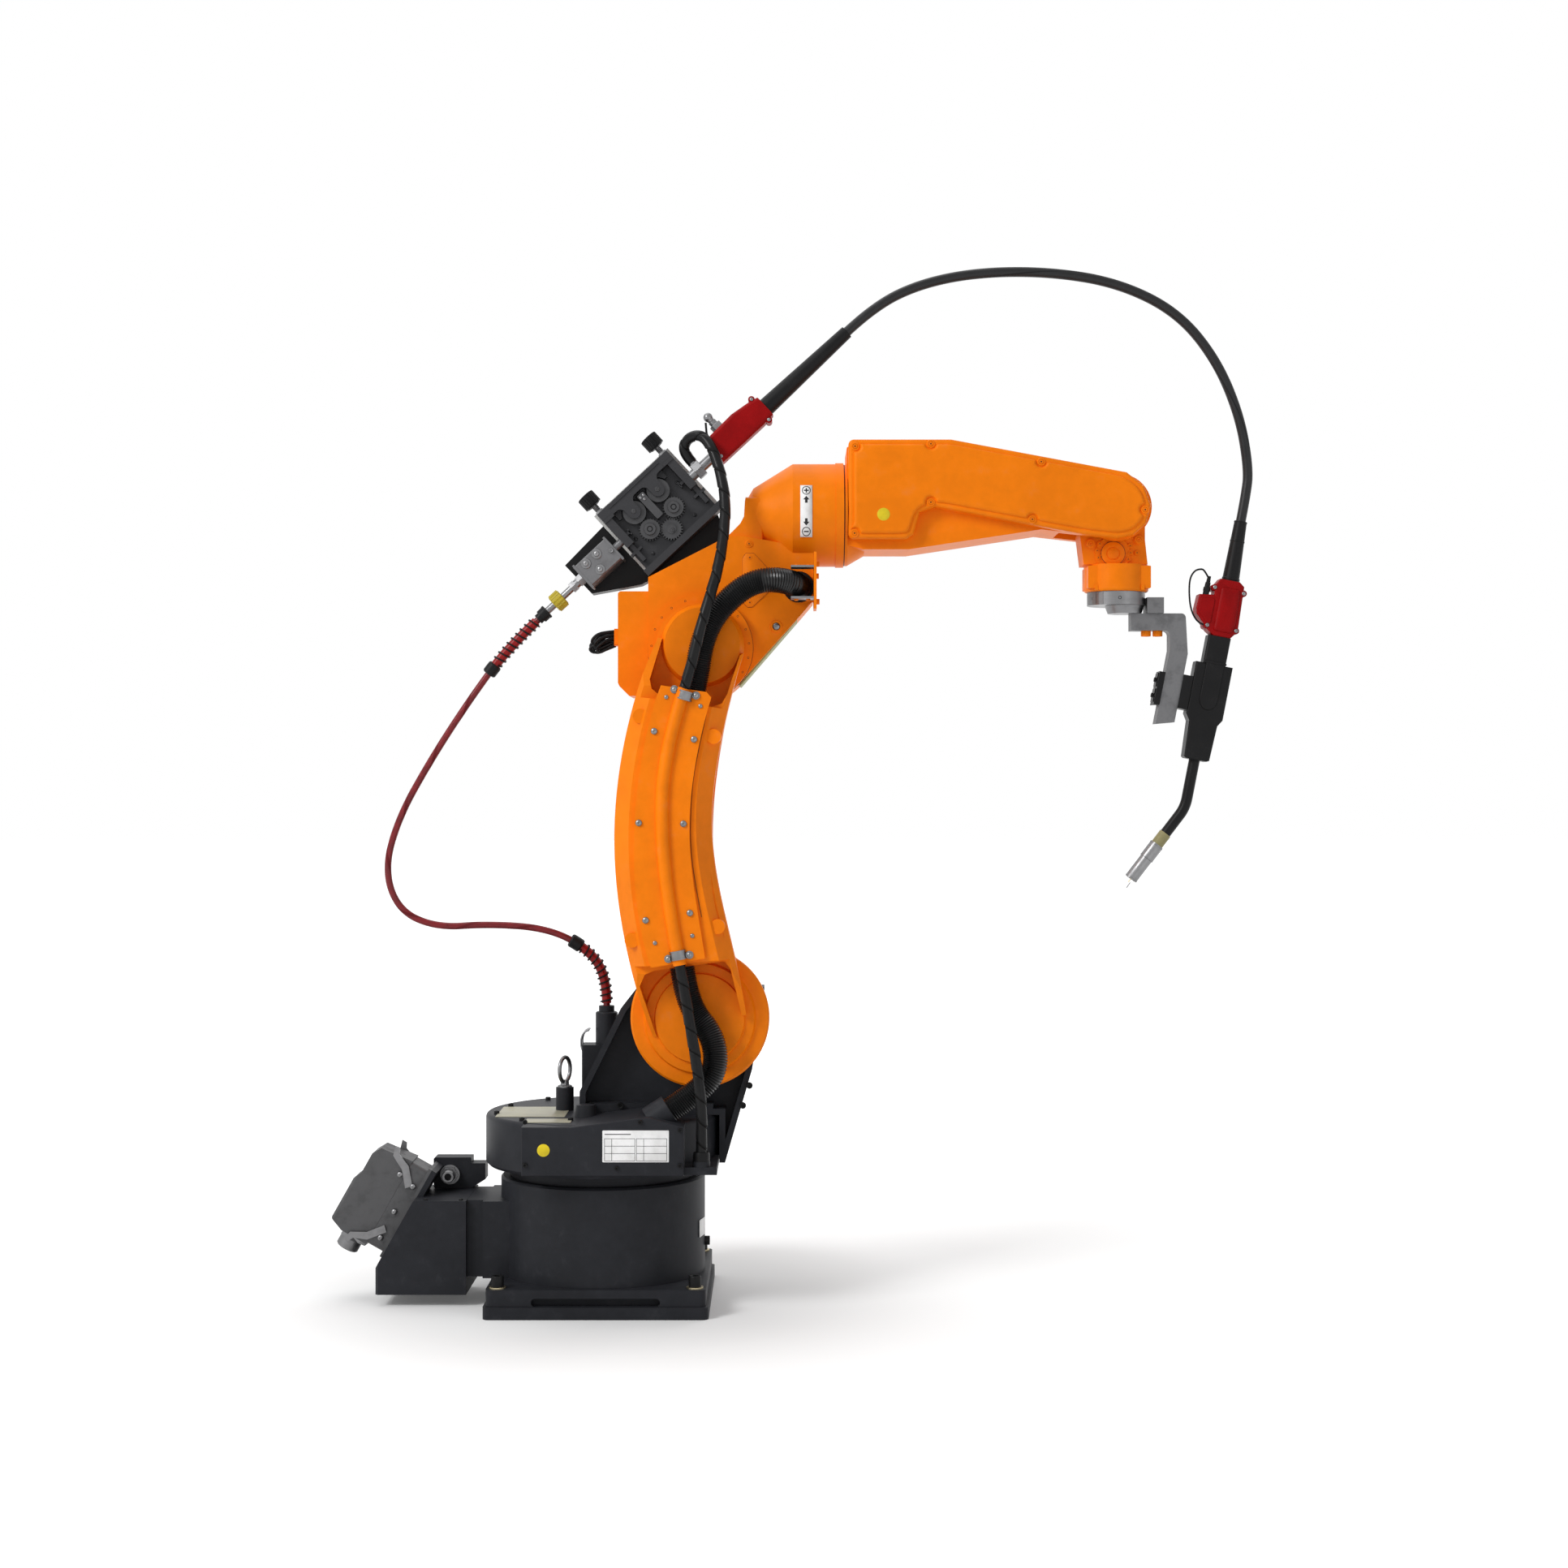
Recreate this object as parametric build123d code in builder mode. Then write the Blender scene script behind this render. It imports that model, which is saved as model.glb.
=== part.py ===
"""Six-axis arc-welding robot arm with its wire feeder and torch, in millimetres.

The origin is the centre of the base underside, on the axis that the base turns about.
+Z is up and the arm reaches along +X. The side with the arm cover faces -Y.
"""

import math
import os

from build123d import *

# Axes of the arm at rest
shoulder_x = 150
shoulder_z = 433
upper_arm_length = 555
roll_rise = 205
wrist_reach = 633
elbow_z = shoulder_z + upper_arm_length
roll_z = elbow_z + roll_rise
wrist_x = shoulder_x + wrist_reach
running_gap = 0.3

# Base
base_width = 331
base_step_height = 18
base_plate_height = 43
base_step_inset = 4
base_corner = 10
drum_radius = 155
drum_height = 190
anchor_spacing = base_width - 41
anchor_hole_radius = 7
slot_length = 189
slot_height = 12.5
slot_depth = 14
rear_block_width = 150
rear_block_reach = 22
rear_neck_width = 124
rear_neck_reach = 25
rear_block_top = 158

# Connector box behind the base
box_width = 150
box_length = 136
box_bottom = 18
box_top = 158.5
box_low_corner = 57.6
box_slope_run = 57
panel_thickness = 8
panel_overhang = 46
panel_width = 76

# Rectangular supply connector on the box's sloping panel
socket_length = 140
socket_width = 64
socket_height = 32
socket_flange = 5
hood_length = 144
hood_width = 60
hood_height = 66
gland_radius = 18.5
gland_length = 26
lever_thickness = 3

# Gas inlet block
gas_length = 58
gas_width = 33
gas_height = 47.5
gas_step = 22
gas_radius = 15
gas_stem = 20

# Turret
turret_radius = 178
turret_bottom = 207
turret_top = 285
neck_radius = 142
bay_near_y = -turret_radius - 1
bay_left = -106
bay_right = 130
bay_bottom = 213
cover_thickness = 5
shelf_height = 11
hose_gland_radius = 13
hose_gland_height = 8
conduit_gland_radius = 24

# Tower that carries the shoulder
tower_near_y = -55
tower_thickness = 50
tower_rim = 9
tower_recess = 34
tower_head_rise = 44
tower_head_half = 96

# Upper arm
arm_back_y = -60
hub_radius = 104
hub_thickness = 18
hub_step_radius = 84
hub_cap_radius = 68
elbow_hub_radius = 66
elbow_cap_radius = 58
arm_rib_y = -122
arm_front_y = -140
arm_bow = 125.5
arm_waist = 19
arm_bevel = 23
arm_bevel_depth = 27
arm_cover_thickness = 6
ridge_radius = 10
clamp_width = 12

# Elbow casting
elbow_near_y = -48
elbow_far_y = 62
elbow_ring_radius = 79
motor_box_left = 125
roll_radius = 78
roll_ring_radius = 79.5
roll_ring_width = 12
roll_housing_end = 204

# Wire feeder
feeder_tilt = 43
feeder_offset = -74
feeder_wire_y = -30
feeder_plate_y = -18
feeder_plate_thickness = 14
roll_spacing = 49
roll_centre_u = 5.8
drive_roll_radius = 15
drive_gear_teeth = 24
gear_module = 1.35
pressure_roll_radius = 17.6
roll_width = 8

# Forearm
forearm_near_y = -58
forearm_far_y = 58
forearm_cover_depth = 20
fork_half_width = 37

# Wrist and tool
wrist_hub_radius = 40
wrist_body_radius = 49
wrist_body_top = 77
wrist_body_bottom = 118
flange_radius = 44
torch_lean = 11

# Cords: radii, and the points that each route turns at
conduit_radius = 19
hose_radius = 8.5
liner_radius = 5.2
cable_radius = 7.5
low_conduit_route = [
    (shoulder_x - 25, -115, shoulder_z + 79.3),
    (shoulder_x - 17.3, -115, shoulder_z + 22),
    (shoulder_x + 22, -122, shoulder_z - 23),
    (shoulder_x + 26, -130, shoulder_z - 75),
    (shoulder_x - 6, -134, shoulder_z - 107),
    (shoulder_x - 41.8, -137, shoulder_z - 129.8),
]
low_hose_route = [
    (shoulder_x - 27, -148.5, shoulder_z + 83.8),
    (shoulder_x - 19.6, -148.5, shoulder_z + 44.5),
    (shoulder_x - 12, -152, shoulder_z - 3),
    (shoulder_x - 3, -160, shoulder_z - 53),
    (shoulder_x + 3, -167, shoulder_z - 95),
    (shoulder_x + 6, -168, shoulder_z - 135),
    (shoulder_x + 5, bay_near_y + 19, shoulder_z - 171),
    (shoulder_x + 5, bay_near_y + 19, shoulder_z - 201),
]
high_conduit_route = [
    (shoulder_x - 12, -115, elbow_z - 84),
    (shoulder_x - 2.3, -115, elbow_z - 40.3),
    (shoulder_x + 3, -114, elbow_z + 0),
    (shoulder_x + 18, -115, elbow_z + 38),
    (shoulder_x + 44, -115, elbow_z + 69),
    (shoulder_x + 76, -114, elbow_z + 93),
    (shoulder_x + 112, -116, elbow_z + 99),
    (shoulder_x + 148, -91, elbow_z + 92),
    (shoulder_x + 148, -48, elbow_z + 92),
]
high_hose_route = [
    (shoulder_x - 13.1, -30, elbow_z + 281.9),
    (shoulder_x - 27.7, -30, elbow_z + 297.5),
    (shoulder_x - 21.6, -38, elbow_z + 317.4),
    (shoulder_x - 1.3, -52, elbow_z + 322),
    (shoulder_x + 15.1, -64, elbow_z + 305.9),
    (shoulder_x + 30, -75, elbow_z + 266),
    (shoulder_x + 39, -90, elbow_z + 218),
    (shoulder_x + 37, -108, elbow_z + 168),
    (shoulder_x + 29, -126, elbow_z + 114),
    (shoulder_x + 15, -141, elbow_z + 65),
    (shoulder_x + 1, -148.5, elbow_z + 16),
    (shoulder_x - 8.7, -148.5, elbow_z - 26.4),
    (shoulder_x - 20.2, -148.5, elbow_z - 64),
]
liner_route = [
    (shoulder_x - 246.6, -30, elbow_z + 44),
    (shoulder_x - 295, -30, elbow_z - 1.1),
    (shoulder_x - 355, -26, elbow_z - 83),
    (shoulder_x - 412, -20, elbow_z - 170),
    (shoulder_x - 462, -12, elbow_z - 258),
    (shoulder_x - 484, -5, shoulder_z + 217),
    (shoulder_x - 462, 3, shoulder_z + 155),
    (shoulder_x - 405, 11, shoulder_z + 130),
    (shoulder_x - 330, 18, shoulder_z + 135),
    (shoulder_x - 245, 27, shoulder_z + 129),
    (shoulder_x - 186, 35, shoulder_z + 103),
    (shoulder_x - 148, 40, shoulder_z + 59),
    (shoulder_x - 148, 40, shoulder_z + 8),
]
torch_route = [
    (shoulder_x + 220.9, -30, roll_z + 275),
    (shoulder_x + 262, -30, roll_z + 313.3),
    (shoulder_x + 330, -27, roll_z + 348),
    (shoulder_x + 420, -23, roll_z + 367),
    (shoulder_x + 530, -17, roll_z + 369),
    (shoulder_x + 635, -12, roll_z + 353),
    (shoulder_x + 725, -7, roll_z + 310),
    (shoulder_x + 785, -4, roll_z + 239),
    (shoulder_x + 822, -2, roll_z + 152),
    (shoulder_x + 836, 0, roll_z + 69),
    (shoulder_x + 831.2, 0, roll_z + 30.3),
    (shoulder_x + 823.6, 0, roll_z - 9),
]


def side(x, y, z, tilt=0):
    """Plane facing the near side, at (x, y, z), with its x direction turned up by tilt."""
    turn = math.radians(tilt)
    return Plane(origin=(x, y, z), x_dir=(math.cos(turn), 0, math.sin(turn)), z_dir=(0, -1, 0))


def tilted_point(plane, u, v):
    """Point at (u, v) of a plane, in the part's own frame."""
    return plane.from_local_coords(Vector(u, v, 0))


# Base casting: flange with a fork slot each side, drum and rear block
with BuildPart() as base_casting:
    with BuildSketch(Plane.XY):
        RectangleRounded(base_width, base_width, base_corner)
    extrude(amount=base_step_height)
    with BuildSketch(Plane.XY.offset(base_step_height)):
        RectangleRounded(base_width - 2 * base_step_inset, base_width - 2 * base_step_inset, base_corner)
    extrude(amount=base_plate_height - base_step_height)
    with BuildSketch(Plane.XY.offset(base_plate_height)):
        Circle(drum_radius)
    extrude(amount=drum_height - base_plate_height)
    drum_rim = base_casting.edges().filter_by(GeomType.CIRCLE).sort_by(Axis.Z)[-1]
    chamfer(drum_rim, 3)
    rear_block_x = -(base_width / 2 - base_step_inset - 8)
    with BuildSketch(Plane.XY.offset(base_plate_height)):
        with Locations((rear_block_x - rear_block_reach / 2 + 20, 0)):
            Rectangle(rear_block_reach + 40, rear_block_width)
        with Locations((rear_block_x - rear_block_reach - rear_neck_reach / 2, 0)):
            Rectangle(rear_neck_reach, rear_neck_width)
    extrude(amount=rear_block_top - base_plate_height)
    slot_z = base_step_height + slot_height / 2
    for turn in (0, 180):
        slot_face = Plane.XZ.rotated((0, 0, turn)).offset(base_width / 2)
        with BuildSketch(slot_face):
            with Locations((0, slot_z)):
                SlotOverall(slot_length, slot_height)
        extrude(amount=-slot_depth - base_step_inset, mode=Mode.SUBTRACT)
    with Locations(Plane.XY.offset(base_plate_height)):
        with GridLocations(anchor_spacing, anchor_spacing, 2, 2):
            Hole(anchor_hole_radius, depth=base_plate_height)
base_casting.part.label = "base_casting"

# Box that carries the supply connector, with its sloping panel
box_right = rear_block_x - rear_block_reach - rear_neck_reach
box_left = box_right - box_length
slope_rise = box_top - box_low_corner
slope_length = math.hypot(box_slope_run, slope_rise)
panel_plane = Plane(
    origin=(box_left + box_slope_run / 2, 0, (box_top + box_low_corner) / 2),
    x_dir=(box_slope_run, 0, slope_rise),
    z_dir=(-slope_rise, 0, box_slope_run),
)
with BuildPart() as connector_box:
    with BuildSketch(side(0, box_width / 2, 0)):
        with BuildLine():
            Polyline(
                (box_right, box_bottom),
                (box_left, box_bottom),
                (box_left, box_low_corner),
                (box_left + box_slope_run, box_top),
                (box_right, box_top),
                close=True,
            )
        make_face()
    extrude(amount=box_width)
    chamfer(connector_box.edges().filter_by(Axis.Z).group_by(Axis.X)[0], 4)
    with BuildSketch(panel_plane.offset(-panel_thickness)):
        with Locations((panel_overhang / 2, 0)):
            Rectangle(slope_length + panel_overhang, panel_width)
    extrude(amount=panel_thickness)
connector_box.part.label = "connector_box"

# Fixed half of the supply connector
with BuildPart() as connector_socket:
    with BuildSketch(panel_plane):
        with Locations((panel_overhang / 2 + 5, 0)):
            Rectangle(socket_length + 12, socket_width + 12)
    extrude(amount=socket_flange)
    with BuildSketch(panel_plane.offset(socket_flange)):
        with Locations((panel_overhang / 2 + 5, 0)):
            RectangleRounded(socket_length, socket_width, 8)
    extrude(amount=socket_height - socket_flange)
connector_socket.part.label = "connector_socket"

# Hood that closes the connector, sloped at its cable end
with BuildPart() as connector_hood:
    hood_start = panel_overhang / 2 + 5 - hood_length / 2
    hood_end = hood_start + hood_length
    hood_base = socket_height + running_gap
    hood_plane = Plane(origin=panel_plane.origin, x_dir=panel_plane.x_dir, z_dir=(0, -1, 0))
    with BuildSketch(hood_plane.offset(-hood_width / 2)):
        with BuildLine():
            Polyline(
                (hood_start, hood_base),
                (hood_start, hood_base + 0.65 * hood_height),
                (hood_start + 9, hood_base + hood_height),
                (hood_start + 77, hood_base + hood_height),
                (hood_start + 92, hood_base + 0.9 * hood_height),
                (hood_end - 20, hood_base + 0.9 * hood_height),
                (hood_end - 6, hood_base + 0.78 * hood_height),
                (hood_end, hood_base),
                close=True,
            )
        make_face()
    extrude(amount=hood_width)
    panel_axis = Axis(panel_plane.origin, panel_plane.z_dir)
    fillet(connector_hood.faces().sort_by(panel_axis)[-1].edges(), 5)
connector_hood.part.label = "connector_hood"

# Cable gland in the hood's lower end
gland_plane = Plane(
    origin=tilted_point(hood_plane, hood_start, hood_base + 0.38 * hood_height),
    x_dir=(0, 1, 0),
    z_dir=-panel_plane.x_dir,
)
with BuildPart() as hood_gland:
    with BuildSketch(gland_plane):
        RegularPolygon(gland_radius + 1.5, 6)
    extrude(amount=0.35 * gland_length)
    with BuildSketch(gland_plane.offset(0.35 * gland_length)):
        Circle(gland_radius - 1)
    extrude(amount=0.65 * gland_length)
    gland_axis = Axis(gland_plane.origin, gland_plane.z_dir)
    chamfer(hood_gland.edges().filter_by(GeomType.CIRCLE).sort_by(gland_axis)[-1], 2)
    with BuildSketch(gland_plane.offset(gland_length)):
        Circle(gland_radius - 6)
    extrude(amount=-0.5 * gland_length, mode=Mode.SUBTRACT)
hood_gland.part.label = "hood_gland"

# Two locking levers that straddle the hood
lever_y = socket_width / 2 + 0.2
with BuildPart() as hood_levers:
    for face_y in (-lever_y, lever_y + lever_thickness):
        lever_origin = panel_plane.origin + Vector(0, face_y, 0)
        lever_side = Plane(origin=lever_origin, x_dir=panel_plane.x_dir, z_dir=(0, -1, 0))
        with BuildSketch(lever_side):
            for end, way in ((hood_start - 2, 1), (hood_end + 2, -1)):
                with BuildLine():
                    Polyline(
                        (end + 34 * way, 14),
                        (end + 42 * way, 22),
                        (end + 20 * way, 40),
                        (end + 8 * way, 62),
                        (end - 6 * way, 66),
                        (end - 6 * way, 58),
                        (end + 2 * way, 54),
                        (end + 10 * way, 34),
                        close=True,
                    )
                make_face()
        extrude(amount=lever_thickness)
hood_levers.part.label = "hood_levers"

# Gas inlet block on the connector box, stepped down towards the drum
gas_left = box_right - gas_step + 15 - gas_length
gas_near_y = box_width / 2 - gas_width
with BuildPart() as gas_block:
    with BuildSketch(side(0, gas_near_y + gas_width, box_top)):
        with BuildLine():
            Polyline(
                (gas_left, 0),
                (gas_left, gas_height),
                (gas_left + gas_length, gas_height),
                (gas_left + gas_length, gas_height - 9),
                (gas_left + gas_length + gas_step, gas_height - 9),
                (gas_left + gas_length + gas_step, 14),
                (gas_left + gas_length, 0),
                close=True,
            )
        make_face()
    extrude(amount=gas_width)
    chamfer(gas_block.edges().filter_by(Axis.Y).sort_by(Axis.X)[0:2], 2)
gas_block.part.label = "gas_block"

# Hose nipple on the gas block
with BuildPart() as gas_fitting:
    gas_axis = side(gas_left + 26, gas_near_y, box_top + 22)
    with BuildSketch(gas_axis):
        Circle(gas_radius)
    extrude(amount=6)
    with BuildSketch(gas_axis.offset(6)):
        RegularPolygon(gas_radius - 2, 6)
    extrude(amount=7)
    with BuildSketch(gas_axis.offset(13)):
        Circle(gas_radius - 7)
    extrude(amount=gas_stem - 13)
    with Locations(gas_axis.offset(gas_stem)):
        Hole(3.5, depth=gas_stem - 4)
gas_fitting.part.label = "gas_fitting"

# Turret: round body with a flat-sided bay, its neck, bosses and hose shelf
turret_height = turret_top - turret_bottom
bay_profile = [
    (bay_left, bay_bottom),
    (bay_left, turret_top - 1),
    (bay_left + 72, turret_top - 1),
    (62, turret_top + 12),
    (82, turret_top + 12),
    (bay_right, turret_top - 1),
    (bay_right, bay_bottom),
]
eye_x = -59
tapered_boss = Vector(-21, -76)
with BuildPart() as turret_casting:
    with BuildSketch(Plane.XY.offset(drum_height + running_gap)):
        Circle(neck_radius)
    extrude(amount=turret_bottom - drum_height - running_gap)
    with BuildSketch(Plane.XY.offset(turret_bottom)):
        Circle(turret_radius)
    extrude(amount=turret_height)
    turret_rims = turret_casting.edges().filter_by(GeomType.CIRCLE).group_by(Axis.Z)
    fillet(turret_rims[-1], 7)
    chamfer(turret_casting.edges().filter_by(GeomType.CIRCLE).sort_by(SortBy.RADIUS)[-1], 5)
    with BuildSketch(side(0, -60, 0)):
        with BuildLine():
            Polyline(*bay_profile, close=True)
        make_face()
    extrude(amount=-60 - bay_near_y)
    with BuildSketch(Plane.XY.offset(bay_bottom)):
        with Locations((bay_right + 20, bay_near_y + 69)):
            Rectangle(56, 124)
    extrude(amount=shelf_height)
    with BuildSketch(Plane.XY.offset(bay_bottom + shelf_height)):
        with Locations(low_hose_route[-1][:2]):
            Circle(hose_gland_radius)
    extrude(amount=hose_gland_height)
    conduit_entry = Vector(*low_conduit_route[-1])
    with BuildSketch(Plane(origin=conduit_entry, z_dir=Vector(*low_conduit_route[-2]) - conduit_entry)):
        Circle(conduit_gland_radius)
    extrude(amount=-34)
    with BuildSketch(Plane.XY.offset(turret_top)):
        with Locations((tapered_boss.X, tapered_boss.Y)):
            Circle(17)
    extrude(amount=18, taper=9)
    with BuildSketch(Plane.XY.offset(turret_top)):
        with Locations((eye_x, 0)):
            Circle(13.6)
    extrude(amount=35)
turret_casting.part.label = "turret_casting"

# Cover plate of the bay
with BuildPart() as turret_cover:
    with BuildSketch(side(0, bay_near_y, 0)):
        with BuildLine():
            Polyline(*bay_profile, close=True)
        make_face()
    extrude(amount=cover_thickness)
    chamfer(turret_cover.faces().sort_by(Axis.Y)[0].edges(), 1.2)
turret_cover.part.label = "turret_cover"

# Lifting eye: collar, shank and ring seen edge-on from the near side
with BuildPart() as lifting_eye:
    with BuildSketch(Plane.XY.offset(turret_top + 35)):
        with Locations((eye_x, 0)):
            Circle(11)
    extrude(amount=9)
    with Locations(Plane(origin=(eye_x, 0, turret_top + 35 + 9 + 17.5), x_dir=(0, 1, 0), z_dir=(1, 0, 0))):
        Torus(18, 4.5)
lifting_eye.part.label = "lifting_eye"

# Socket on the turret that the liner hose plugs into, behind the tower's rim
hose_socket_x = 2
hose_socket_y = 40
with BuildPart() as hose_socket:
    with BuildSketch(Plane.XY.offset(turret_top)):
        with Locations((hose_socket_x - 9, hose_socket_y)):
            RectangleRounded(56, 42, 4)
    extrude(amount=97)
    with BuildSketch(Plane.XY.offset(turret_top + 97)):
        with Locations((hose_socket_x, hose_socket_y)):
            Circle(17)
    extrude(amount=50)
    fillet(hose_socket.edges().filter_by(GeomType.CIRCLE).sort_by(Axis.Z)[-1], 3)
    with BuildSketch(Plane.XY.offset(turret_top + 147)):
        with Locations((hose_socket_x, hose_socket_y)):
            Circle(12)
    extrude(amount=9)
hose_socket.part.label = "hose_socket"

# Tower: rimmed upright casting with the shoulder's round seat
tower_far_y = tower_near_y + tower_thickness
tower_top = shoulder_z + tower_head_rise
tower_right = shoulder_x + tower_head_half
tower_outline = [
    (-32, turret_top),
    (-32, turret_top + 35),
    (shoulder_x - 120, shoulder_z + 12),
    (shoulder_x - 98, tower_top - 4),
    (shoulder_x - 90, tower_top),
    (tower_right, tower_top),
    (tower_right, tower_top - 8),
    (tower_right - 18, turret_top + 69),
    (turret_radius + 9, bay_bottom),
    (turret_radius + 0.5, bay_bottom),
    (turret_radius + 0.5, turret_top),
]
with BuildPart() as tower:
    with BuildSketch(side(0, tower_far_y, 0)):
        with BuildLine():
            Polyline(*tower_outline, close=True)
        make_face()
    extrude(amount=tower_thickness)
    with BuildSketch(side(0, tower_near_y, 0)):
        with BuildLine():
            Polyline(*tower_outline, close=True)
        make_face()
        offset(amount=-tower_rim, kind=Kind.INTERSECTION, mode=Mode.REPLACE)
        with Locations((75, turret_top + 4)):
            Rectangle(188, 26, mode=Mode.SUBTRACT)
    extrude(amount=-tower_recess, mode=Mode.SUBTRACT)
    with BuildSketch(side(shoulder_x, tower_near_y + tower_recess, shoulder_z)):
        Circle(tower_head_half)
        with Locations((0, tower_head_rise + 50)):
            Rectangle(3 * tower_head_half, 100, mode=Mode.SUBTRACT)
    extrude(amount=tower_recess)
    with BuildSketch(side(shoulder_x, tower_near_y, shoulder_z)):
        Circle(hub_step_radius)
    extrude(amount=tower_near_y - arm_back_y - running_gap)
    with BuildSketch(Plane.XY.offset(turret_top)):
        with Locations((shoulder_x - 45, tower_far_y + 22)):
            Rectangle(120, 44)
    extrude(amount=12)
tower.part.label = "tower"

# Shoulder motor on the tower's far side
with BuildPart() as shoulder_motor:
    motor_back = Plane(origin=(shoulder_x, tower_far_y, shoulder_z), x_dir=(-1, 0, 0), z_dir=(0, 1, 0))
    with BuildSketch(motor_back):
        Circle(66)
    extrude(amount=26)
    with BuildSketch(motor_back.offset(26)):
        RectangleRounded(86, 86, 8)
    extrude(amount=84)
    fillet(shoulder_motor.faces().sort_by(Axis.Y)[-1].edges(), 5)
    with BuildSketch(motor_back.offset(78)):
        with Locations((0, 50)):
            RectangleRounded(34, 16, 4)
    extrude(amount=26)
shoulder_motor.part.label = "shoulder_motor"

# Upper arm: hub discs behind, curved box body in front, open forks at both ends
web_left = [
    (-elbow_hub_radius, upper_arm_length),
    (-94, upper_arm_length - 75),
    (-arm_bow, 0.45 * upper_arm_length),
    (-106, 98),
    (-95, 44),
]
web_right = [
    (54, 88),
    (38, 134),
    (arm_waist, 0.5 * upper_arm_length),
    (35, upper_arm_length - 128),
    (elbow_hub_radius - 4, upper_arm_length),
]
front_left = [
    (-62, upper_arm_length + 14),
    (-94, upper_arm_length - 75),
    (-arm_bow, 0.45 * upper_arm_length),
    (-106, 98),
    (-70, -26),
]
front_right = [
    (70, 6),
    (54, 88),
    (arm_waist, 0.5 * upper_arm_length),
    (35, upper_arm_length - 128),
    (66, upper_arm_length - 10),
]
low_fork = [(-64, -28), (-88, 50), (-80, 68), (-66, 74), (38, 88), (47, 76), (63, 6)]
high_fork = [
    (60, upper_arm_length - 14),
    (42, upper_arm_length - 72),
    (34, upper_arm_length - 86),
    (19, upper_arm_length - 91),
    (-58, upper_arm_length - 74),
    (-70, upper_arm_length - 64),
    (-73, upper_arm_length - 50),
    (-56, upper_arm_length + 12),
]
raised_left = [
    (-93, upper_arm_length - 76),
    (1 - arm_bow, 0.45 * upper_arm_length),
    (-105, 98),
    (-101, 80),
]
raised_right = [
    (52, 92),
    (arm_waist - 1, 0.5 * upper_arm_length),
    (34, upper_arm_length - 128),
    (36, upper_arm_length - 94),
]
low_wedge = [(arm_rib_y - 1, 72), (arm_rib_y - 1, -40), (-86, -40), (-86, -30)]
high_wedge = [
    (arm_rib_y - 1, upper_arm_length - 62),
    (arm_rib_y - 1, upper_arm_length + 20),
    (-86, upper_arm_length + 20),
    (-86, upper_arm_length + 16),
]
bevel_cut = 1.13 * arm_bevel
bevel_cut_depth = 1.13 * arm_bevel_depth
lug_spots = (
    (-86, upper_arm_length - 105),
    (-98, 120),
    (22, upper_arm_length - 135),
    (28, 140),
)


def arm_face(y):
    """Plane of the upper arm at depth y, with its origin on the shoulder axis."""
    return side(shoulder_x, y, shoulder_z)


with BuildPart() as upper_arm:
    with BuildSketch(arm_face(arm_back_y)):
        Circle(hub_radius)
    extrude(amount=hub_thickness - 3)
    with BuildSketch(arm_face(arm_back_y - hub_thickness + 3)):
        Circle(hub_radius)
    extrude(amount=3, taper=45)
    with BuildSketch(arm_face(arm_back_y)):
        with Locations((0, upper_arm_length)):
            Circle(elbow_hub_radius)
        with BuildLine():
            Spline(*web_left)
            Line(web_left[-1], web_right[0])
            Spline(*web_right)
            Line(web_right[-1], web_left[0])
        make_face()
    extrude(amount=hub_thickness)
    with BuildSketch(arm_face(arm_back_y - hub_thickness)):
        with BuildLine():
            Spline(*front_left)
            Polyline(front_left[-1], *low_fork, front_right[0])
            Spline(*front_right)
            Polyline(front_right[-1], *high_fork, front_left[0])
        make_face()
    extrude(amount=arm_back_y - hub_thickness - arm_rib_y)
    with BuildSketch(arm_face(arm_rib_y)):
        with BuildLine():
            Spline(*raised_left)
            Line(raised_left[-1], raised_right[0])
            Spline(*raised_right)
            Line(raised_right[-1], raised_left[0])
        make_face()
    extrude(amount=arm_rib_y - arm_front_y)
    for rim in (front_left, front_right):
        with BuildLine(arm_face(arm_front_y)) as rim_line:
            Spline(*rim)
        with BuildSketch(Plane(origin=rim_line.wire() @ 0, x_dir=(0, 1, 0), z_dir=rim_line.wire() % 0)):
            with BuildLine():
                Polyline((-4, bevel_cut), (bevel_cut_depth, -3), (18, -12), (-4, -12), close=True)
            make_face()
        sweep(path=rim_line.wire(), mode=Mode.SUBTRACT)
    with BuildSketch(arm_face(arm_back_y - hub_thickness)):
        with Locations(*lug_spots):
            Circle(11)
    extrude(amount=arm_back_y - hub_thickness - arm_front_y - 4)
    wedge_face = Plane(origin=(shoulder_x - 140, 0, shoulder_z), x_dir=(0, 1, 0), z_dir=(1, 0, 0))
    with BuildSketch(wedge_face):
        with BuildLine():
            Polyline(*low_wedge, close=True)
        make_face()
        with BuildLine():
            Polyline(*high_wedge, close=True)
        make_face()
    extrude(amount=260, mode=Mode.SUBTRACT)
    with BuildSketch(arm_face(arm_back_y - hub_thickness)):
        Circle(hub_step_radius)
    extrude(amount=6, taper=25)
    with BuildSketch(arm_face(arm_back_y - hub_thickness - 6)):
        Circle(hub_cap_radius)
    extrude(amount=5, taper=20)
    with BuildSketch(arm_face(arm_back_y - hub_thickness)):
        with Locations((4, upper_arm_length + 2)):
            Circle(elbow_cap_radius + 4)
    extrude(amount=14, taper=22)
upper_arm.part.label = "upper_arm"

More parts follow.
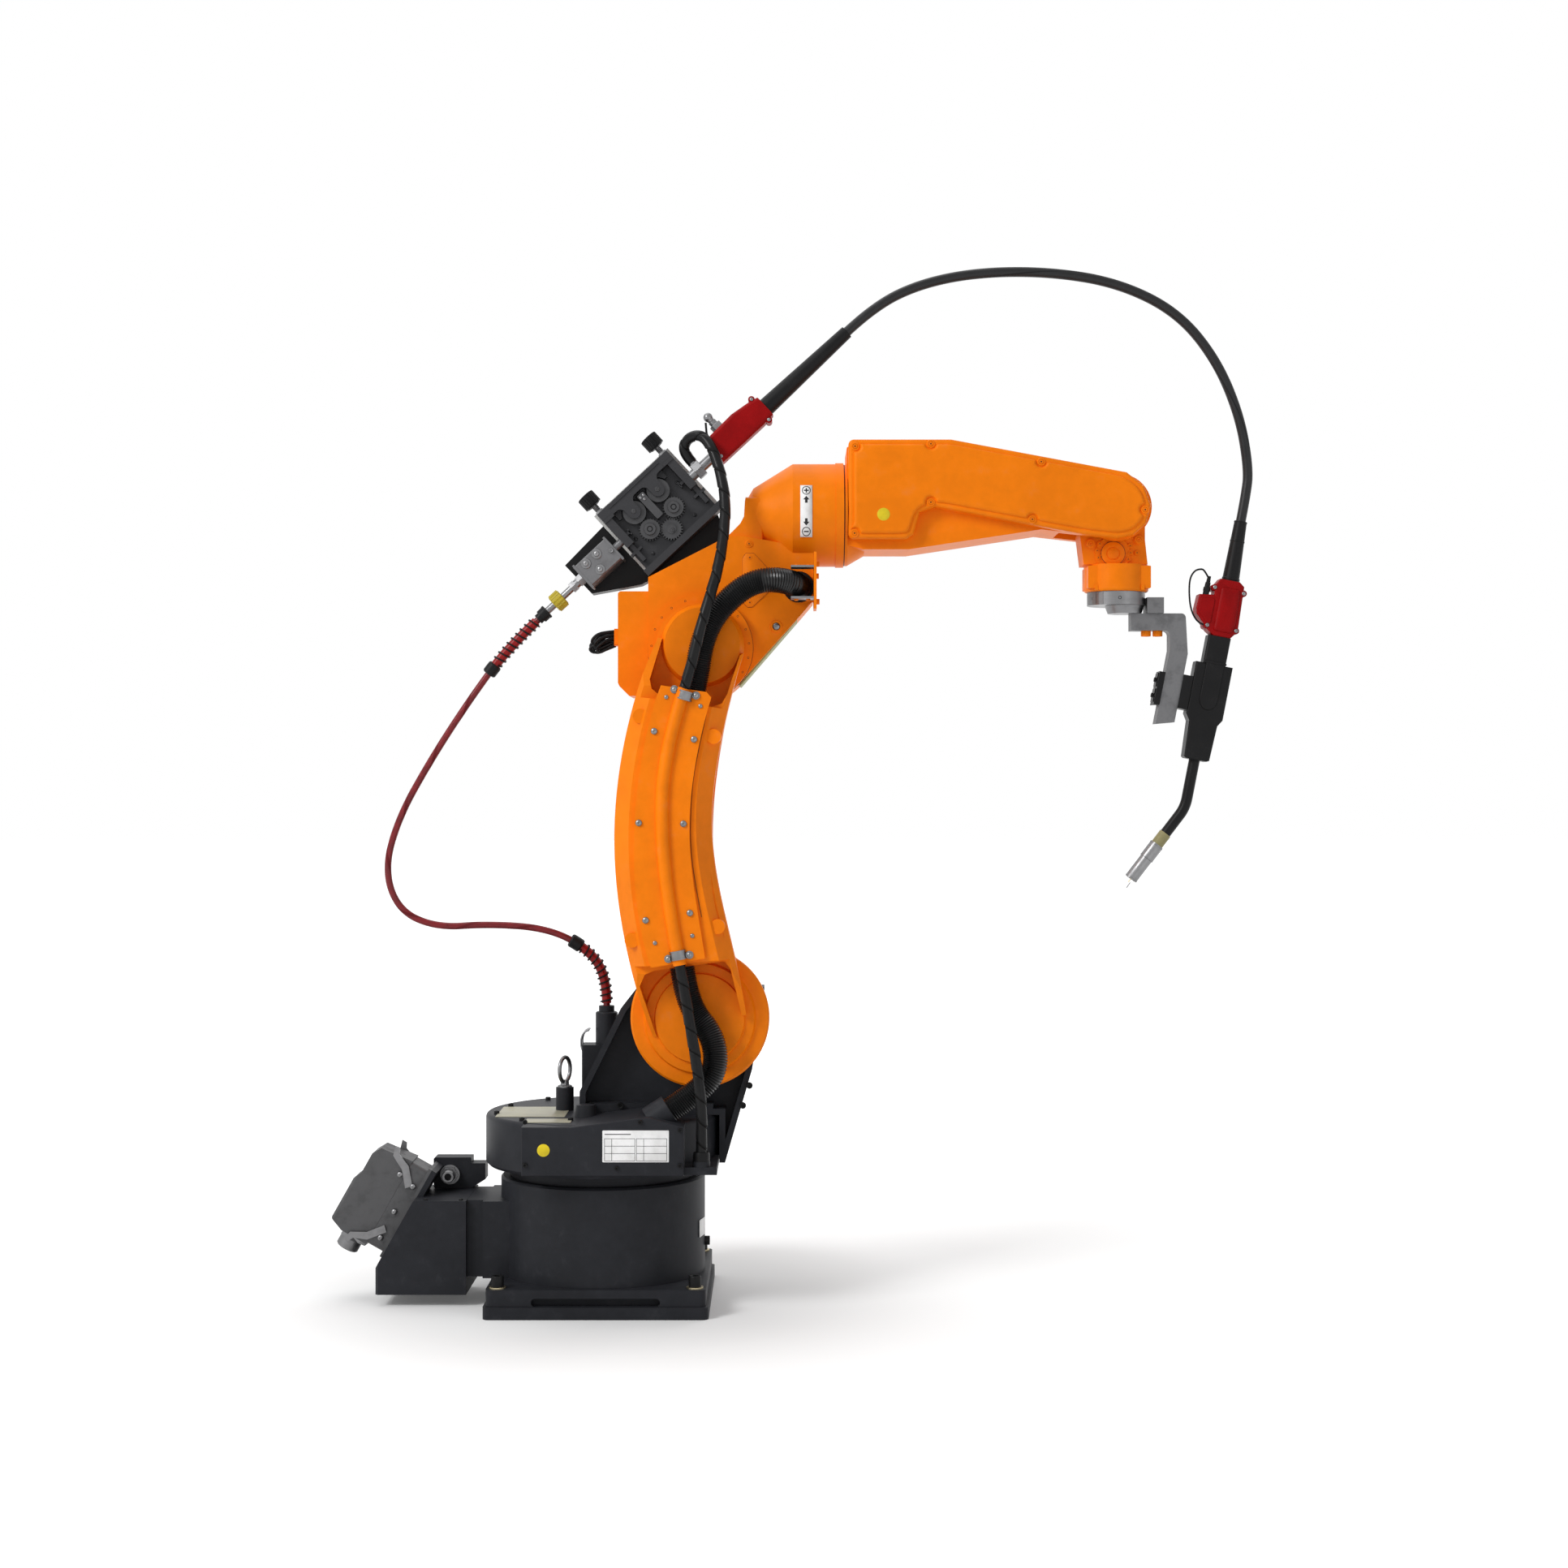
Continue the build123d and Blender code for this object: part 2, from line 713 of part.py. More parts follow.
# Cover plate on the arm, with the raised channel that the thin hose runs in
cover_left = [
    (-55, upper_arm_length - 60),
    (-65, upper_arm_length - 87),
    (-84, 0.69 * upper_arm_length),
    (-95, 0.45 * upper_arm_length),
    (-84, 133),
    (-70, 80),
]
cover_right = [
    (10, 94),
    (1, 150),
    (-13, 0.5 * upper_arm_length),
    (1, upper_arm_length - 148),
    (19, upper_arm_length - 78),
    (12, upper_arm_length - 70),
]
ridge_line = [
    (-20.5, upper_arm_length - 65),
    (-34, upper_arm_length - 112),
    (-50, upper_arm_length - 190),
    (-52.5, 0.5 * upper_arm_length),
    (-40, 158),
    (-27, 84),
]
cover_y = arm_front_y - arm_cover_thickness
with BuildPart() as arm_cover:
    with BuildSketch(arm_face(arm_front_y)):
        with BuildLine():
            Spline(*cover_left[1:])
            Line(cover_left[-1], cover_right[0])
            Spline(*cover_right[:-1])
            Polyline(cover_right[-2], cover_right[-1], cover_left[0], cover_left[1])
        make_face()
    extrude(amount=arm_cover_thickness)
    with BuildLine(arm_face(cover_y)) as ridge_path:
        Spline(*ridge_line)
    ridge_wire = ridge_path.wire()
    with BuildSketch(Plane(origin=ridge_wire @ 0, x_dir=(0, 1, 0), z_dir=ridge_wire % 0)):
        Circle(ridge_radius)
        with Locations((ridge_radius, 0)):
            Rectangle(2 * ridge_radius, 3 * ridge_radius, mode=Mode.SUBTRACT)
    sweep(path=ridge_wire)
arm_cover.part.label = "arm_cover"

# Saddle clamps over both ends of the channel
clamp_spots = ((10, 1), (ridge_wire.length - 9, -1))
with BuildPart() as arm_clamps:
    for distance, way in clamp_spots:
        run = ridge_wire.tangent_at(distance, position_mode=PositionMode.LENGTH) * way
        across = Vector(run.Z, 0, -run.X)
        start = ridge_wire.position_at(distance, position_mode=PositionMode.LENGTH)
        with BuildSketch(Plane(origin=start, x_dir=across, z_dir=run)):
            Circle(ridge_radius + 2.3)
            Rectangle(44, 4.4)
            outward = -1 if Plane(origin=start, x_dir=across, z_dir=run).y_dir.Y > 0 else 1
            Circle(ridge_radius + running_gap, mode=Mode.SUBTRACT)
            with Locations((0, -20 * outward)):
                Rectangle(60, 40, mode=Mode.SUBTRACT)
        extrude(amount=clamp_width)
arm_clamps.part.label = "arm_clamps"


def elbow_face(y):
    """Plane of the elbow at depth y, with its origin on the elbow axis."""
    return side(shoulder_x, y, elbow_z)


# Elbow casting: ring seat, body with its sloping feeder seat, and round roll housing
casting_depth = elbow_far_y - elbow_near_y
feeder_seat_low = (-elbow_ring_radius, 107)
feeder_seat_high = (24, 160)
with BuildPart() as elbow_casting:
    with BuildSketch(elbow_face(elbow_far_y)):
        Circle(elbow_ring_radius)
        with BuildLine():
            Polyline(
                (55, -57),
                (147, 45),
                (170, 72),
                (170, 150),
                (65, 169),
                (32, 169),
                feeder_seat_high,
                feeder_seat_low,
                (-elbow_ring_radius, 0),
                close=True,
            )
        make_face()
    extrude(amount=casting_depth)
    with BuildSketch(elbow_face(elbow_near_y)):
        Circle(elbow_ring_radius)
    extrude(amount=elbow_near_y - arm_back_y - running_gap)
    with BuildSketch(side(shoulder_x, 0, roll_z)):
        with BuildLine():
            Polyline(
                (69, 0),
                (69, 24),
                (79, 41),
                (139, roll_radius),
                (roll_housing_end, roll_radius),
                (roll_housing_end, roll_ring_radius),
                (roll_housing_end + roll_ring_width, roll_ring_radius),
                (roll_housing_end + roll_ring_width, 0),
                close=True,
            )
        make_face()
    revolve(axis=Axis((0, 0, roll_z), (1, 0, 0)))
elbow_casting.part.label = "elbow_casting"

# Motor housing behind the elbow ring, with the gland on its rear
with BuildPart() as elbow_motor_box:
    with BuildSketch(elbow_face(elbow_far_y)):
        with BuildLine():
            Polyline(
                (-motor_box_left, -55),
                (-motor_box_left, 86),
                (-elbow_ring_radius, 86),
                (-elbow_ring_radius, -72),
                (-motor_box_left + 17, -72),
                close=True,
            )
        make_face()
    extrude(amount=casting_depth - 4)
    chamfer(elbow_motor_box.edges().filter_by(Axis.Y).sort_by(Axis.X)[0:2], 3)
    rear_face = Plane(
        origin=(shoulder_x - motor_box_left, -10, elbow_z + 18),
        x_dir=(0, 1, 0),
        z_dir=(-1, 0, 0),
    )
    with BuildSketch(rear_face):
        RectangleRounded(30, 26, 4)
    extrude(amount=7)
elbow_motor_box.part.label = "elbow_motor_box"

# Bracket and clips that hold the wide conduit under the roll housing
bracket_outline = [(-6, 76), (-6, 120), (-50, 120), (-84, 138), (-126, 138), (-126, 54), (-70, 54)]
with BuildPart() as hose_bracket:
    bracket_face = Plane(origin=(shoulder_x + 170, 0, elbow_z), x_dir=(0, 1, 0), z_dir=(1, 0, 0))
    with BuildSketch(bracket_face):
        with BuildLine():
            Polyline(*bracket_outline, close=True)
        make_face()
    extrude(amount=4)
hose_bracket.part.label = "hose_bracket"
conduit_exit_z = 94
clip_gap = 2.5
with BuildPart() as hose_clips:
    for way in (-1, 1):
        with BuildSketch(side(shoulder_x, -86, elbow_z)):
            with Locations((153, conduit_exit_z + way * (conduit_radius + clip_gap + 1.5))):
                Rectangle(34, 3)
        extrude(amount=38)
hose_clips.part.label = "hose_clips"


def feeder_face(y):
    """Plane of the wire feeder at depth y: x along the wire, y away from the elbow."""
    return side(shoulder_x + feeder_offset, y, roll_z, feeder_tilt)


wire_start = feeder_face(feeder_wire_y)
wire_direction = wire_start.x_dir


def wire_plane(u):
    """Plane across the wire axis at distance u along it."""
    return Plane(origin=tilted_point(wire_start, u, 0), x_dir=(0, 1, 0), z_dir=wire_direction)


# Feeder bracket that stands on the elbow's sloping seat
plate_left = -63
plate_right = 80
plate_low = -57
plate_high = 54
insulator_thickness = 6
bracket_near_y = feeder_plate_y + feeder_plate_thickness + insulator_thickness
with BuildPart() as feeder_bracket:
    with BuildSketch(elbow_face(bracket_near_y + 38)):
        with BuildLine():
            Polyline(
                (-168, 86),
                (-92, 100),
                feeder_seat_low,
                feeder_seat_high,
                (38, 176),
                (24, 208),
                (-66, 278),
                (-140, 200),
                (-209, 129),
                close=True,
            )
        make_face()
    extrude(amount=38)
feeder_bracket.part.label = "feeder_bracket"

# Feed motor on the far side of the bracket
feed_motor_radius = 34
feed_motor_length = 104
with BuildPart() as feed_motor:
    with BuildSketch(feeder_face(bracket_near_y + 38 + feed_motor_length)):
        with Locations((6.7, -10)):
            Circle(feed_motor_radius)
    extrude(amount=feed_motor_length)
    fillet(feed_motor.edges().filter_by(GeomType.CIRCLE).sort_by(Axis.Y)[-1], 4)
feed_motor.part.label = "feed_motor"

# Pale insulating plate between bracket and feed plate
with BuildPart() as feeder_insulator:
    with BuildSketch(feeder_face(bracket_near_y)):
        with Locations(((plate_left + plate_right) / 2 + 1, (plate_low + plate_high) / 2 + 4)):
            Rectangle(plate_right - plate_left + 10, plate_high - plate_low + 4)
    extrude(amount=insulator_thickness)
feeder_insulator.part.label = "feeder_insulator"

# Feed plate with its bottom rail and the raised block notched round the rolls
feeder_back_y = feeder_plate_y + feeder_plate_thickness
roll_low_v = -15.5
roll_high_v = 19
with BuildPart() as feeder_plate:
    with BuildSketch(feeder_face(feeder_back_y)):
        with Locations(((plate_left + plate_right) / 2, (plate_low + plate_high) / 2)):
            Rectangle(plate_right - plate_left, plate_high - plate_low)
    extrude(amount=feeder_plate_thickness)
    with BuildSketch(feeder_face(feeder_back_y)):
        with Locations(((plate_left + plate_right) / 2 + 1, plate_low - 4)):
            Rectangle(plate_right - plate_left + 14, 11)
    extrude(amount=feeder_plate_thickness + 24)
    with BuildSketch(feeder_face(feeder_plate_y)):
        with Locations((roll_centre_u, plate_high - 14)):
            Rectangle(2 * roll_spacing, 28)
        for way in (-1, 1):
            with Locations((roll_centre_u + way * roll_spacing / 2, roll_high_v)):
                Circle(pressure_roll_radius + 3, mode=Mode.SUBTRACT)
        with Locations((roll_centre_u, roll_high_v + 4)):
            Rectangle(16, 26, mode=Mode.SUBTRACT)
    extrude(amount=8)
feeder_plate.part.label = "feeder_plate"

# Wire guide between the two pairs of rolls
guide_width = 12
with BuildPart() as wire_guide:
    with BuildSketch(feeder_face(feeder_plate_y)):
        with Locations((roll_centre_u, 10)):
            RectangleRounded(guide_width, 46, 2)
    extrude(amount=24)
    with Locations(wire_plane(roll_centre_u + guide_width)):
        Hole(1.6, depth=3 * guide_width)
wire_guide.part.label = "wire_guide"

# Toothed gears: a pinion drives the gear behind each grooved drive roll
pitch_radius = gear_module * drive_gear_teeth / 2
pinion_drop = math.sqrt((2 * pitch_radius) ** 2 - (roll_spacing / 2) ** 2)
pinion_spot = (roll_centre_u, roll_low_v - pinion_drop)
gear_y = feeder_plate_y - 1
gear_width = 6
roll_front_y = feeder_plate_y - gear_width - roll_width - 4
tooth_angle = 360 / drive_gear_teeth


def draw_gear(centre, first_tooth):
    """Draw a gear outline in the current sketch, with a tooth at first_tooth degrees."""
    with Locations(centre):
        Circle(pitch_radius - 1.2 * gear_module)
        with PolarLocations(pitch_radius - 0.15 * gear_module, drive_gear_teeth, start_angle=first_tooth):
            Trapezoid(1.7 * gear_module, 2.3 * gear_module, 77, rotation=-90)


with BuildPart() as pinion_gear:
    with BuildSketch(feeder_face(gear_y)):
        draw_gear(pinion_spot, 0)
    extrude(amount=gear_width)
    with BuildSketch(feeder_face(feeder_plate_y)):
        with Locations(pinion_spot):
            Circle(7)
    extrude(amount=gear_width + 4)
pinion_gear.part.label = "pinion_gear"

with BuildPart() as drive_rolls:
    for way in (-1, 1):
        roll_spot = (roll_centre_u + way * roll_spacing / 2, roll_low_v)
        toward_pinion = math.degrees(math.atan2(-pinion_drop, -way * roll_spacing / 2))
        pinion_tooth = (toward_pinion + 180) / tooth_angle
        offset_turn = (pinion_tooth - round(pinion_tooth)) * tooth_angle
        with BuildSketch(feeder_face(gear_y)):
            draw_gear(roll_spot, toward_pinion + offset_turn + tooth_angle / 2)
        extrude(amount=gear_width)
        with BuildSketch(feeder_face(gear_y - gear_width)):
            with Locations(roll_spot):
                Circle(drive_roll_radius)
        extrude(amount=roll_width)
        with BuildSketch(feeder_face(feeder_plate_y)):
            with Locations(roll_spot):
                Circle(6)
        extrude(amount=gear_width + roll_width + 4)
        with BuildSketch(feeder_face(roll_front_y)):
            with Locations(roll_spot):
                RegularPolygon(4.4, 6)
        extrude(amount=-roll_width, mode=Mode.SUBTRACT)
drive_rolls.part.label = "drive_rolls"

with BuildPart() as pressure_rolls:
    for way in (-1, 1):
        roll_spot = (roll_centre_u + way * roll_spacing / 2, roll_high_v)
        with BuildSketch(feeder_face(gear_y)):
            with Locations(roll_spot):
                Circle(pressure_roll_radius - 3)
        extrude(amount=gear_width)
        with BuildSketch(feeder_face(gear_y - gear_width)):
            with Locations(roll_spot):
                Circle(pressure_roll_radius)
        extrude(amount=roll_width)
        with BuildSketch(feeder_face(feeder_plate_y)):
            with Locations(roll_spot):
                Circle(6)
        extrude(amount=gear_width + roll_width + 4)
pressure_rolls.part.label = "pressure_rolls"

# Pressure arms at both ends of the feed plate, whose saddles reach over the pressure rolls
arm_width = 13
arm_low_v = -14
saddle_low_v = 38
saddle_radius = 10
arms_front_y = feeder_plate_y - 24
arm_spots = (plate_left + arm_width / 2, plate_right - arm_width / 2)
with BuildPart() as pressure_arms:
    with BuildSketch(feeder_face(feeder_plate_y)):
        for u in arm_spots:
            with Locations((u, (plate_high + arm_low_v) / 2)):
                Rectangle(arm_width, plate_high - arm_low_v)
    extrude(amount=feeder_plate_y - arms_front_y)
    with BuildSketch(feeder_face(feeder_plate_y)):
        for u in arm_spots:
            with Locations((u, arm_low_v - 15)):
                Rectangle(arm_width / 2, 30)
            with Locations((u, arm_low_v - 12)):
                Rectangle(arm_width + 8, 4)
    extrude(amount=14)
    with BuildSketch(feeder_face(feeder_plate_y - 8)):
        with Locations(((plate_left + plate_right) / 2, (plate_high + saddle_low_v) / 2)):
            Rectangle(plate_right - plate_left - 2 * arm_width, plate_high - saddle_low_v)
    extrude(amount=feeder_plate_y - 8 - arms_front_y)
    with BuildSketch(feeder_face(roll_front_y - running_gap)) as saddles:
        with Locations((roll_centre_u, saddle_low_v + 4)):
            Rectangle(2.2 * roll_spacing, 8)
        for way in (-1, 1):
            with Locations((roll_centre_u + way * roll_spacing / 2, (roll_high_v + saddle_low_v) / 2)):
                Rectangle(2 * saddle_radius, saddle_low_v - roll_high_v)
        inner_corners = saddles.vertices().filter_by(lambda corner: abs(corner.Y - saddle_low_v) < 0.1)
        fillet(inner_corners.filter_by(lambda corner: abs(corner.X - roll_centre_u) < 0.9 * roll_spacing), 9)
        for way in (-1, 1):
            with Locations((roll_centre_u + way * roll_spacing / 2, roll_high_v)):
                Circle(saddle_radius)
    extrude(amount=roll_front_y - running_gap - arms_front_y)
pressure_arms.part.label = "pressure_arms"

knob_v = plate_high + 2
knob_size = 20
with BuildPart() as tension_knobs:
    for u in arm_spots:
        rod_plane = Plane(
            origin=tilted_point(wire_start, u, knob_v),
            x_dir=(0, 1, 0),
            z_dir=wire_start.y_dir,
        )
        with BuildSketch(rod_plane):
            Circle(3.2)
        extrude(amount=14)
        with BuildSketch(rod_plane.offset(14)):
            RectangleRounded(knob_size, knob_size - 2, 3)
        extrude(amount=18)
tension_knobs.part.label = "tension_knobs"

# Inlet side: block, nuts, knurled collar and the ferrule of the liner hose
inlet_end = -144
inlet_start = plate_left - 14
with BuildPart() as inlet_block:
    with BuildSketch(feeder_face(bracket_near_y)):
        with Locations(((inlet_start + inlet_end) / 2, 0)):
            Rectangle(inlet_start - inlet_end, 40)
    extrude(amount=bracket_near_y - feeder_plate_y + 26)
    chamfer(inlet_block.faces().sort_by(Axis.Y)[0].edges(), 2)
    with BuildSketch(wire_plane(inlet_start)):
        Circle(6)
    extrude(amount=14)
inlet_block.part.label = "inlet_block"

with BuildPart() as inlet_fitting:
    with BuildSketch(wire_plane(inlet_end)):
        RegularPolygon(9.5, 6)
    extrude(amount=-9)
    with BuildSketch(wire_plane(inlet_end - 9)):
        Circle(7)
    extrude(amount=-5)
    with BuildSketch(wire_plane(inlet_end - 14)):
        RegularPolygon(9, 6)
    extrude(amount=-9)
    with BuildSketch(wire_plane(inlet_end - 23)):
        Circle(5.5)
    extrude(amount=-50)
inlet_fitting.part.label = "inlet_fitting"

collar_u = inlet_end - 41
with BuildPart() as inlet_collar:
    with BuildSketch(wire_plane(collar_u)):
        Circle(14)
        Circle(5.5 + running_gap, mode=Mode.SUBTRACT)
    extrude(amount=-18)
    chamfer(inlet_collar.edges().filter_by(GeomType.CIRCLE).sort_by(SortBy.RADIUS)[-2:], 2)
inlet_collar.part.label = "inlet_collar"

ferrule_u = inlet_end - 73
with BuildPart() as liner_ferrule:
    with BuildSketch(wire_plane(ferrule_u)):
        Circle(10)
    extrude(amount=-13)
    with BuildSketch(wire_plane(ferrule_u - 13)):
        Circle(8)
    extrude(amount=-6)
liner_ferrule.part.label = "liner_ferrule"

# Outlet side: coupling, gun connector with its side nipple, and cable boot
gun_start = 128
gun_end = 235
with BuildPart() as gun_coupling:
    with BuildSketch(wire_plane(plate_right)):
        Circle(8)
    extrude(amount=gun_start - plate_right)
    with BuildSketch(wire_plane(plate_right + 10)):
        RegularPolygon(14, 6)
    extrude(amount=13)
    hose_start = Vector(*high_hose_route[0])
    with BuildSketch(Plane(origin=hose_start, z_dir=-wire_start.y_dir)):
        Circle(hose_radius - 1)
    extrude(amount=15)
gun_coupling.part.label = "gun_coupling"

gun_depth = 36
with BuildPart() as gun_connector:
    with BuildSketch(feeder_face(feeder_wire_y + gun_depth / 2)):
        with BuildLine():
            Polyline(
                (gun_start, -18.5),
                (gun_start, 18),
                (gun_start + 16, 25),
                (gun_start + 61, 26.5),
                (gun_end - 14, 22),
                (gun_end, 18.5),
                (gun_end, -17),
                (gun_end - 20, -18.5),
                close=True,
            )
        make_face()
    extrude(amount=gun_depth)
    long_edges = gun_connector.edges().filter_by(lambda edge: abs((edge % 0.5).dot(wire_direction)) > 0.8)
    fillet(long_edges, 6)
    nipple_plane = Plane(
        origin=tilted_point(wire_start, gun_start + 33, 20),
        x_dir=(0, 1, 0),
        z_dir=wire_start.y_dir,
    )
    with BuildSketch(nipple_plane):
        RegularPolygon(8, 6)
    extrude(amount=14)
    with BuildSketch(nipple_plane.offset(14)):
        Circle(5)
    extrude(amount=9)
gun_connector.part.label = "gun_connector"

boot_length = 168
with BuildPart() as gun_boot:
    with BuildSketch(wire_plane(gun_end)):
        Circle(14)
    with BuildSketch(wire_plane(gun_end + boot_length)):
        Circle(cable_radius + 2.5)
    loft()
gun_boot.part.label = "gun_boot"

# Forearm: round rear collar, box body and a fork for the wrist
forearm_start = shoulder_x + roll_housing_end + roll_ring_width + running_gap
fork_reach = 92
end_radius = 50
forearm_depth = forearm_far_y - forearm_near_y


def forearm_face(y):
    """Plane of the forearm at depth y, with its origin on the roll axis above the base."""
    return side(0, y, roll_z)


with BuildPart() as forearm_casting:
    with BuildSketch(Plane(origin=(forearm_start, 0, roll_z), x_dir=(0, 1, 0), z_dir=(1, 0, 0))):
        Circle(roll_radius - 1)
    extrude(amount=5)
    with BuildSketch(Plane(origin=(forearm_start + 5, 0, roll_z), x_dir=(0, 1, 0), z_dir=(1, 0, 0))):
        Circle(roll_radius - 1)
        Rectangle(forearm_far_y - forearm_near_y, 4 * roll_radius, mode=Mode.INTERSECT)
    extrude(amount=26, taper=30)
    with BuildSketch(forearm_face(forearm_far_y)):
        with BuildLine():
            Polyline(
                (forearm_start + 4, -50),
                (forearm_start + 28, -57),
                (forearm_start + 98, -57),
                (wrist_x - 120, -27),
                (wrist_x - 60, -34),
                (wrist_x, -40),
                (wrist_x + 40, 7),
                (wrist_x + 4, 58),
                (wrist_x - 257, 106),
                (forearm_start + 18, 106),
                (forearm_start + 4, 96),
                close=True,
            )
        make_face()
        with Locations((wrist_x - 4, 7)):
            Circle(end_radius)
    extrude(amount=forearm_depth)
    with BuildSketch(Plane.XY.offset(roll_z - 80)):
        with Locations((wrist_x - fork_reach, 0)):
            Rectangle(3 * fork_reach, 2 * fork_half_width, align=(Align.MIN, Align.CENTER))
    extrude(amount=220, mode=Mode.SUBTRACT)
forearm_casting.part.label = "forearm_casting"

cover_outline = [
    (forearm_start + 6, -43),
    (forearm_start + 6, 106),
    (wrist_x - 257, 106),
    (wrist_x + 6, 57),
    (wrist_x + 32, 36),
    (wrist_x + 42, 8),
    (wrist_x + 35, -20),
    (wrist_x + 16, -37),
    (wrist_x - 8, -42),
    (wrist_x - 60, -36),
    (wrist_x - 280, 5),
    (wrist_x - 304, -3),
    (wrist_x - 313, -36),
    (wrist_x - 324, -43),
]


def build_forearm_cover(outline_plane, name):
    """Build a domed cover of the forearm outwards from outline_plane."""
    with BuildPart() as cover:
        with BuildSketch(outline_plane) as rim:
            with BuildLine():
                Polyline(*cover_outline, close=True)
            make_face()
            fillet(rim.vertices().filter_by(lambda corner: corner.X < 420), 8)
        extrude(amount=forearm_cover_depth)
        fillet(cover.faces().sort_by(Axis(outline_plane.origin, outline_plane.z_dir))[-1].edges(), 5)
    cover.part.label = name
    return cover


forearm_cover = build_forearm_cover(forearm_face(forearm_near_y), "forearm_cover")

# Wrist: hub between the fork cheeks, neck and round body on the twist axis
wrist_neck_half = 29
with BuildPart() as wrist_housing:
    with BuildSketch(side(wrist_x, fork_half_width - running_gap, roll_z)):
        Circle(wrist_hub_radius)
    extrude(amount=2 * (fork_half_width - running_gap))
    with BuildSketch(side(wrist_x, wrist_neck_half, roll_z)):
        with BuildLine():
            Polyline(
                (-40, 0),
                (-59, -30),
                (-53, -wrist_body_top),
                (44, -wrist_body_top),
                (40, -40),
                (40, 0),
                close=True,
            )
        make_face()
    extrude(amount=2 * wrist_neck_half)
    with BuildSketch(Plane.XY.offset(roll_z - wrist_body_bottom)):
        with Locations((wrist_x, 0)):
            Circle(wrist_body_radius)
    extrude(amount=wrist_body_bottom - wrist_body_top)
    fillet(wrist_housing.edges().filter_by(GeomType.CIRCLE).sort_by(Axis.Z)[0], 4)
    for spot, radius in (((-9, -61), 18.6), ((-43, -46), 7), ((30, -40), 7)):
        with BuildSketch(side(wrist_x, -wrist_neck_half, roll_z)):
            with Locations(spot):
                Circle(radius)
        extrude(amount=5)
wrist_housing.part.label = "wrist_housing"

# Tool flange, with the block that carries the torch bracket
flange_top = roll_z - wrist_body_bottom - running_gap
flange_thickness = 20
with BuildPart() as tool_flange:
    with BuildSketch(Plane.XY.offset(flange_top)):
        with Locations((wrist_x, 0)):
            Circle(flange_radius)
    extrude(amount=-flange_thickness)
    with BuildSketch(Plane.XY.offset(flange_top - flange_thickness)):
        with Locations((wrist_x + 13, 0)):
            Circle(flange_radius - 14)
    extrude(amount=-12, taper=20)
tool_flange.part.label = "tool_flange"

block_bottom = flange_top - flange_thickness - 12
with BuildPart() as mounting_block:
    with BuildSketch(side(wrist_x, 22, block_bottom)):
        with BuildLine():
            Polyline(
                (flange_radius + 0.5, 0),
                (flange_radius + 26, 0),
                (flange_radius + 26, 24),
                (flange_radius + 0.5, 24),
                close=True,
            )
        make_face()
    extrude(amount=44)
mounting_block.part.label = "mounting_block"

# Torch frame: x across the torch, y up its axis
torch_x = wrist_x + 148
torch_z = roll_z - 228


def torch_face(y):
    """Plane of the torch at depth y, with its origin at the top of the torch body."""
    return side(torch_x, y, torch_z, -torch_lean)


def torch_plane(p, q):
    """Plane across the torch axis at (p, q) of the torch frame, facing up the axis."""
    return Plane(origin=tilted_point(torch_face(0), p, q), x_dir=(0, 1, 0), z_dir=torch_face(0).y_dir)


bracket_half = 15
bracket_bar = 26
bracket_bend = 7
leg_left = -71
leg_right = -43
with BuildPart() as torch_bracket:
    low_left = tilted_point(torch_face(0), leg_left, -106)
    low_right = tilted_point(torch_face(0), leg_right, -98)
    high_right = tilted_point(torch_face(0), leg_right, 8)
    high_left = tilted_point(torch_face(0), leg_left, 8)
    with BuildSketch(side(0, bracket_half, 0)) as bracket_side:
        with BuildLine():
            Polyline(
                (wrist_x + 21, block_bottom),
                (wrist_x + 104, block_bottom),
                (high_right.X, high_right.Z),
                (low_right.X, low_right.Z),
                (low_left.X, low_left.Z),
                (high_left.X, high_left.Z),
                (high_left.X, block_bottom - bracket_bar),
                (wrist_x + 21, block_bottom - bracket_bar),
                close=True,
            )
        make_face()
        bends = bracket_side.vertices().filter_by(lambda corner: corner.X > high_left.X - 1)
        fillet(bends.filter_by(lambda corner: corner.Y > block_bottom - 1.04 * bracket_bar), bracket_bend)
    extrude(amount=2 * bracket_half)
torch_bracket.part.label = "torch_bracket"

# Torch body and the clamp jaws that hold it to the bracket
body_half = 28.3
with BuildPart() as torch_clamp:
    with BuildSketch(torch_face(18)):
        with BuildLine():
            Polyline((leg_left - 9, -26), (leg_left, -26), (leg_left, -76), (leg_left - 9, -78), close=True)
        make_face()
        with Locations(((leg_right - body_half) / 2, -50)):
            Rectangle(-body_half - leg_right, 52)
    extrude(amount=36)
torch_clamp.part.label = "torch_clamp"

with BuildPart() as torch_body:
    with BuildSketch(torch_face(18)):
        with BuildLine():
            Polyline(
                (-body_half, 0),
                (body_half, 0),
                (body_half, -82),
                (22, -92),
                (20, -146),
                (16, -148),
                (-16, -148),
                (-19, -146),
                (-22, -91),
                (-body_half, -81),
                close=True,
            )
        make_face()
    extrude(amount=36)
    with BuildSketch(torch_plane(0, 0)):
        RectangleRounded(32, 35, 4)
    extrude(amount=43)
    fillet(torch_body.faces().sort_by(Axis.Y)[0].edges(), 3)
    fillet(torch_body.faces().sort_by(Axis.Y)[-1].edges(), 3)
torch_body.part.label = "torch_body"

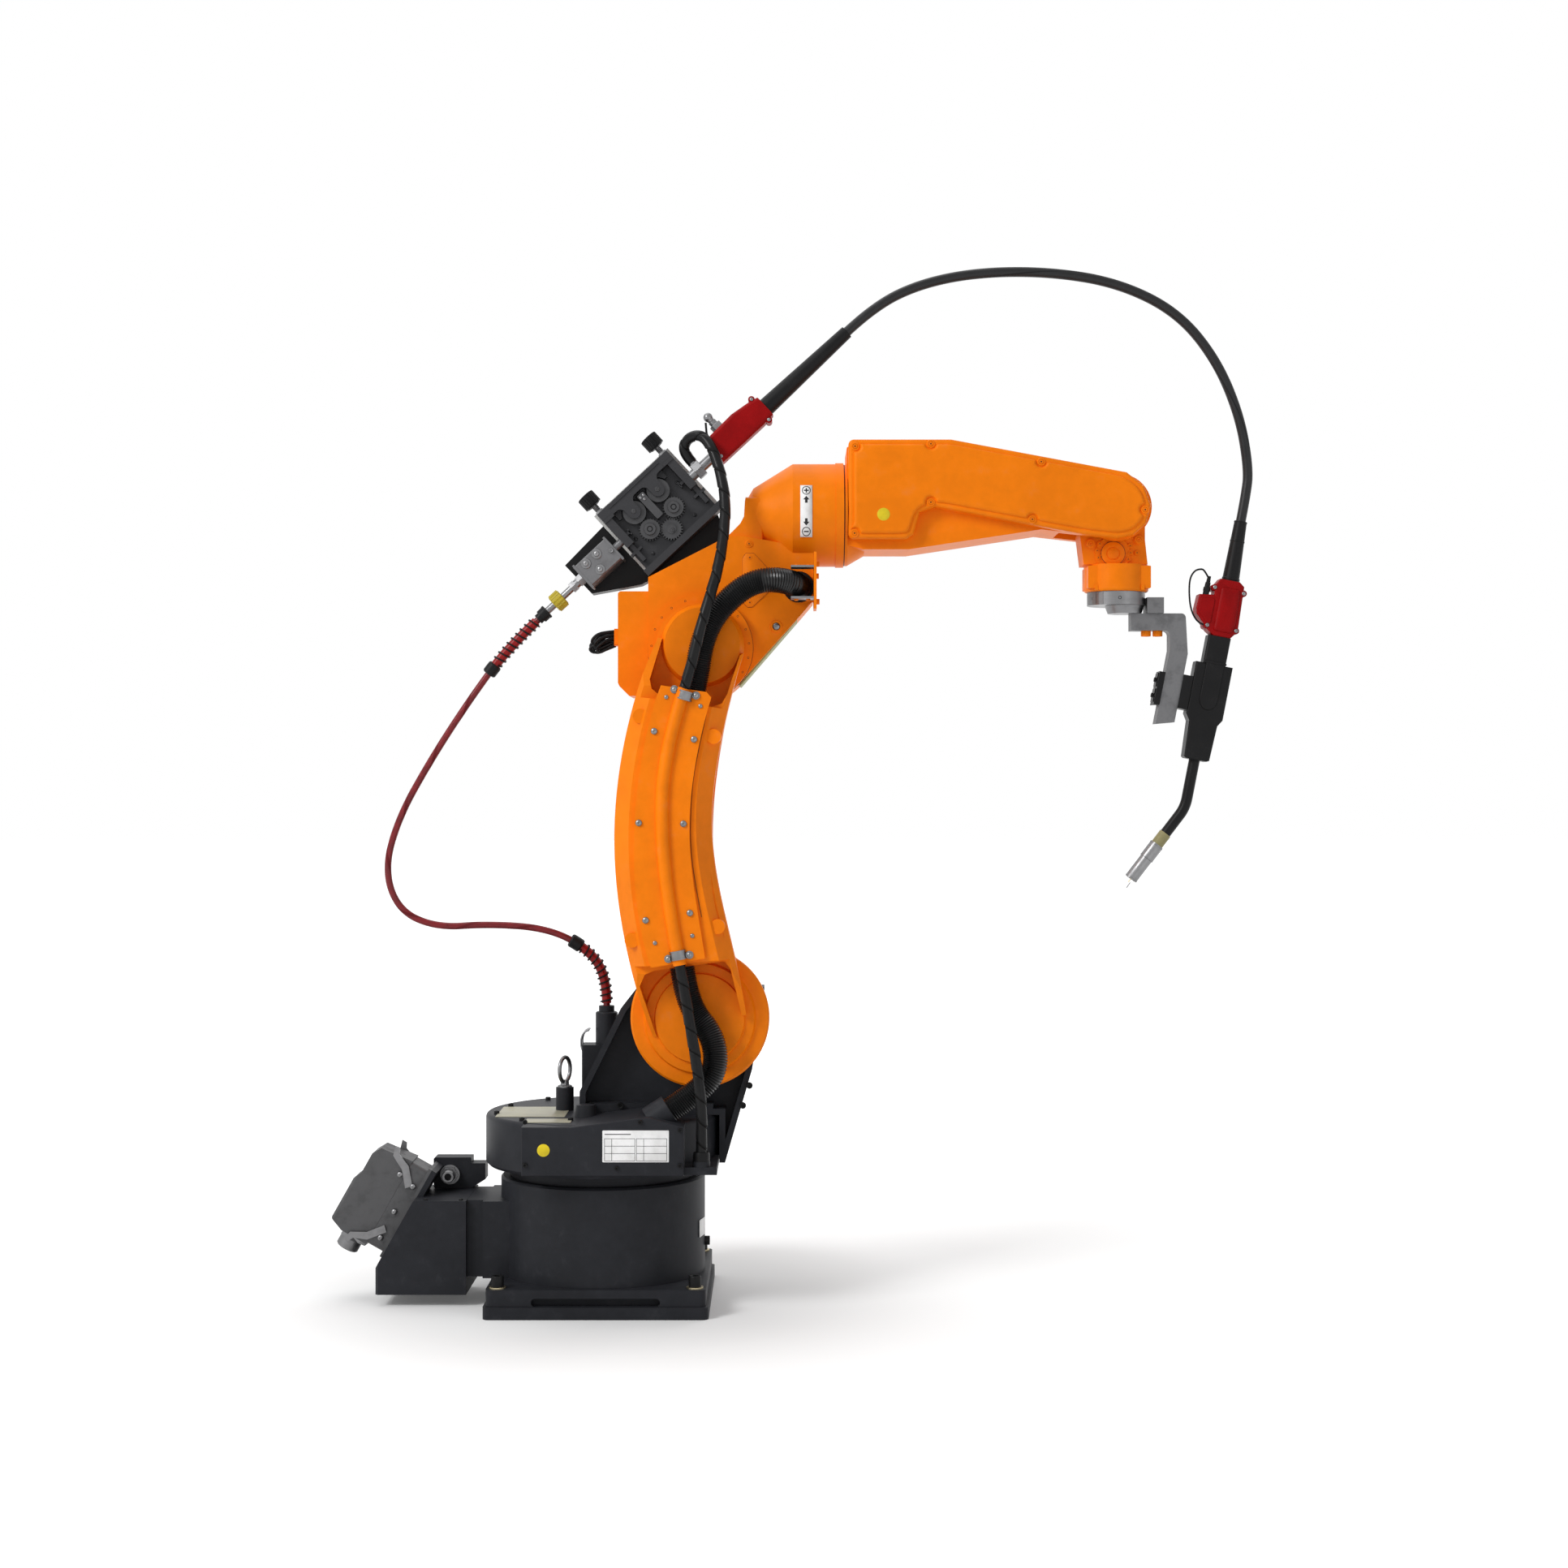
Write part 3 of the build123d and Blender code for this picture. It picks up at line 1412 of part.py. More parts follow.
connector_low = 43
with BuildPart() as torch_connector:
    with BuildSketch(torch_face(18)):
        with BuildLine():
            Polyline(
                (-10, connector_low),
                (16, connector_low),
                (25, connector_low + 12),
                (22, 124),
                (14, 130),
                (-16, 130),
                (-22, 119),
                (-21, 104),
                (-43, 101),
                (-44, 80),
                (-42, 71),
                (-20, 49),
                close=True,
            )
        make_face()
    extrude(amount=36)
    fillet(torch_connector.faces().sort_by(Axis.Y)[0].edges(), 3)
    fillet(torch_connector.faces().sort_by(Axis.Y)[-1].edges(), 3)
torch_connector.part.label = "torch_connector"

torch_boot_low = 130
torch_boot_high = 223
with BuildPart() as torch_boot:
    with BuildSketch(torch_plane(2, torch_boot_low)):
        Circle(13)
    with BuildSketch(torch_plane(0, torch_boot_high)):
        Circle(cable_radius + 2)
    loft()
torch_boot.part.label = "torch_boot"

# Swan neck, insulator, gas nozzle and contact tip
neck_radius_torch = 8.4
neck_start = -148
bend_start = -222
bend_angle = 26.4
neck_run = 50
insulator_length = 21
nozzle_length = 66
tip_length = 8
bend_down = (-math.sin(math.radians(bend_angle)), -math.cos(math.radians(bend_angle)))


def nozzle_plane(distance):
    """Plane across the nozzle axis, at a distance past the neck's bend, facing the tip."""
    spot = tilted_point(torch_face(0), bend_down[0] * distance, bend_start + bend_down[1] * distance)
    past = distance + 1
    ahead = tilted_point(torch_face(0), bend_down[0] * past, bend_start + bend_down[1] * past)
    return Plane(origin=spot, x_dir=(0, 1, 0), z_dir=ahead - spot)


with BuildPart() as swan_neck:
    with BuildLine() as neck_path:
        FilletPolyline(
            tilted_point(torch_face(0), 0, neck_start),
            tilted_point(torch_face(0), 0, bend_start),
            nozzle_plane(neck_run).origin,
            radius=60,
        )
    with BuildSketch(Plane(origin=neck_path.wire() @ 0, z_dir=neck_path.wire() % 0)):
        Circle(neck_radius_torch)
    sweep(path=neck_path.wire())
swan_neck.part.label = "swan_neck"

with BuildPart() as nozzle_insulator:
    with BuildSketch(nozzle_plane(neck_run)):
        Circle(9.5)
    extrude(amount=insulator_length)
nozzle_insulator.part.label = "nozzle_insulator"

nozzle_start = neck_run + insulator_length
with BuildPart() as gas_nozzle:
    with BuildSketch(nozzle_plane(nozzle_start)):
        Circle(11)
    extrude(amount=0.4 * nozzle_length)
    with BuildSketch(nozzle_plane(nozzle_start + 0.4 * nozzle_length)):
        Circle(10)
    extrude(amount=0.6 * nozzle_length)
    with Locations(nozzle_plane(nozzle_start + nozzle_length)):
        Hole(7.5, depth=0.6 * nozzle_length)
gas_nozzle.part.label = "gas_nozzle"

with BuildPart() as contact_tip:
    with BuildSketch(nozzle_plane(nozzle_start + 0.4 * nozzle_length)):
        Circle(4)
    extrude(amount=0.58 * nozzle_length)
    with BuildSketch(nozzle_plane(nozzle_start + 0.98 * nozzle_length)):
        Circle(0.8)
    extrude(amount=tip_length)
contact_tip.part.label = "contact_tip"


def corner_radii(route):
    """Radius of the arc at each inner point: 0.45 of its shorter run over tan of half the turn."""
    radii = []
    for before, point, after in zip(route, route[1:], route[2:]):
        arriving = Vector(*point) - Vector(*before)
        leaving = Vector(*after) - Vector(*point)
        half_turn = math.radians(arriving.get_angle(leaving)) / 2
        radii.append(0.45 * min(arriving.length, leaving.length) / math.tan(half_turn))
    return radii


def build_cord(name, route, radius):
    """Build a round cord of straight runs and tangent arcs along its route."""
    radii = corner_radii(route)
    with BuildPart() as cord:
        with BuildLine() as path:
            FilletPolyline(*route, radius=radii)
        centre_line = path.wire()
        with BuildSketch(Plane(origin=centre_line @ 0, z_dir=centre_line % 0)):
            Circle(radius)
        sweep(path=centre_line)
    cord.part.label = name
    ideal = math.pi * radius**2 * centre_line.length
    print(name, "length", round(centre_line.length, 1), "radii", [round(value) for value in radii])
    print(name, "volume over section times length", round(cord.part.volume / ideal, 4))
    return cord


low_conduit = build_cord("low_conduit", low_conduit_route, conduit_radius)
low_hose = build_cord("low_hose", low_hose_route, hose_radius)
high_conduit = build_cord("high_conduit", high_conduit_route, conduit_radius)
high_hose = build_cord("high_hose", high_hose_route, hose_radius)
liner_hose = build_cord("liner_hose", liner_route, liner_radius)
torch_cable = build_cord("torch_cable", torch_route, cable_radius)

os.makedirs("parts", exist_ok=True)
for piece in (
    base_casting,
    connector_box,
    connector_socket,
    connector_hood,
    hood_gland,
    hood_levers,
    gas_block,
    gas_fitting,
    turret_casting,
    turret_cover,
    lifting_eye,
    hose_socket,
    tower,
    shoulder_motor,
    upper_arm,
    arm_cover,
    arm_clamps,
    elbow_casting,
    elbow_motor_box,
    hose_bracket,
    hose_clips,
    feeder_bracket,
    feed_motor,
    feeder_insulator,
    feeder_plate,
    wire_guide,
    pinion_gear,
    drive_rolls,
    pressure_rolls,
    pressure_arms,
    tension_knobs,
    inlet_block,
    inlet_fitting,
    inlet_collar,
    liner_ferrule,
    gun_coupling,
    gun_connector,
    gun_boot,
    forearm_casting,
    forearm_cover,
    wrist_housing,
    tool_flange,
    mounting_block,
    torch_bracket,
    torch_clamp,
    torch_body,
    torch_connector,
    torch_boot,
    swan_neck,
    nozzle_insulator,
    gas_nozzle,
    contact_tip,
    low_conduit,
    low_hose,
    high_conduit,
    high_hose,
    liner_hose,
    torch_cable,
):
    export_step(piece.part, f"parts/{piece.part.label}.step")
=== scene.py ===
"""Looks of a six-axis arc-welding robot arm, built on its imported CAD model, in metres."""

import logging
import math
from dataclasses import dataclass
from enum import Enum
from typing import Any, Callable, Iterable, Sequence

import bmesh
import bpy
from mathutils import Matrix, Vector, geometry, kdtree

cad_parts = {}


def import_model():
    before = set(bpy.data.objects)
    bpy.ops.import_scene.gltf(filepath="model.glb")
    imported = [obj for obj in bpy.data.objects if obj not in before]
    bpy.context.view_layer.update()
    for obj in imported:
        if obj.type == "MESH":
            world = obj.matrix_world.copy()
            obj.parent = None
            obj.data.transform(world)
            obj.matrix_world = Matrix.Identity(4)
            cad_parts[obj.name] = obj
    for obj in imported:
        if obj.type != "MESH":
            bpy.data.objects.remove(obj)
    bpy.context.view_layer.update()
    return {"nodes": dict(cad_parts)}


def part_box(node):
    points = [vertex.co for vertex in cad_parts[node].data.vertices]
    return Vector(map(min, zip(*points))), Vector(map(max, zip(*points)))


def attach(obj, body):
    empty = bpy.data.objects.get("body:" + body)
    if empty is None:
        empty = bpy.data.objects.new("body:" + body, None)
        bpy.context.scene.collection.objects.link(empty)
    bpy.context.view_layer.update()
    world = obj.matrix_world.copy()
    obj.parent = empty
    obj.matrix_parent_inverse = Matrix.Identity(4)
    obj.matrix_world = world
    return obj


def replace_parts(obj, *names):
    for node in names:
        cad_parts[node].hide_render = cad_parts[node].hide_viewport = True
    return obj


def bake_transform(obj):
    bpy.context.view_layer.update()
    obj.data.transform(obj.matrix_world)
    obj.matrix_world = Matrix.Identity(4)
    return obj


logging.basicConfig(level=logging.INFO, format="%(message)s")
log = logging.getLogger("robot_arm")

Point = Sequence[float]
Points = tuple[Point, ...]
Colour = tuple[float, float, float]
Spots = list[tuple[Vector, Vector]]

MM = 0.001
NEAR = Vector((0, -1, 0))
UP = Vector((0, 0, 1))
AHEAD = Vector((1, 0, 0))
FIRST_SIDE = Vector((0.13, 1, 0.07))
WHITE = (1, 1, 1, 1)

ELBOW_X, ELBOW_Z = 150, 988
ROLL_Z = 1193
WRIST_X = 783
FLANGE_Z = 1064.7

IMAGE_CENTRE = 966.0
PIXEL = 0.00124
IMAGE_WIDTH = 2.3957
EYE_X, EYE_Z, EYE_DISTANCE = 0.2758, 0.783, 3.725


class Body(Enum):
    """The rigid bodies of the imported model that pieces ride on."""

    BASE = "base"
    TURRET = "turret"
    ARM = "arm"
    ELBOW = "elbow"
    FOREARM = "forearm"
    WRIST = "wrist"
    TOOL = "tool"


def mm(*values: float) -> Vector:
    """Return a point given in millimetres as a vector in metres."""
    return Vector([value * MM for value in values])


def at(*values: float) -> Matrix:
    """Return an unturned placement at a point in millimetres."""
    return Matrix.Translation(mm(*values))


def polar(reach: float, angle: float) -> Vector:
    """Return the flat point at a reach and an angle in radians."""
    return Vector((reach * math.cos(angle), reach * math.sin(angle)))


def turns(count: int, shift: float = 0.0) -> list[float]:
    """Return equal steps of angle round a circle, moved on by a share of a step."""
    return [math.tau * (step + shift) / count for step in range(count)]


def seen(px: float, py: float, depth: float) -> Vector:
    """Place a point of the photograph in the world.

    Args:
        px: Column in the photograph's frame.
        py: Row in the photograph's frame.
        depth: The point's y in millimetres.

    Returns:
        The point in metres.
    """
    near = 1 + depth * MM / EYE_DISTANCE
    x = (px - IMAGE_CENTRE) * PIXEL * near + EYE_X
    z = (IMAGE_CENTRE - py) * PIXEL * near + EYE_Z
    return Vector((x, depth * MM, z))


def near_spots(depth: float, *pixels: Point) -> Spots:
    """Return spots on a face toward the camera, from columns and rows of the photograph."""
    return [(seen(px, py, depth), NEAR) for px, py in pixels]


def aimed(aim: Vector, points: Iterable[Point]) -> Spots:
    """Return spots at points in millimetres that all face one way."""
    return [(mm(*point), aim) for point in points]


def raised(spots: Spots, lift: float) -> Spots:
    """Return spots moved out along their aims."""
    return [(spot + aim * lift, aim) for spot, aim in spots]


def frame_at(origin: Vector, normal: Vector, upward: Vector = UP) -> Matrix:
    """Make a placement whose local z lies along a normal.

    Args:
        origin: Where the local origin goes.
        normal: Direction of the local z axis.
        upward: Direction that the local y axis leans toward.

    Returns:
        The 4 by 4 placement matrix.
    """
    z = normal.normalized()
    if abs(z.dot(upward)) > 0.99:
        upward = AHEAD
    x = upward.cross(z).normalized()
    turn = Matrix((x, z.cross(x), z)).transposed().to_4x4()
    return Matrix.Translation(origin) @ turn


def carried_frames(path: Sequence[Vector]) -> Spots:
    """Carry two cross directions along a path without twist.

    Args:
        path: Points of the path.

    Returns:
        The two directions at each point.
    """
    frames = []
    across = None
    for index in range(len(path)):
        run = path[min(index + 1, len(path) - 1)] - path[max(index - 1, 0)]
        run.normalize()
        if across is None:
            across = run.cross(FIRST_SIDE).normalized()
        across = (across - run * across.dot(run)).normalized()
        frames.append((across, run.cross(across)))
    return frames


def line_points(route: Sequence[Point]) -> list[Vector]:
    """Draw a smooth NURBS line along control points.

    Args:
        route: Control points in metres.

    Returns:
        The points of the line.
    """
    data = bpy.data.curves.new("route", "CURVE")
    data.dimensions = "3D"
    spline = data.splines.new("NURBS")
    spline.points.add(len(route) - 1)
    for point, spot in zip(spline.points, route):
        point.co = (*spot, 1.0)
    spline.order_u = 3
    spline.use_endpoint_u = True
    spline.resolution_u = 16
    curve = link_object("route", data)
    mesh = bpy.data.meshes.new_from_object(curve)
    points = [vertex.co.copy() for vertex in mesh.vertices]
    bpy.data.objects.remove(curve)
    bpy.data.meshes.remove(mesh)
    bpy.data.curves.remove(data)
    return points


def path_length(path: Sequence[Vector]) -> float:
    """Return the length along a path of points."""
    return sum((after - before).length for before, after in zip(path, path[1:]))


def even_points(path: Sequence[Vector], spacing: float) -> list[Vector]:
    """Space points evenly along a path.

    Args:
        path: Points of the path.
        spacing: Distance wanted between points.

    Returns:
        The even points, both ends included.
    """
    count = max(2, round(path_length(path) / spacing))
    step = path_length(path) / count
    points = [path[0].copy()]
    gone = 0.0
    for before, after in zip(path, path[1:]):
        run = (after - before).length
        while len(points) < count and gone + run >= step * len(points) - 1e-9:
            points.append(before.lerp(after, (step * len(points) - gone) / run))
        gone += run
    return [*points, path[-1].copy()]


def rectangle(width: float, height: float) -> list[Vector]:
    """Return the corners of a rectangle about its centre."""
    x, y = width / 2, height / 2
    return [Vector(corner) for corner in ((-x, -y), (x, -y), (x, y), (-x, y))]


def rounded_outline(width: float, height: float, radius: float, steps: int = 5) -> list[Vector]:
    """List the points of a rounded rectangle about its centre.

    Args:
        width: Size along x.
        height: Size along y.
        radius: Radius of the corners.
        steps: Number of points for each corner, less one.

    Returns:
        The points, anticlockwise.
    """
    x, y = width / 2 - radius, height / 2 - radius
    return [
        Vector(middle) + polar(radius, math.radians(90 * (side + step / steps)))
        for side, middle in enumerate(((x, y), (-x, y), (-x, -y), (x, -y)))
        for step in range(steps + 1)
    ]


def hexagon(radius: float) -> list[Vector]:
    """Return the six corners of a hexagon."""
    return [polar(radius, angle) for angle in turns(6)]


def ribbed_outline(radius: float, inner: float, ribs: int) -> list[Vector]:
    """Return the outline of a knurled wheel, from its radius over and between the ribs."""
    shares = ((0.0, inner), (0.18, radius), (0.52, radius), (0.7, inner))
    return [polar(reach, math.tau * (rib + share) / ribs) for rib in range(ribs) for share, reach in shares]


def half_ring(outer: float, inner: float, steps: int = 14) -> list[Vector]:
    """Return the outline of half a ring, open towards the local -y side."""
    angles = [math.radians(-6 + 192 * step / steps) for step in range(steps + 1)]
    return [polar(outer, angle) for angle in angles] + [polar(inner, angle) for angle in reversed(angles)]


def soften(corners: Sequence[Point], radius: float, steps: int = 6) -> list[Vector]:
    """Round the corners of an outline.

    Args:
        corners: Corner points in order.
        radius: How far from each corner the rounding starts.
        steps: Number of points for each corner, less one.

    Returns:
        The points of the rounded outline.
    """
    points = []
    line = [Vector(corner) for corner in corners]
    for before, here, after in zip(line[-1:] + line, line, line[1:] + line[:1]):
        back, ahead = before - here, after - here
        start = here + back.normalized() * min(radius, 0.45 * back.length)
        stop = here + ahead.normalized() * min(radius, 0.45 * ahead.length)
        for share in (step / steps for step in range(steps + 1)):
            points.append(start * (1 - share) ** 2 + here * (2 * share * (1 - share)) + stop * share**2)
    return points


def resample(outline: Sequence[Vector], spacing: float) -> list[Vector]:
    """Return evenly spaced points round a closed outline."""
    closed = [point.to_3d() for point in (*outline, outline[0])]
    return [point.to_2d() for point in even_points(closed, spacing)[:-1]]


def inward_at(outline: Sequence[Vector], index: int) -> tuple[Vector, Vector]:
    """Return the run and the inward direction at a point of an anticlockwise outline."""
    run = (outline[(index + 1) % len(outline)] - outline[index - 1]).normalized()
    return run, Vector((-run.y, run.x))


def inset(outline: Sequence[Vector], distance: float) -> list[Vector]:
    """Move every point of an anticlockwise outline inwards."""
    return [point + inward_at(outline, index)[1] * distance for index, point in enumerate(outline)]


def eased(outline: Sequence[Vector], rounds: int) -> list[Vector]:
    """Smooth an outline a little by drawing each point towards its neighbours.

    Args:
        outline: Points of the outline.
        rounds: How many times to do so.

    Returns:
        The smoothed outline.
    """
    line = list(outline)
    for _ in range(rounds):
        line = [
            (before + here * 2 + after) / 4
            for before, here, after in zip(line[-1:] + line, line, line[1:] + line[:1])
        ]
    return line


def scalloped(outline: Sequence[Vector], spots: Sequence[Vector], radius: float) -> list[Vector]:
    """Cut round bites into an anticlockwise outline beside its screws.

    Args:
        outline: Dense points of the outline.
        spots: Centres of the screws, near the outline.
        radius: Radius of each bite.

    Returns:
        The outline with its bites.
    """
    points = list(outline)
    for spot in spots:
        nearest = min(range(len(outline)), key=lambda index: (outline[index] - spot).length)
        run, inward = inward_at(outline, nearest)
        for index, point in enumerate(outline):
            slide = (point - spot).dot(run)
            if abs(slide) < radius and (point - spot).length < 1.6 * radius:
                points[index] = spot + run * slide + inward * math.sqrt(radius**2 - slide**2)
    return points


def coil(path: Sequence[Vector], radius: float, pitch: float) -> list[Vector]:
    """Wind a spring round a path.

    Args:
        path: Points of the spring's centre line.
        radius: Radius of the spring.
        pitch: Length of the path for one turn.

    Returns:
        The centre line of the wire.
    """
    dense = even_points(path, pitch / 14)
    points = []
    for index, (spot, (first, second)) in enumerate(zip(dense, carried_frames(dense))):
        side, over = polar(radius, math.tau * path_length(dense[: index + 1]) / pitch)
        points.append(spot + first * side + second * over)
    return points


def part_of_path(path: Sequence[Vector], start: float, stop: float, spacing: float = 0.002) -> list[Vector]:
    """Return evenly spaced points between two distances along a path."""
    dense = even_points(path, spacing)
    return dense[round(start / spacing) : round(stop / spacing) + 1]


def link_object(name: str, data: bpy.types.ID) -> bpy.types.Object:
    """Put an object into the scene, at the origin.

    Args:
        name: Its name.
        data: Its mesh, curve, lamp or camera.

    Returns:
        The object.
    """
    thing = bpy.data.objects.new(name, data)
    bpy.context.scene.collection.objects.link(thing)
    return thing


class Shape:
    """A mesh in the making. Each form that it adds returns the shape, so forms can follow on."""

    weld = 1e-6
    bevel_share = 0.3
    pillow_steps = 5
    pillow_clear = 0.97
    pillow_rim = 1.2
    pillow_foot = 0.0004

    def __init__(self) -> None:
        """Start with an empty mesh."""
        self.work = bmesh.new()

    def ring(self, points: Iterable[Point]) -> list[bmesh.types.BMVert]:
        """Add loose corners at points."""
        return [self.work.verts.new(point) for point in points]

    def skin(self, rings: Sequence[list[bmesh.types.BMVert]]) -> "Shape":
        """Join rings of corners in order, and close both ends that aren't points.

        Args:
            rings: Rings with equal numbers of corners.

        Returns:
            The shape.
        """
        for low, high in zip(rings, rings[1:]):
            for side in zip(low, low[1:] + low[:1], high[1:] + high[:1], high):
                corners = list(dict.fromkeys(side))
                if len(corners) > 2:
                    self.work.faces.new(corners)
        for end in (rings[0], rings[-1]):
            if len(set(end)) > 2:
                self.work.faces.new(end)
        return self

    def lathe(self, place: Matrix, profile: Sequence[Point], steps: int = 32) -> "Shape":
        """Add a turned form.

        Args:
            place: Placement whose local z is the turning axis.
            profile: Radius and height of each ring, and the number of corners where it has them.
            steps: Number of divisions round the axis.

        Returns:
            The shape.
        """
        rings = []
        for radius, height, *corners in profile:
            if not radius:
                rings.append(self.ring([place @ Vector((0, 0, height))]) * steps)
                continue
            ring = []
            for angle in turns(steps):
                reach = radius
                if corners:
                    part = math.tau / corners[0]
                    reach *= math.cos(part / 2) / math.cos((angle % part) - part / 2)
                ring.append(place @ Vector((*polar(reach, angle), height)))
            rings.append(self.ring(ring))
        return self.skin(rings)

    def prism(self, place: Matrix, outline: Sequence[Point], height: float, bevel: float = 0.0) -> "Shape":
        """Add a flat form.

        Args:
            place: Placement whose local z is the form's thickness.
            outline: Corner points in the local x and y.
            height: Thickness along the local z.
            bevel: Width of the softened top edge.

        Returns:
            The shape.
        """
        flat = [Vector(point[:2]) for point in outline]
        centre = sum(flat, Vector((0, 0))) / len(flat)
        levels = [(0.0, 0.0), (height, 0.0)]
        if bevel:
            slope = self.bevel_share * bevel
            levels[1:] = [(height - bevel, 0.0), (height - slope, slope), (height, bevel)]
        rings = []
        for level, back in levels:
            ring = []
            for spot in flat:
                arm = spot - centre
                moved = spot - arm.normalized() * back if arm.length > back else spot
                ring.append(place @ Vector((*moved, level)))
            rings.append(self.ring(ring))
        return self.skin(rings)

    def plate(self, place: Matrix, size: Point, radius: float, height: float, bevel: float = 0.0) -> "Shape":
        """Add a flat plate with rounded corners, from its width and height."""
        return self.prism(place, rounded_outline(*size, radius), height, bevel)

    def bars(self, place: Matrix, boxes: Iterable[Point], height: float) -> "Shape":
        """Add flat bars.

        Args:
            place: Placement whose local z is their thickness.
            boxes: Each bar's centre in x and y, its width and its height.
            height: Thickness along the local z.

        Returns:
            The shape.
        """
        for x, y, *size in boxes:
            self.prism(place @ Matrix.Translation((x, y, 0)), rectangle(*size), height)
        return self

    def tube(self, path: Sequence[Vector], radii: float | list[float], steps: int = 12) -> "Shape":
        """Add a round tube along a path.

        Args:
            path: Points of the centre line.
            radii: One radius, or a list with one for each point.
            steps: Number of divisions round the tube.

        Returns:
            The shape.
        """
        radii = radii if isinstance(radii, list) else [radii] * len(path)
        rings = []
        for spot, radius, (across, over) in zip(path, radii, carried_frames(path)):
            sides = [across * math.cos(angle) + over * math.sin(angle) for angle in turns(steps)]
            rings.append(self.ring(spot + side * radius for side in sides))
        return self.skin(rings)

    def pillow(self, place: Matrix, outline: Sequence[Vector], height: float, shoulder: float) -> "Shape":
        """Add a plate whose top edge is rounded over.

        Args:
            place: Placement whose local z is the plate's thickness.
            outline: Anticlockwise outline in the local x and y.
            height: Thickness of the plate.
            shoulder: Width of the rounded edge.

        Returns:
            The shape.
        """
        count = len(outline)
        points = list(outline)
        levels = [0.0] * count
        edge = kdtree.KDTree(count)
        for index, point in enumerate(outline):
            edge.insert(point.to_3d(), index)
        edge.balance()
        levels_up = [math.pi / 2 * step / self.pillow_steps for step in range(1, self.pillow_steps + 1)]
        widths = [1.0] * self.pillow_steps + [self.pillow_rim]
        for turn, wider in zip([*levels_up, levels_up[-1]], widths):
            reach = shoulder * (1 - math.cos(turn)) * wider
            for point in inset(outline, reach):
                if edge.find(point.to_3d())[2] > self.pillow_clear * reach:
                    points.append(point)
                    levels.append(height * math.sin(turn))
        rim = [(index, (index + 1) % count) for index in range(count)]
        spots, _, faces, origins, _, _ = geometry.delaunay_2d_cdt(points, rim, [], 1, 1e-7)
        tops = [levels[origin[0]] if origin else height for origin in origins]
        corners = self.ring(place @ Vector((*spot, level)) for spot, level in zip(spots, tops))
        for face in faces:
            self.work.faces.new([corners[index] for index in face])
        top = [corners[origins.index([index])] for index in range(count)]
        foot = self.ring(place @ Vector((*point, -self.pillow_foot)) for point in outline)
        for side in zip(foot, foot[1:] + foot[:1], top[1:] + top[:1], top):
            self.work.faces.new(side)
        self.work.faces.new(foot)
        return self

    def piece(self, name: str, smooth: float = 35) -> bpy.types.Object:
        """Make a soft-shaded piece with outward faces, which ends the shape.

        Args:
            name: Name of the piece.
            smooth: Angle in degrees over which an edge is sharp.

        Returns:
            The piece.
        """
        bmesh.ops.remove_doubles(self.work, verts=self.work.verts, dist=self.weld)
        bmesh.ops.recalc_face_normals(self.work, faces=self.work.faces)
        mesh = bpy.data.meshes.new(name)
        self.work.to_mesh(mesh)
        self.work.free()
        mesh.shade_smooth()
        mesh.set_sharp_from_angle(angle=math.radians(smooth))
        return link_object(name, mesh)


def operator(operation: str, swapped: bool = False) -> Callable[["Value", Any], "Value"]:
    """Make a method that adds a Math node.

    Args:
        operation: What the node works out.
        swapped: Whether its two inputs swap places, for a reflected form.

    Returns:
        The method.
    """

    def apply(self: "Value", other: Any) -> "Value":
        """Add the Math node and return its result."""
        inputs = {int(swapped): self, int(not swapped): other}
        return self.nodes.add("ShaderNodeMath", {"operation": operation}, inputs)

    return apply


class Value:
    """A node socket that Python arithmetic adds Math nodes to."""

    __add__, __radd__ = operator("ADD"), operator("ADD", True)
    __sub__, __rsub__ = operator("SUBTRACT"), operator("SUBTRACT", True)
    __mul__, __rmul__ = operator("MULTIPLY"), operator("MULTIPLY", True)
    modulo, least, most = operator("FLOORED_MODULO"), operator("MINIMUM"), operator("MAXIMUM")

    def __init__(self, nodes: "Nodes", socket: bpy.types.NodeSocket) -> None:
        """Wrap a socket of a node tree."""
        self.nodes = nodes
        self.socket = socket

    def other(self, output: int | str) -> "Value":
        """Return another output of the same node."""
        return Value(self.nodes, self.socket.node.outputs[output])

    def clamp(self) -> "Value":
        """Keep between 0 and 1."""
        return self.most(0.0).least(1.0)


class Nodes:
    """A node tree with one short way to add nodes."""

    def __init__(self, tree: bpy.types.NodeTree) -> None:
        """Wrap a tree."""
        self.tree = tree

    def add(self, kind: str, settings: dict | None = None, inputs: dict | None = None, out: Any = 0) -> Value:
        """Add a node.

        Args:
            kind: The node's type name.
            settings: Properties, which are set before the sockets are read.
            inputs: Socket name or number to a value, number, colour or vector.
            out: Name or number of the output to return.

        Returns:
            The chosen output.
        """
        node = self.tree.nodes.new(kind)
        for key, setting in (settings or {}).items():
            setattr(node, key, setting)
        for key, given in (inputs or {}).items():
            self.feed(node.inputs[key], given)
        return Value(self, node.outputs[out])

    def feed(self, socket: bpy.types.NodeSocket, given: Any) -> None:
        """Link or set one input socket.

        Args:
            socket: The input.
            given: A value of the tree, or a number, colour or vector.
        """
        if isinstance(given, Value):
            self.tree.links.new(given.socket, socket)
        else:
            socket.default_value = given

    def background_rays(self) -> Value:
        """Return 1 for the rays that look at the background: camera, mirror and glass rays."""
        rays = self.add("ShaderNodeLightPath", out="Is Camera Ray")
        return rays.most(rays.other("Is Glossy Ray")).most(rays.other("Is Transmission Ray"))


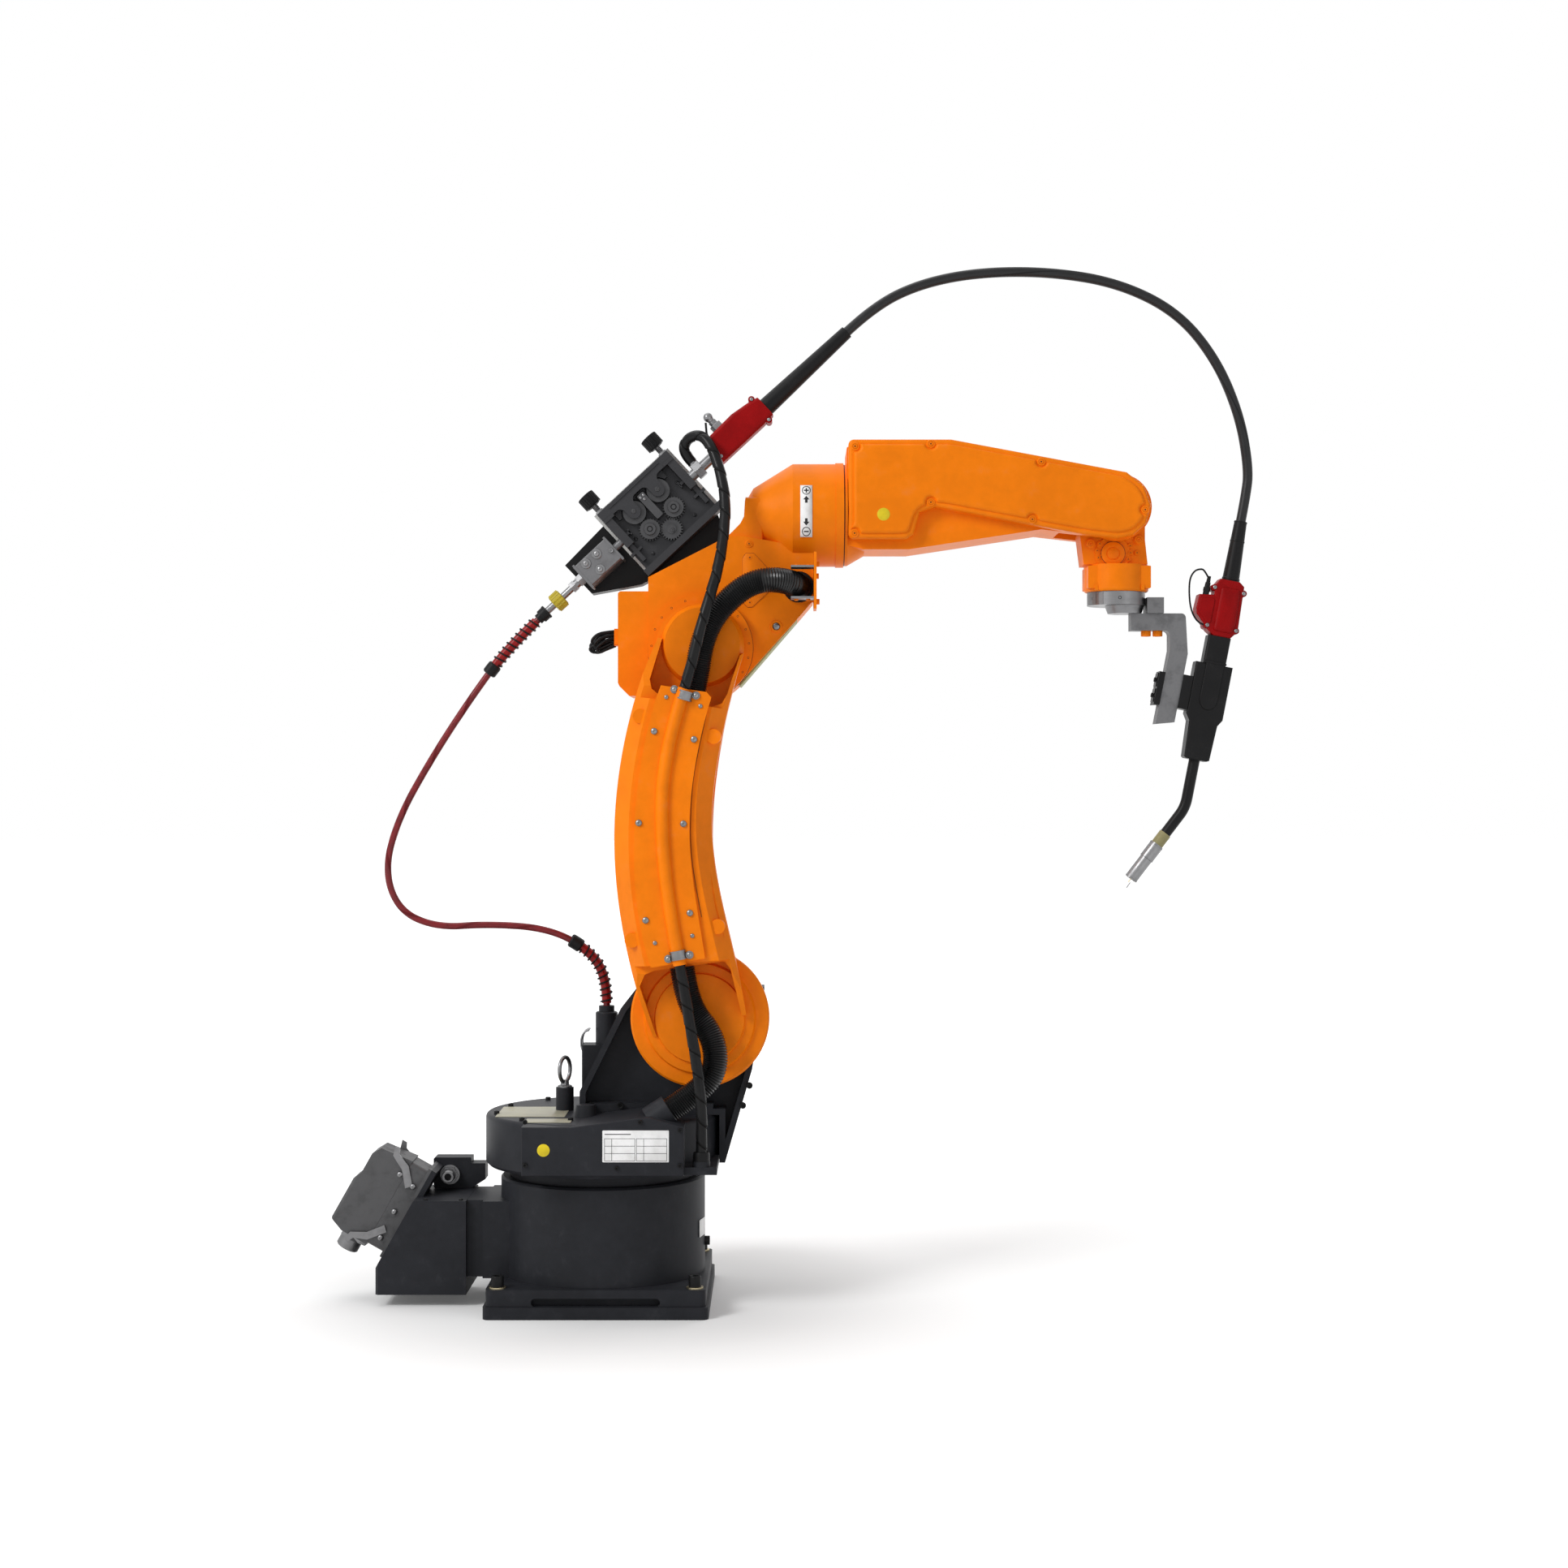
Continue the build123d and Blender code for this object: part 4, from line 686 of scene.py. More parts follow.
class Shader(Nodes):
    """A material's nodes, round its Principled shader."""

    def __init__(self, name: str) -> None:
        """Start a material.

        Args:
            name: The material's name.
        """
        self.material = bpy.data.materials.new(name)
        self.material.use_nodes = True
        super().__init__(self.material.node_tree)
        self.principled = self.tree.nodes["Principled BSDF"]

    def coordinates(self, output: str = "Object") -> Value:
        """Return the piece's own coordinates, in metres, or its UV map."""
        return self.add("ShaderNodeTexCoord", out=output)

    def noise(self, scale: float, detail: float = 3.0, rough: float = 0.6, at: Value | None = None) -> Value:
        """Return fractal noise, with the scale in waves per metre."""
        inputs = {"Vector": at or self.coordinates(), "Scale": scale, "Detail": detail, "Roughness": rough}
        return self.add("ShaderNodeTexNoise", inputs=inputs)

    def steps(self, mask: Any, low: float, high: float) -> Value:
        """Turn a mask into a smooth ramp from 0 at low to 1 at high."""
        inputs = {0: mask, 1: low, 2: high, 3: 0.0, 4: 1.0}
        return self.add("ShaderNodeMapRange", {"interpolation_type": "SMOOTHSTEP"}, inputs)

    def blend(self, mask: Any, first: Any, second: Any) -> Value:
        """Mix two colours by a mask."""
        return self.add("ShaderNodeMix", {"data_type": "RGBA"}, {0: mask, 6: first, 7: second}, out=2)

    def finish(self, gloss: float, colour: Value, relief: tuple, **sockets: Any) -> bpy.types.Material:
        """Feed the Principled shader.

        Args:
            gloss: Specular level, the same all over the surface.
            colour: Base colour.
            relief: Height pattern, how strongly it shows and its height in metres.
            sockets: Other sockets' names and values.

        Returns:
            The finished material.
        """
        inputs = dict(zip(("Height", "Strength", "Distance"), relief))
        sockets |= {"Base Color": colour, "Normal": self.add("ShaderNodeBump", inputs=inputs)}
        for key, given in {"Specular IOR Level": gloss, **sockets}.items():
            self.feed(self.principled.inputs[key], given)
        return self.material


def shade(colour: Colour, factor: float = 1.0) -> tuple[float, float, float, float]:
    """Return a colour made lighter or darker by a factor, with alpha."""
    return (*(min(1.0, channel * factor) for channel in colour), 1.0)


@dataclass(frozen=True)
class Coat:
    """What every finish of the arm has."""

    name: str
    slot: str
    colour: Colour
    roughness: float


@dataclass(frozen=True)
class Paint(Coat):
    """Sprayed paint on a casting, with orange peel, faint dust and dulled patches."""

    grain: float = 1500.0
    grain_height: float = 0.00005
    grain_strength: float = 0.35
    mottle: float = 0.1
    dust: float = 0.1
    dust_colour: Colour = (0.3, 0.27, 0.24)
    gloss: float = 0.12

    def material(self) -> bpy.types.Material:
        """Build the material of this paint.

        Returns:
            The finished material.
        """
        shader = Shader(self.name)
        grain = shader.noise(self.grain, 2.0, 0.5)
        peel = shader.noise(self.grain * 0.3, 1.0, 0.5)
        broad = shader.noise(7.0, 4.0)
        patches = shader.noise(38.0, 5.0, 0.65)
        tone = shader.steps(broad * 0.6 + patches * 0.4, 0.35, 0.65)
        low, high = 1.0 - self.mottle, 1.0 + 0.5 * self.mottle
        colour = shader.blend(tone, shade(self.colour, low), shade(self.colour, high))
        speckle = shader.steps(shader.noise(self.grain * 0.6, 3.0, 0.7), 0.55, 0.75)
        colour = shader.blend(speckle * 0.22, colour, shade(self.colour, 1.35))
        dusty = shader.steps(patches, 0.56, 0.82) * self.dust
        colour = shader.blend(dusty, colour, shade(self.dust_colour))
        rough = self.roughness + (broad - 0.5) * 0.16 + dusty * 0.5 + (grain - 0.5) * 0.1
        relief = (grain * 0.7 + peel * 0.3, self.grain_strength, self.grain_height)
        return shader.finish(self.gloss, colour, relief, Roughness=rough.clamp())


@dataclass(frozen=True)
class Metal(Coat):
    """Bare metal with machining or drawing grain, stains and small scratches."""

    stretch: tuple[float, float, float] = (60.0, 60.0, 1400.0)
    stain: float = 0.22
    metallic: float = 1.0
    relief: float = 0.000012

    def material(self) -> bpy.types.Material:
        """Build the material of this metal.

        Returns:
            The finished material.
        """
        shader = Shader(self.name)
        mapping = {"Vector": shader.coordinates(), "Scale": self.stretch}
        drawn = shader.noise(1.0, 4.0, at=shader.add("ShaderNodeMapping", inputs=mapping))
        fine = shader.noise(900.0, 2.0, 0.5)
        dull = shader.steps(shader.noise(45.0, 5.0, 0.65), 0.45, 0.72)
        colour = shader.blend(drawn, shade(self.colour, 0.86), shade(self.colour, 1.12))
        colour = shader.blend(dull * self.stain, colour, shade(self.colour, 0.45))
        rough = self.roughness + (drawn - 0.5) * 0.18 + dull * 0.14 + (fine - 0.5) * 0.06
        metallic = (self.metallic - dull * 0.08).clamp()
        relief = (drawn * 0.6 + fine * 0.4, 0.5, self.relief)
        return shader.finish(0.5, colour, relief, Roughness=rough.clamp(), Metallic=metallic)


@dataclass(frozen=True)
class Moulded(Coat):
    """Moulded plastic or rubber with a spark-eroded grain and a little dust."""

    grain: float = 1100.0
    relief: float = 0.00004
    dust: float = 0.12
    dust_colour: Colour = (0.22, 0.21, 0.2)
    gloss: float = 0.22

    def material(self) -> bpy.types.Material:
        """Build the material of this plastic or rubber.

        Returns:
            The finished material.
        """
        shader = Shader(self.name)
        cells = {"Vector": shader.coordinates(), "Scale": self.grain}
        pits = shader.add("ShaderNodeTexVoronoi", inputs=cells, out="Distance")
        clouds = shader.noise(30.0, 5.0)
        fine = shader.noise(420.0)
        tone = shader.steps(clouds, 0.3, 0.7)
        colour = shader.blend(tone, shade(self.colour, 0.85), shade(self.colour, 1.12))
        dusty = shader.steps(clouds, 0.5, 0.8) * shader.steps(fine, 0.4, 0.7) * self.dust
        colour = shader.blend(dusty, colour, shade(self.dust_colour))
        rough = self.roughness + (clouds - 0.5) * 0.2 + dusty * 0.6
        relief = (pits * 0.6 + fine * 0.4, 0.4, self.relief)
        return shader.finish(self.gloss, colour, relief, Roughness=rough.clamp())


@dataclass(frozen=True)
class SpiralWrap(Coat):
    """A hose in a spiral wrap, or with a printed band, on the tube's UV map."""

    band: Colour = (0.0, 0.0, 0.0)
    pitch: float = 0.03
    width: float = 0.12
    gloss: float = 0.3

    def material(self) -> bpy.types.Material:
        """Build the material of this hose.

        Returns:
            The finished material.
        """
        shader = Shader(self.name)
        turn = shader.add("ShaderNodeSeparateXYZ", inputs={0: shader.coordinates("UV")})
        phase = (turn.other(1) * (1.0 / self.pitch) + turn).modulo(1.0)
        fall = shader.steps(phase, self.width - 0.05, self.width)
        edge = shader.steps(phase, 0.0, 0.05) * (1.0 - fall)
        clouds = shader.noise(60.0, 4.0)
        fine = shader.noise(1300.0, 2.0)
        tone = shader.steps(clouds, 0.3, 0.7)
        colour = shader.blend(tone, shade(self.colour, 0.8), shade(self.colour, 1.25))
        colour = shader.blend(edge, colour, shade(self.band))
        rough = self.roughness + (clouds - 0.5) * 0.25 + edge * 0.5
        relief = (fine * 0.4 + edge * 0.6, 0.5, 0.0001)
        return shader.finish(self.gloss, colour, relief, Roughness=rough.clamp())


class Finish(Enum):
    """Finishes of the arm's surfaces, each with its material and slot."""

    ORANGE = Paint("orange_casting_paint", "orange_paint", (0.96, 0.222, 0.002), 0.42)
    DARK = Paint(
        "dark_casting_paint", "dark_paint", (0.02, 0.021, 0.025), 0.46,
        mottle=0.22, dust=0.2, dust_colour=(0.075, 0.075, 0.08),
    )
    BLACK = Moulded("black_moulding", "dark_plastic", (0.007, 0.007, 0.0075), 0.4, dust=0.05, gloss=0.14)
    RUBBER = Moulded(
        "black_rubber", "rubber", (0.007, 0.007, 0.0075), 0.46, 700.0, 0.00006, 0.05, gloss=0.14
    )
    RIBBED = Moulded("ribbed_conduit", "rubber", (0.007, 0.007, 0.0075), 0.3, dust=0.05, gloss=0.36)
    RED = Moulded(
        "red_moulding", "red_plastic", (0.29, 0.003, 0.004), 0.42, 900.0, 0.00006, 0.08,
        (0.16, 0.03, 0.03), 0.09,
    )
    BRIGHT_RED = Moulded(
        "bright_red_sleeve", "red_hose", (0.28, 0.005, 0.006), 0.36, 500.0, 0.00003, 0.08, (0.2, 0.05, 0.05)
    )
    STEEL = Metal("turned_steel", "steel", (0.2, 0.2, 0.205), 0.34)
    BRIGHT = Metal("bright_steel", "steel", (0.23, 0.23, 0.235), 0.36, (200.0, 200.0, 200.0), 0.12)
    GEAR = Metal(
        "oiled_gear_steel", "gear_steel", (0.065, 0.065, 0.068), 0.42, (300.0, 300.0, 300.0), 0.3, 0.75
    )
    CAST = Metal(
        "cast_aluminium", "aluminium", (0.15, 0.15, 0.155), 0.5, (260.0, 260.0, 260.0), 0.35, 0.85, 0.00004
    )
    HOOD = Metal(
        "die_cast_hood", "aluminium", (0.085, 0.085, 0.088), 0.48, (180.0, 180.0, 180.0), 0.4, 0.7, 0.00005
    )
    PLATE = Metal(
        "dark_anodised_plate", "plate_grey", (0.031, 0.031, 0.034), 0.46, (40.0, 900.0, 900.0), 0.25, 0.6
    )
    BRASS = Metal("plated_brass", "brass", (0.58, 0.5, 0.32), 0.3, (200.0, 200.0, 200.0), 0.2)
    OLIVE = Moulded(
        "yellow_collar", "olive", (0.46, 0.36, 0.03), 0.45, 900.0, 0.00004, 0.2, (0.2, 0.16, 0.05)
    )
    PALE = Moulded("pale_board", "pale", (0.72, 0.72, 0.7), 0.55, 800.0, 0.00003, 0.3, (0.45, 0.43, 0.38))
    BEIGE = Moulded(
        "beige_insulator", "beige", (0.3, 0.27, 0.13), 0.5, 700.0, 0.00003, 0.25, (0.25, 0.2, 0.12)
    )
    LABEL = Moulded("white_plate", "pale", (0.93, 0.93, 0.92), 0.5, 500.0, 0.00001, 0.02, (0.4, 0.4, 0.38))
    OLD_LABEL = Moulded("aged_plate", "pale", (0.42, 0.41, 0.31), 0.4, 300.0, 0.00001, 0.5, (0.2, 0.19, 0.13))
    LINE = Moulded("printed_line", "dark_plastic", (0.02, 0.02, 0.022), 0.4, 500.0, 0.00001)
    YELLOW = Moulded("yellow_sign", "olive", (0.75, 0.58, 0.02), 0.35, 500.0, 0.00001, 0.1, (0.3, 0.2, 0.05))
    # Dark orange that is painted shade: lines at cover, ring and plate edges (partly real joint lines), and
    # rings round and pits in screw bosses.
    SEAM = Moulded("dark_seam", "orange_paint", (0.2, 0.055, 0.005), 0.5)
    GREEN = Moulded("green_gasket", "pale", (0.34, 0.34, 0.12), 0.5, 500.0, 0.00002)
    HOSE = SpiralWrap(
        "wrapped_hose", "rubber", (0.008, 0.008, 0.0085), 0.34, (0.002, 0.0015, 0.0012), 0.034, 0.13, 0.15
    )
    LINER = SpiralWrap(
        "red_liner_hose", "red_hose", (0.17, 0.008, 0.012), 0.3, (0.12, 0.006, 0.009), 0.09, 0.2
    )
    CABLE = SpiralWrap(
        "torch_cable_jacket", "rubber", (0.008, 0.008, 0.009), 0.4, (0.008, 0.008, 0.009), 0.4, 0.1
    )


NODE_FINISH = {
    Finish.DARK: "base_casting connector_box gas_block turret_casting turret_cover hose_socket tower",
    Finish.HOOD: "connector_socket connector_hood",
    Finish.STEEL: "hood_gland hood_levers gas_fitting inlet_fitting gun_coupling tool_flange hose_clips",
    Finish.BRIGHT: "gas_nozzle",
    Finish.BLACK: "shoulder_motor feeder_bracket feed_motor tension_knobs liner_ferrule torch_clamp"
    " torch_body swan_neck",
    Finish.ORANGE: "upper_arm arm_cover elbow_casting elbow_motor_box hose_bracket forearm_casting"
    " forearm_cover wrist_housing",
    Finish.PLATE: "feeder_plate pressure_arms",
    Finish.CAST: "mounting_block torch_bracket inlet_block",
    Finish.GEAR: "wire_guide pinion_gear drive_rolls pressure_rolls",
    Finish.PALE: "feeder_insulator",
    Finish.OLIVE: "inlet_collar",
    Finish.RED: "gun_connector torch_connector",
    Finish.RUBBER: "gun_boot torch_boot",
    Finish.BEIGE: "nozzle_insulator",
    Finish.BRASS: "contact_tip",
}


class Head(Enum):
    """Small repeated parts, each with the rings of its unit part: radius, height and any corners."""

    SOCKET = ((1.0, -0.2), (1.0, 0.95), (0.93, 1.1), (0.62, 1.1), (0.58, 1.06, 6), (0.56, 0.45, 6))
    PAN = (
        (1.0, -0.2), (1.0, 0.25), (0.92, 0.5), (0.7, 0.68), (0.36, 0.76), (0.3, 0.7, 6), (0.26, 0.4, 6),
    )
    BOSS = (
        (1.25, -0.6), (1.12, 0.18), (1.02, 0.3), (0.72, 0.32), (0.68, 0.1), (0.62, 0.1),
        (0.6, 0.34), (0.5, 0.4), (0.3, 0.4), (0.27, 0.36, 6), (0.25, 0.1, 6),
    )
    PIT = ((1.0, -0.1), (1.0, 0.04), (0.85, 0.06), (0.7, 0.04), (0.66, -0.05))
    WASHER = ((1.0, -0.1), (1.0, 0.12), (0.94, 0.18), (0.5, 0.18))


@dataclass(frozen=True)
class Studio:
    """Camera at the photograph's angle, pale floor and soft studio light."""

    sky: float = 0.42
    lamps: tuple = (
        ("key_light", (-3.2, -3.0, 3.6), (0.2, 0, 0.8), 1.6, 150.0),
        ("fill_light", (3.2, -3.6, 1.4), (0.3, 0, 0.7), 2.6, 12.0),
        ("top_light", (-0.6, 0.8, 4.2), (0.3, 0, 0.4), 3.0, 42.0),
        ("rim_light", (2.2, 3.2, 2.4), (0.4, 0, 0.9), 2.0, 20.0),
    )
    view_depth: float = 100.0
    floor_size: float = 60.0
    floor_depth: float = 20.0
    floor_roughness: float = 0.9
    floor_colour: Colour = (0.86, 0.86, 0.86)
    lifts: tuple[float, float, float] = (0.08, 0.27, 0.8)
    lift_ends: tuple[float, float, float] = (0.27, 0.62, 3.0)

    def build(self) -> None:
        """Make the camera, the world, the lamps and the floor."""
        scene = bpy.context.scene
        scene.view_settings.view_transform = "Standard"
        data = bpy.data.cameras.new("camera")
        data.sensor_fit = "HORIZONTAL"
        data.angle = 2 * math.atan(IMAGE_WIDTH / 2 / EYE_DISTANCE)
        data.clip_end = self.view_depth
        scene.camera = link_object("camera", data)
        scene.camera.location = (EYE_X, -EYE_DISTANCE, EYE_Z)
        scene.camera.rotation_euler = (math.pi / 2, 0, 0)
        self._world()
        for name, spot, target, size, power in self.lamps:
            data = bpy.data.lights.new(name, "AREA")
            data.size = size
            data.energy = power
            lamp = link_object(name, data)
            lamp.location = spot
            lamp.rotation_euler = (Vector(target) - Vector(spot)).to_track_quat("-Z", "Y").to_euler()
        self._floor()

    def _world(self) -> None:
        """Light the scene evenly, and show white behind it."""
        scene = bpy.context.scene
        scene.world = bpy.data.worlds.new("studio")
        scene.world.use_nodes = True
        nodes = Nodes(scene.world.node_tree)
        soft = nodes.tree.nodes["Background"]
        nodes.feed(soft.inputs["Color"], WHITE)
        nodes.feed(soft.inputs["Strength"], self.sky)
        white = nodes.add("ShaderNodeBackground", inputs={"Color": WHITE, "Strength": 1.0})
        sides = {0: nodes.background_rays(), 1: Value(nodes, soft.outputs[0]), 2: white}
        both = nodes.add("ShaderNodeMixShader", inputs=sides)
        nodes.feed(nodes.tree.nodes["World Output"].inputs[0], both)

    def _floor(self) -> None:
        """Make the pale floor, which is white to the camera where nothing shades it."""
        square = rectangle(self.floor_size, self.floor_size)
        floor = Shape().prism(at(0, 0, -self.floor_depth), square, self.floor_depth * MM).piece("floor")
        shader = Shader("pale_floor")
        shader.feed(shader.principled.inputs["Base Color"], shade(self.floor_colour))
        shader.feed(shader.principled.inputs["Roughness"], self.floor_roughness)
        length = {"operation": "LENGTH"}
        reach = shader.add("ShaderNodeVectorMath", length, {0: shader.coordinates()}, "Value")
        near, middle, far = self.lifts
        start, turn, end = self.lift_ends
        lift = near + shader.steps(reach, start, turn) * (middle - near)
        lift = lift + shader.steps(reach, turn, end) * (far - middle)
        glow = {"Color": WHITE, "Strength": shader.background_rays() * lift}
        shone = shader.add("ShaderNodeEmission", inputs=glow)
        parts = {0: Value(shader, shader.principled.outputs[0]), 1: shone}
        both = shader.add("ShaderNodeAddShader", inputs=parts)
        shader.feed(shader.tree.nodes["Material Output"].inputs["Surface"], both)
        floor.data.materials.append(shader.material)


def repeat_tree() -> bpy.types.NodeTree:
    """Build the nodes that put one small part at every aimed point, with its size and material.

    Returns:
        The node tree.
    """
    tree = bpy.data.node_groups.new("repeat_small_part", "GeometryNodeTree")
    inputs = {"Points": "Geometry", "Part": "Object", "Size": "Float", "Material": "Material"}
    for name, kind in inputs.items():
        tree.interface.new_socket(name=name, in_out="INPUT", socket_type="NodeSocket" + kind)
    tree.interface.new_socket(name="Result", in_out="OUTPUT", socket_type="NodeSocketGeometry")
    nodes = Nodes(tree)
    start = nodes.add("NodeGroupInput", out="Points")
    part = nodes.add("GeometryNodeObjectInfo", inputs={"Object": start.other("Part")}, out="Geometry")
    vectors = {"data_type": "FLOAT_VECTOR"}
    aim = nodes.add("GeometryNodeInputNamedAttribute", vectors, {"Name": "aim"}, "Attribute")
    turn = nodes.add("FunctionNodeAlignRotationToVector", {"axis": "Z"}, {"Vector": aim}, "Rotation")
    put = {"Points": start, "Instance": part, "Rotation": turn, "Scale": start.other("Size")}
    copies = nodes.add("GeometryNodeInstanceOnPoints", inputs=put)
    real = nodes.add("GeometryNodeRealizeInstances", inputs={"Geometry": copies})
    coat = {"Geometry": real, "Material": start.other("Material")}
    end = tree.nodes.new("NodeGroupOutput")
    nodes.feed(end.inputs["Result"], nodes.add("GeometryNodeSetMaterial", inputs=coat))
    return tree


class Workshop:
    """Dresses pieces in their finishes, and puts small parts at aimed points."""

    def __init__(self) -> None:
        """Start with no materials and no unit parts."""
        self.tree = repeat_tree()
        self.inputs = {item.name: item.identifier for item in self.tree.interface.items_tree}
        self.materials: dict[Finish, bpy.types.Material] = {}
        self.units: dict[Head, bpy.types.Object] = {}

    def material(self, finish: Finish) -> bpy.types.Material:
        """Hand out the material of a finish, built once.

        Args:
            finish: The finish.

        Returns:
            Its material.
        """
        if finish not in self.materials:
            self.materials[finish] = finish.value.material()
        return self.materials[finish]

    def coat(self, piece: bpy.types.Object, finish: Finish) -> None:
        """Give a piece its material.

        Args:
            piece: A new piece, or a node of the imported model.
            finish: Its finish.
        """
        piece.data.materials.clear()
        piece.data.materials.append(self.material(finish))
        log.info("%s: %s, %d faces", piece.name, finish.name, len(piece.data.polygons))

    def dress(self, piece: bpy.types.Object, finish: Finish, body: Body) -> bpy.types.Object:
        """Give a new piece its material, and let it ride on a body.

        Args:
            piece: The new piece.
            finish: Its finish.
            body: The body that it moves with.

        Returns:
            The piece.
        """
        self.coat(piece, finish)
        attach(piece, body.value)
        return piece

    def fix(self, name: str, head: Head, finish: Finish, radius: float, spots: Spots, body: Body) -> None:
        """Put one kind of small part at many spots of one body, as one plain mesh.

        Args:
            name: Name of the joined piece.
            head: Kind of part.
            finish: Its finish.
            radius: Radius of the part.
            spots: Pairs of a point and the direction that the part faces.
            body: The body that it moves with.
        """
        if head not in self.units:
            unit = Shape().lathe(Matrix(), head.value, 24)
            self.units[head] = unit.piece("unit_" + head.name.lower(), 30)
        mesh = bpy.data.meshes.new(name + "_points")
        mesh.from_pydata([tuple(spot) for spot, _ in spots], [], [])
        aims = mesh.attributes.new("aim", "FLOAT_VECTOR", "POINT")
        for item, (_, aim) in zip(aims.data, spots):
            item.vector = aim.normalized()
        holder = link_object(name + "_holder", mesh)
        modifier = holder.modifiers.new("repeat", "NODES")
        modifier.node_group = self.tree
        given = {"Part": self.units[head], "Size": radius, "Material": self.material(finish)}
        for key, setting in given.items():
            modifier[self.inputs[key]] = setting
        shown = holder.evaluated_get(bpy.context.evaluated_depsgraph_get())
        result = bpy.data.meshes.new_from_object(shown)
        result.name = name
        bpy.data.objects.remove(holder)
        self.dress(link_object(name, result), finish, body)

    def clear(self) -> None:
        """Remove the unit parts, which aren't pieces of the arm."""
        for part in self.units.values():
            bpy.data.objects.remove(part)
        self.units.clear()


@dataclass(frozen=True)
class Span:
    """One stretch of a cord, up to a share of its length, that crosses one joint."""

    name: str
    first: Body
    last: Body
    until: float = 1.0
    stretch: tuple[float, float] = (0.0, 1.0)


@dataclass
class Cord:
    """A hose or cable that runs between two fixed ends, split where it crosses joints."""

    name: str
    finish: Finish
    radius: float
    spans: Sequence[Span]
    route: Sequence[Point]
    ribs: float = 0.0
    rib_height: float = 0.0017
    wrap: float = 0.0
    wrap_height: float = 0.0008
    groove: float = 0.0016
    groove_width: float = 0.05
    steps: int = 20
    spacing: float = 0.003

    def __post_init__(self) -> None:
        """Work out the even points of the centre line."""
        self.path = even_points(line_points([mm(*point) for point in self.route]), self.spacing)

    def build(self, shop: Workshop) -> None:
        """Args:
            shop: The workshop that holds the materials.
        """
        start = 0
        for span in self.spans:
            stop = round((len(self.path) - 1) * span.until)
            piece = self._tube(span.name, start, stop)
            shop.coat(piece, self.finish)
            if not start:
                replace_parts(piece, self.name)
            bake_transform(piece)
            start = stop

    def _reach(self, index: int, step: int) -> float:
        """Work out the cord's radius at one spot, with its ribs or spiral wrap.

        Args:
            index: Number of the path point.
            step: Number of the step round it.

        Returns:
            The radius.
        """
        reach = self.radius
        if self.ribs:
            turn = math.tau * (index * self.spacing / self.ribs)
            reach -= self.rib_height * (0.5 - 0.5 * math.cos(turn))
        if self.wrap:
            phase = (index * self.spacing / self.wrap + step / self.steps) % 1.0
            edge = max(0.0, 1.0 - abs(phase - self.groove_width) / self.groove_width)
            reach -= self.wrap_height * (1.0 - phase) + self.groove * edge
        return reach

    def _tube(self, name: str, start: int, stop: int) -> bpy.types.Object:
        """Make the tube of one span, with UVs in metres along it and turns round it.

        Args:
            name: Name of the piece.
            start: Number of its first path point.
            stop: Number of its last path point.

        Returns:
            The piece.
        """
        shape = Shape()
        layer = shape.work.loops.layers.uv.new("UVMap")
        across = carried_frames(self.path)
        rings = []
        for index in range(start, stop + 1):
            side, over = across[index]
            ring = []
            for step, angle in enumerate(turns(self.steps)):
                offset = side * math.cos(angle) + over * math.sin(angle)
                ring.append(self.path[index] + offset * self._reach(index, step))
            rings.append(shape.ring(ring))
        shape.skin(rings)
        for index, face in enumerate(list(shape.work.faces)[:-2]):
            row, step = divmod(index, self.steps)
            marks = ((step, row), (step + 1, row), (step + 1, row + 1), (step, row + 1))
            for loop, (turn, along) in zip(face.loops, marks):
                loop[layer].uv = (turn / self.steps, (start + along) * self.spacing)
        return shape.piece(name, 60)


RIBS = {"ribs": 0.0034, "steps": 30, "spacing": 0.00085}
WRAP = {"wrap": 0.034, "steps": 24, "spacing": 0.0012}


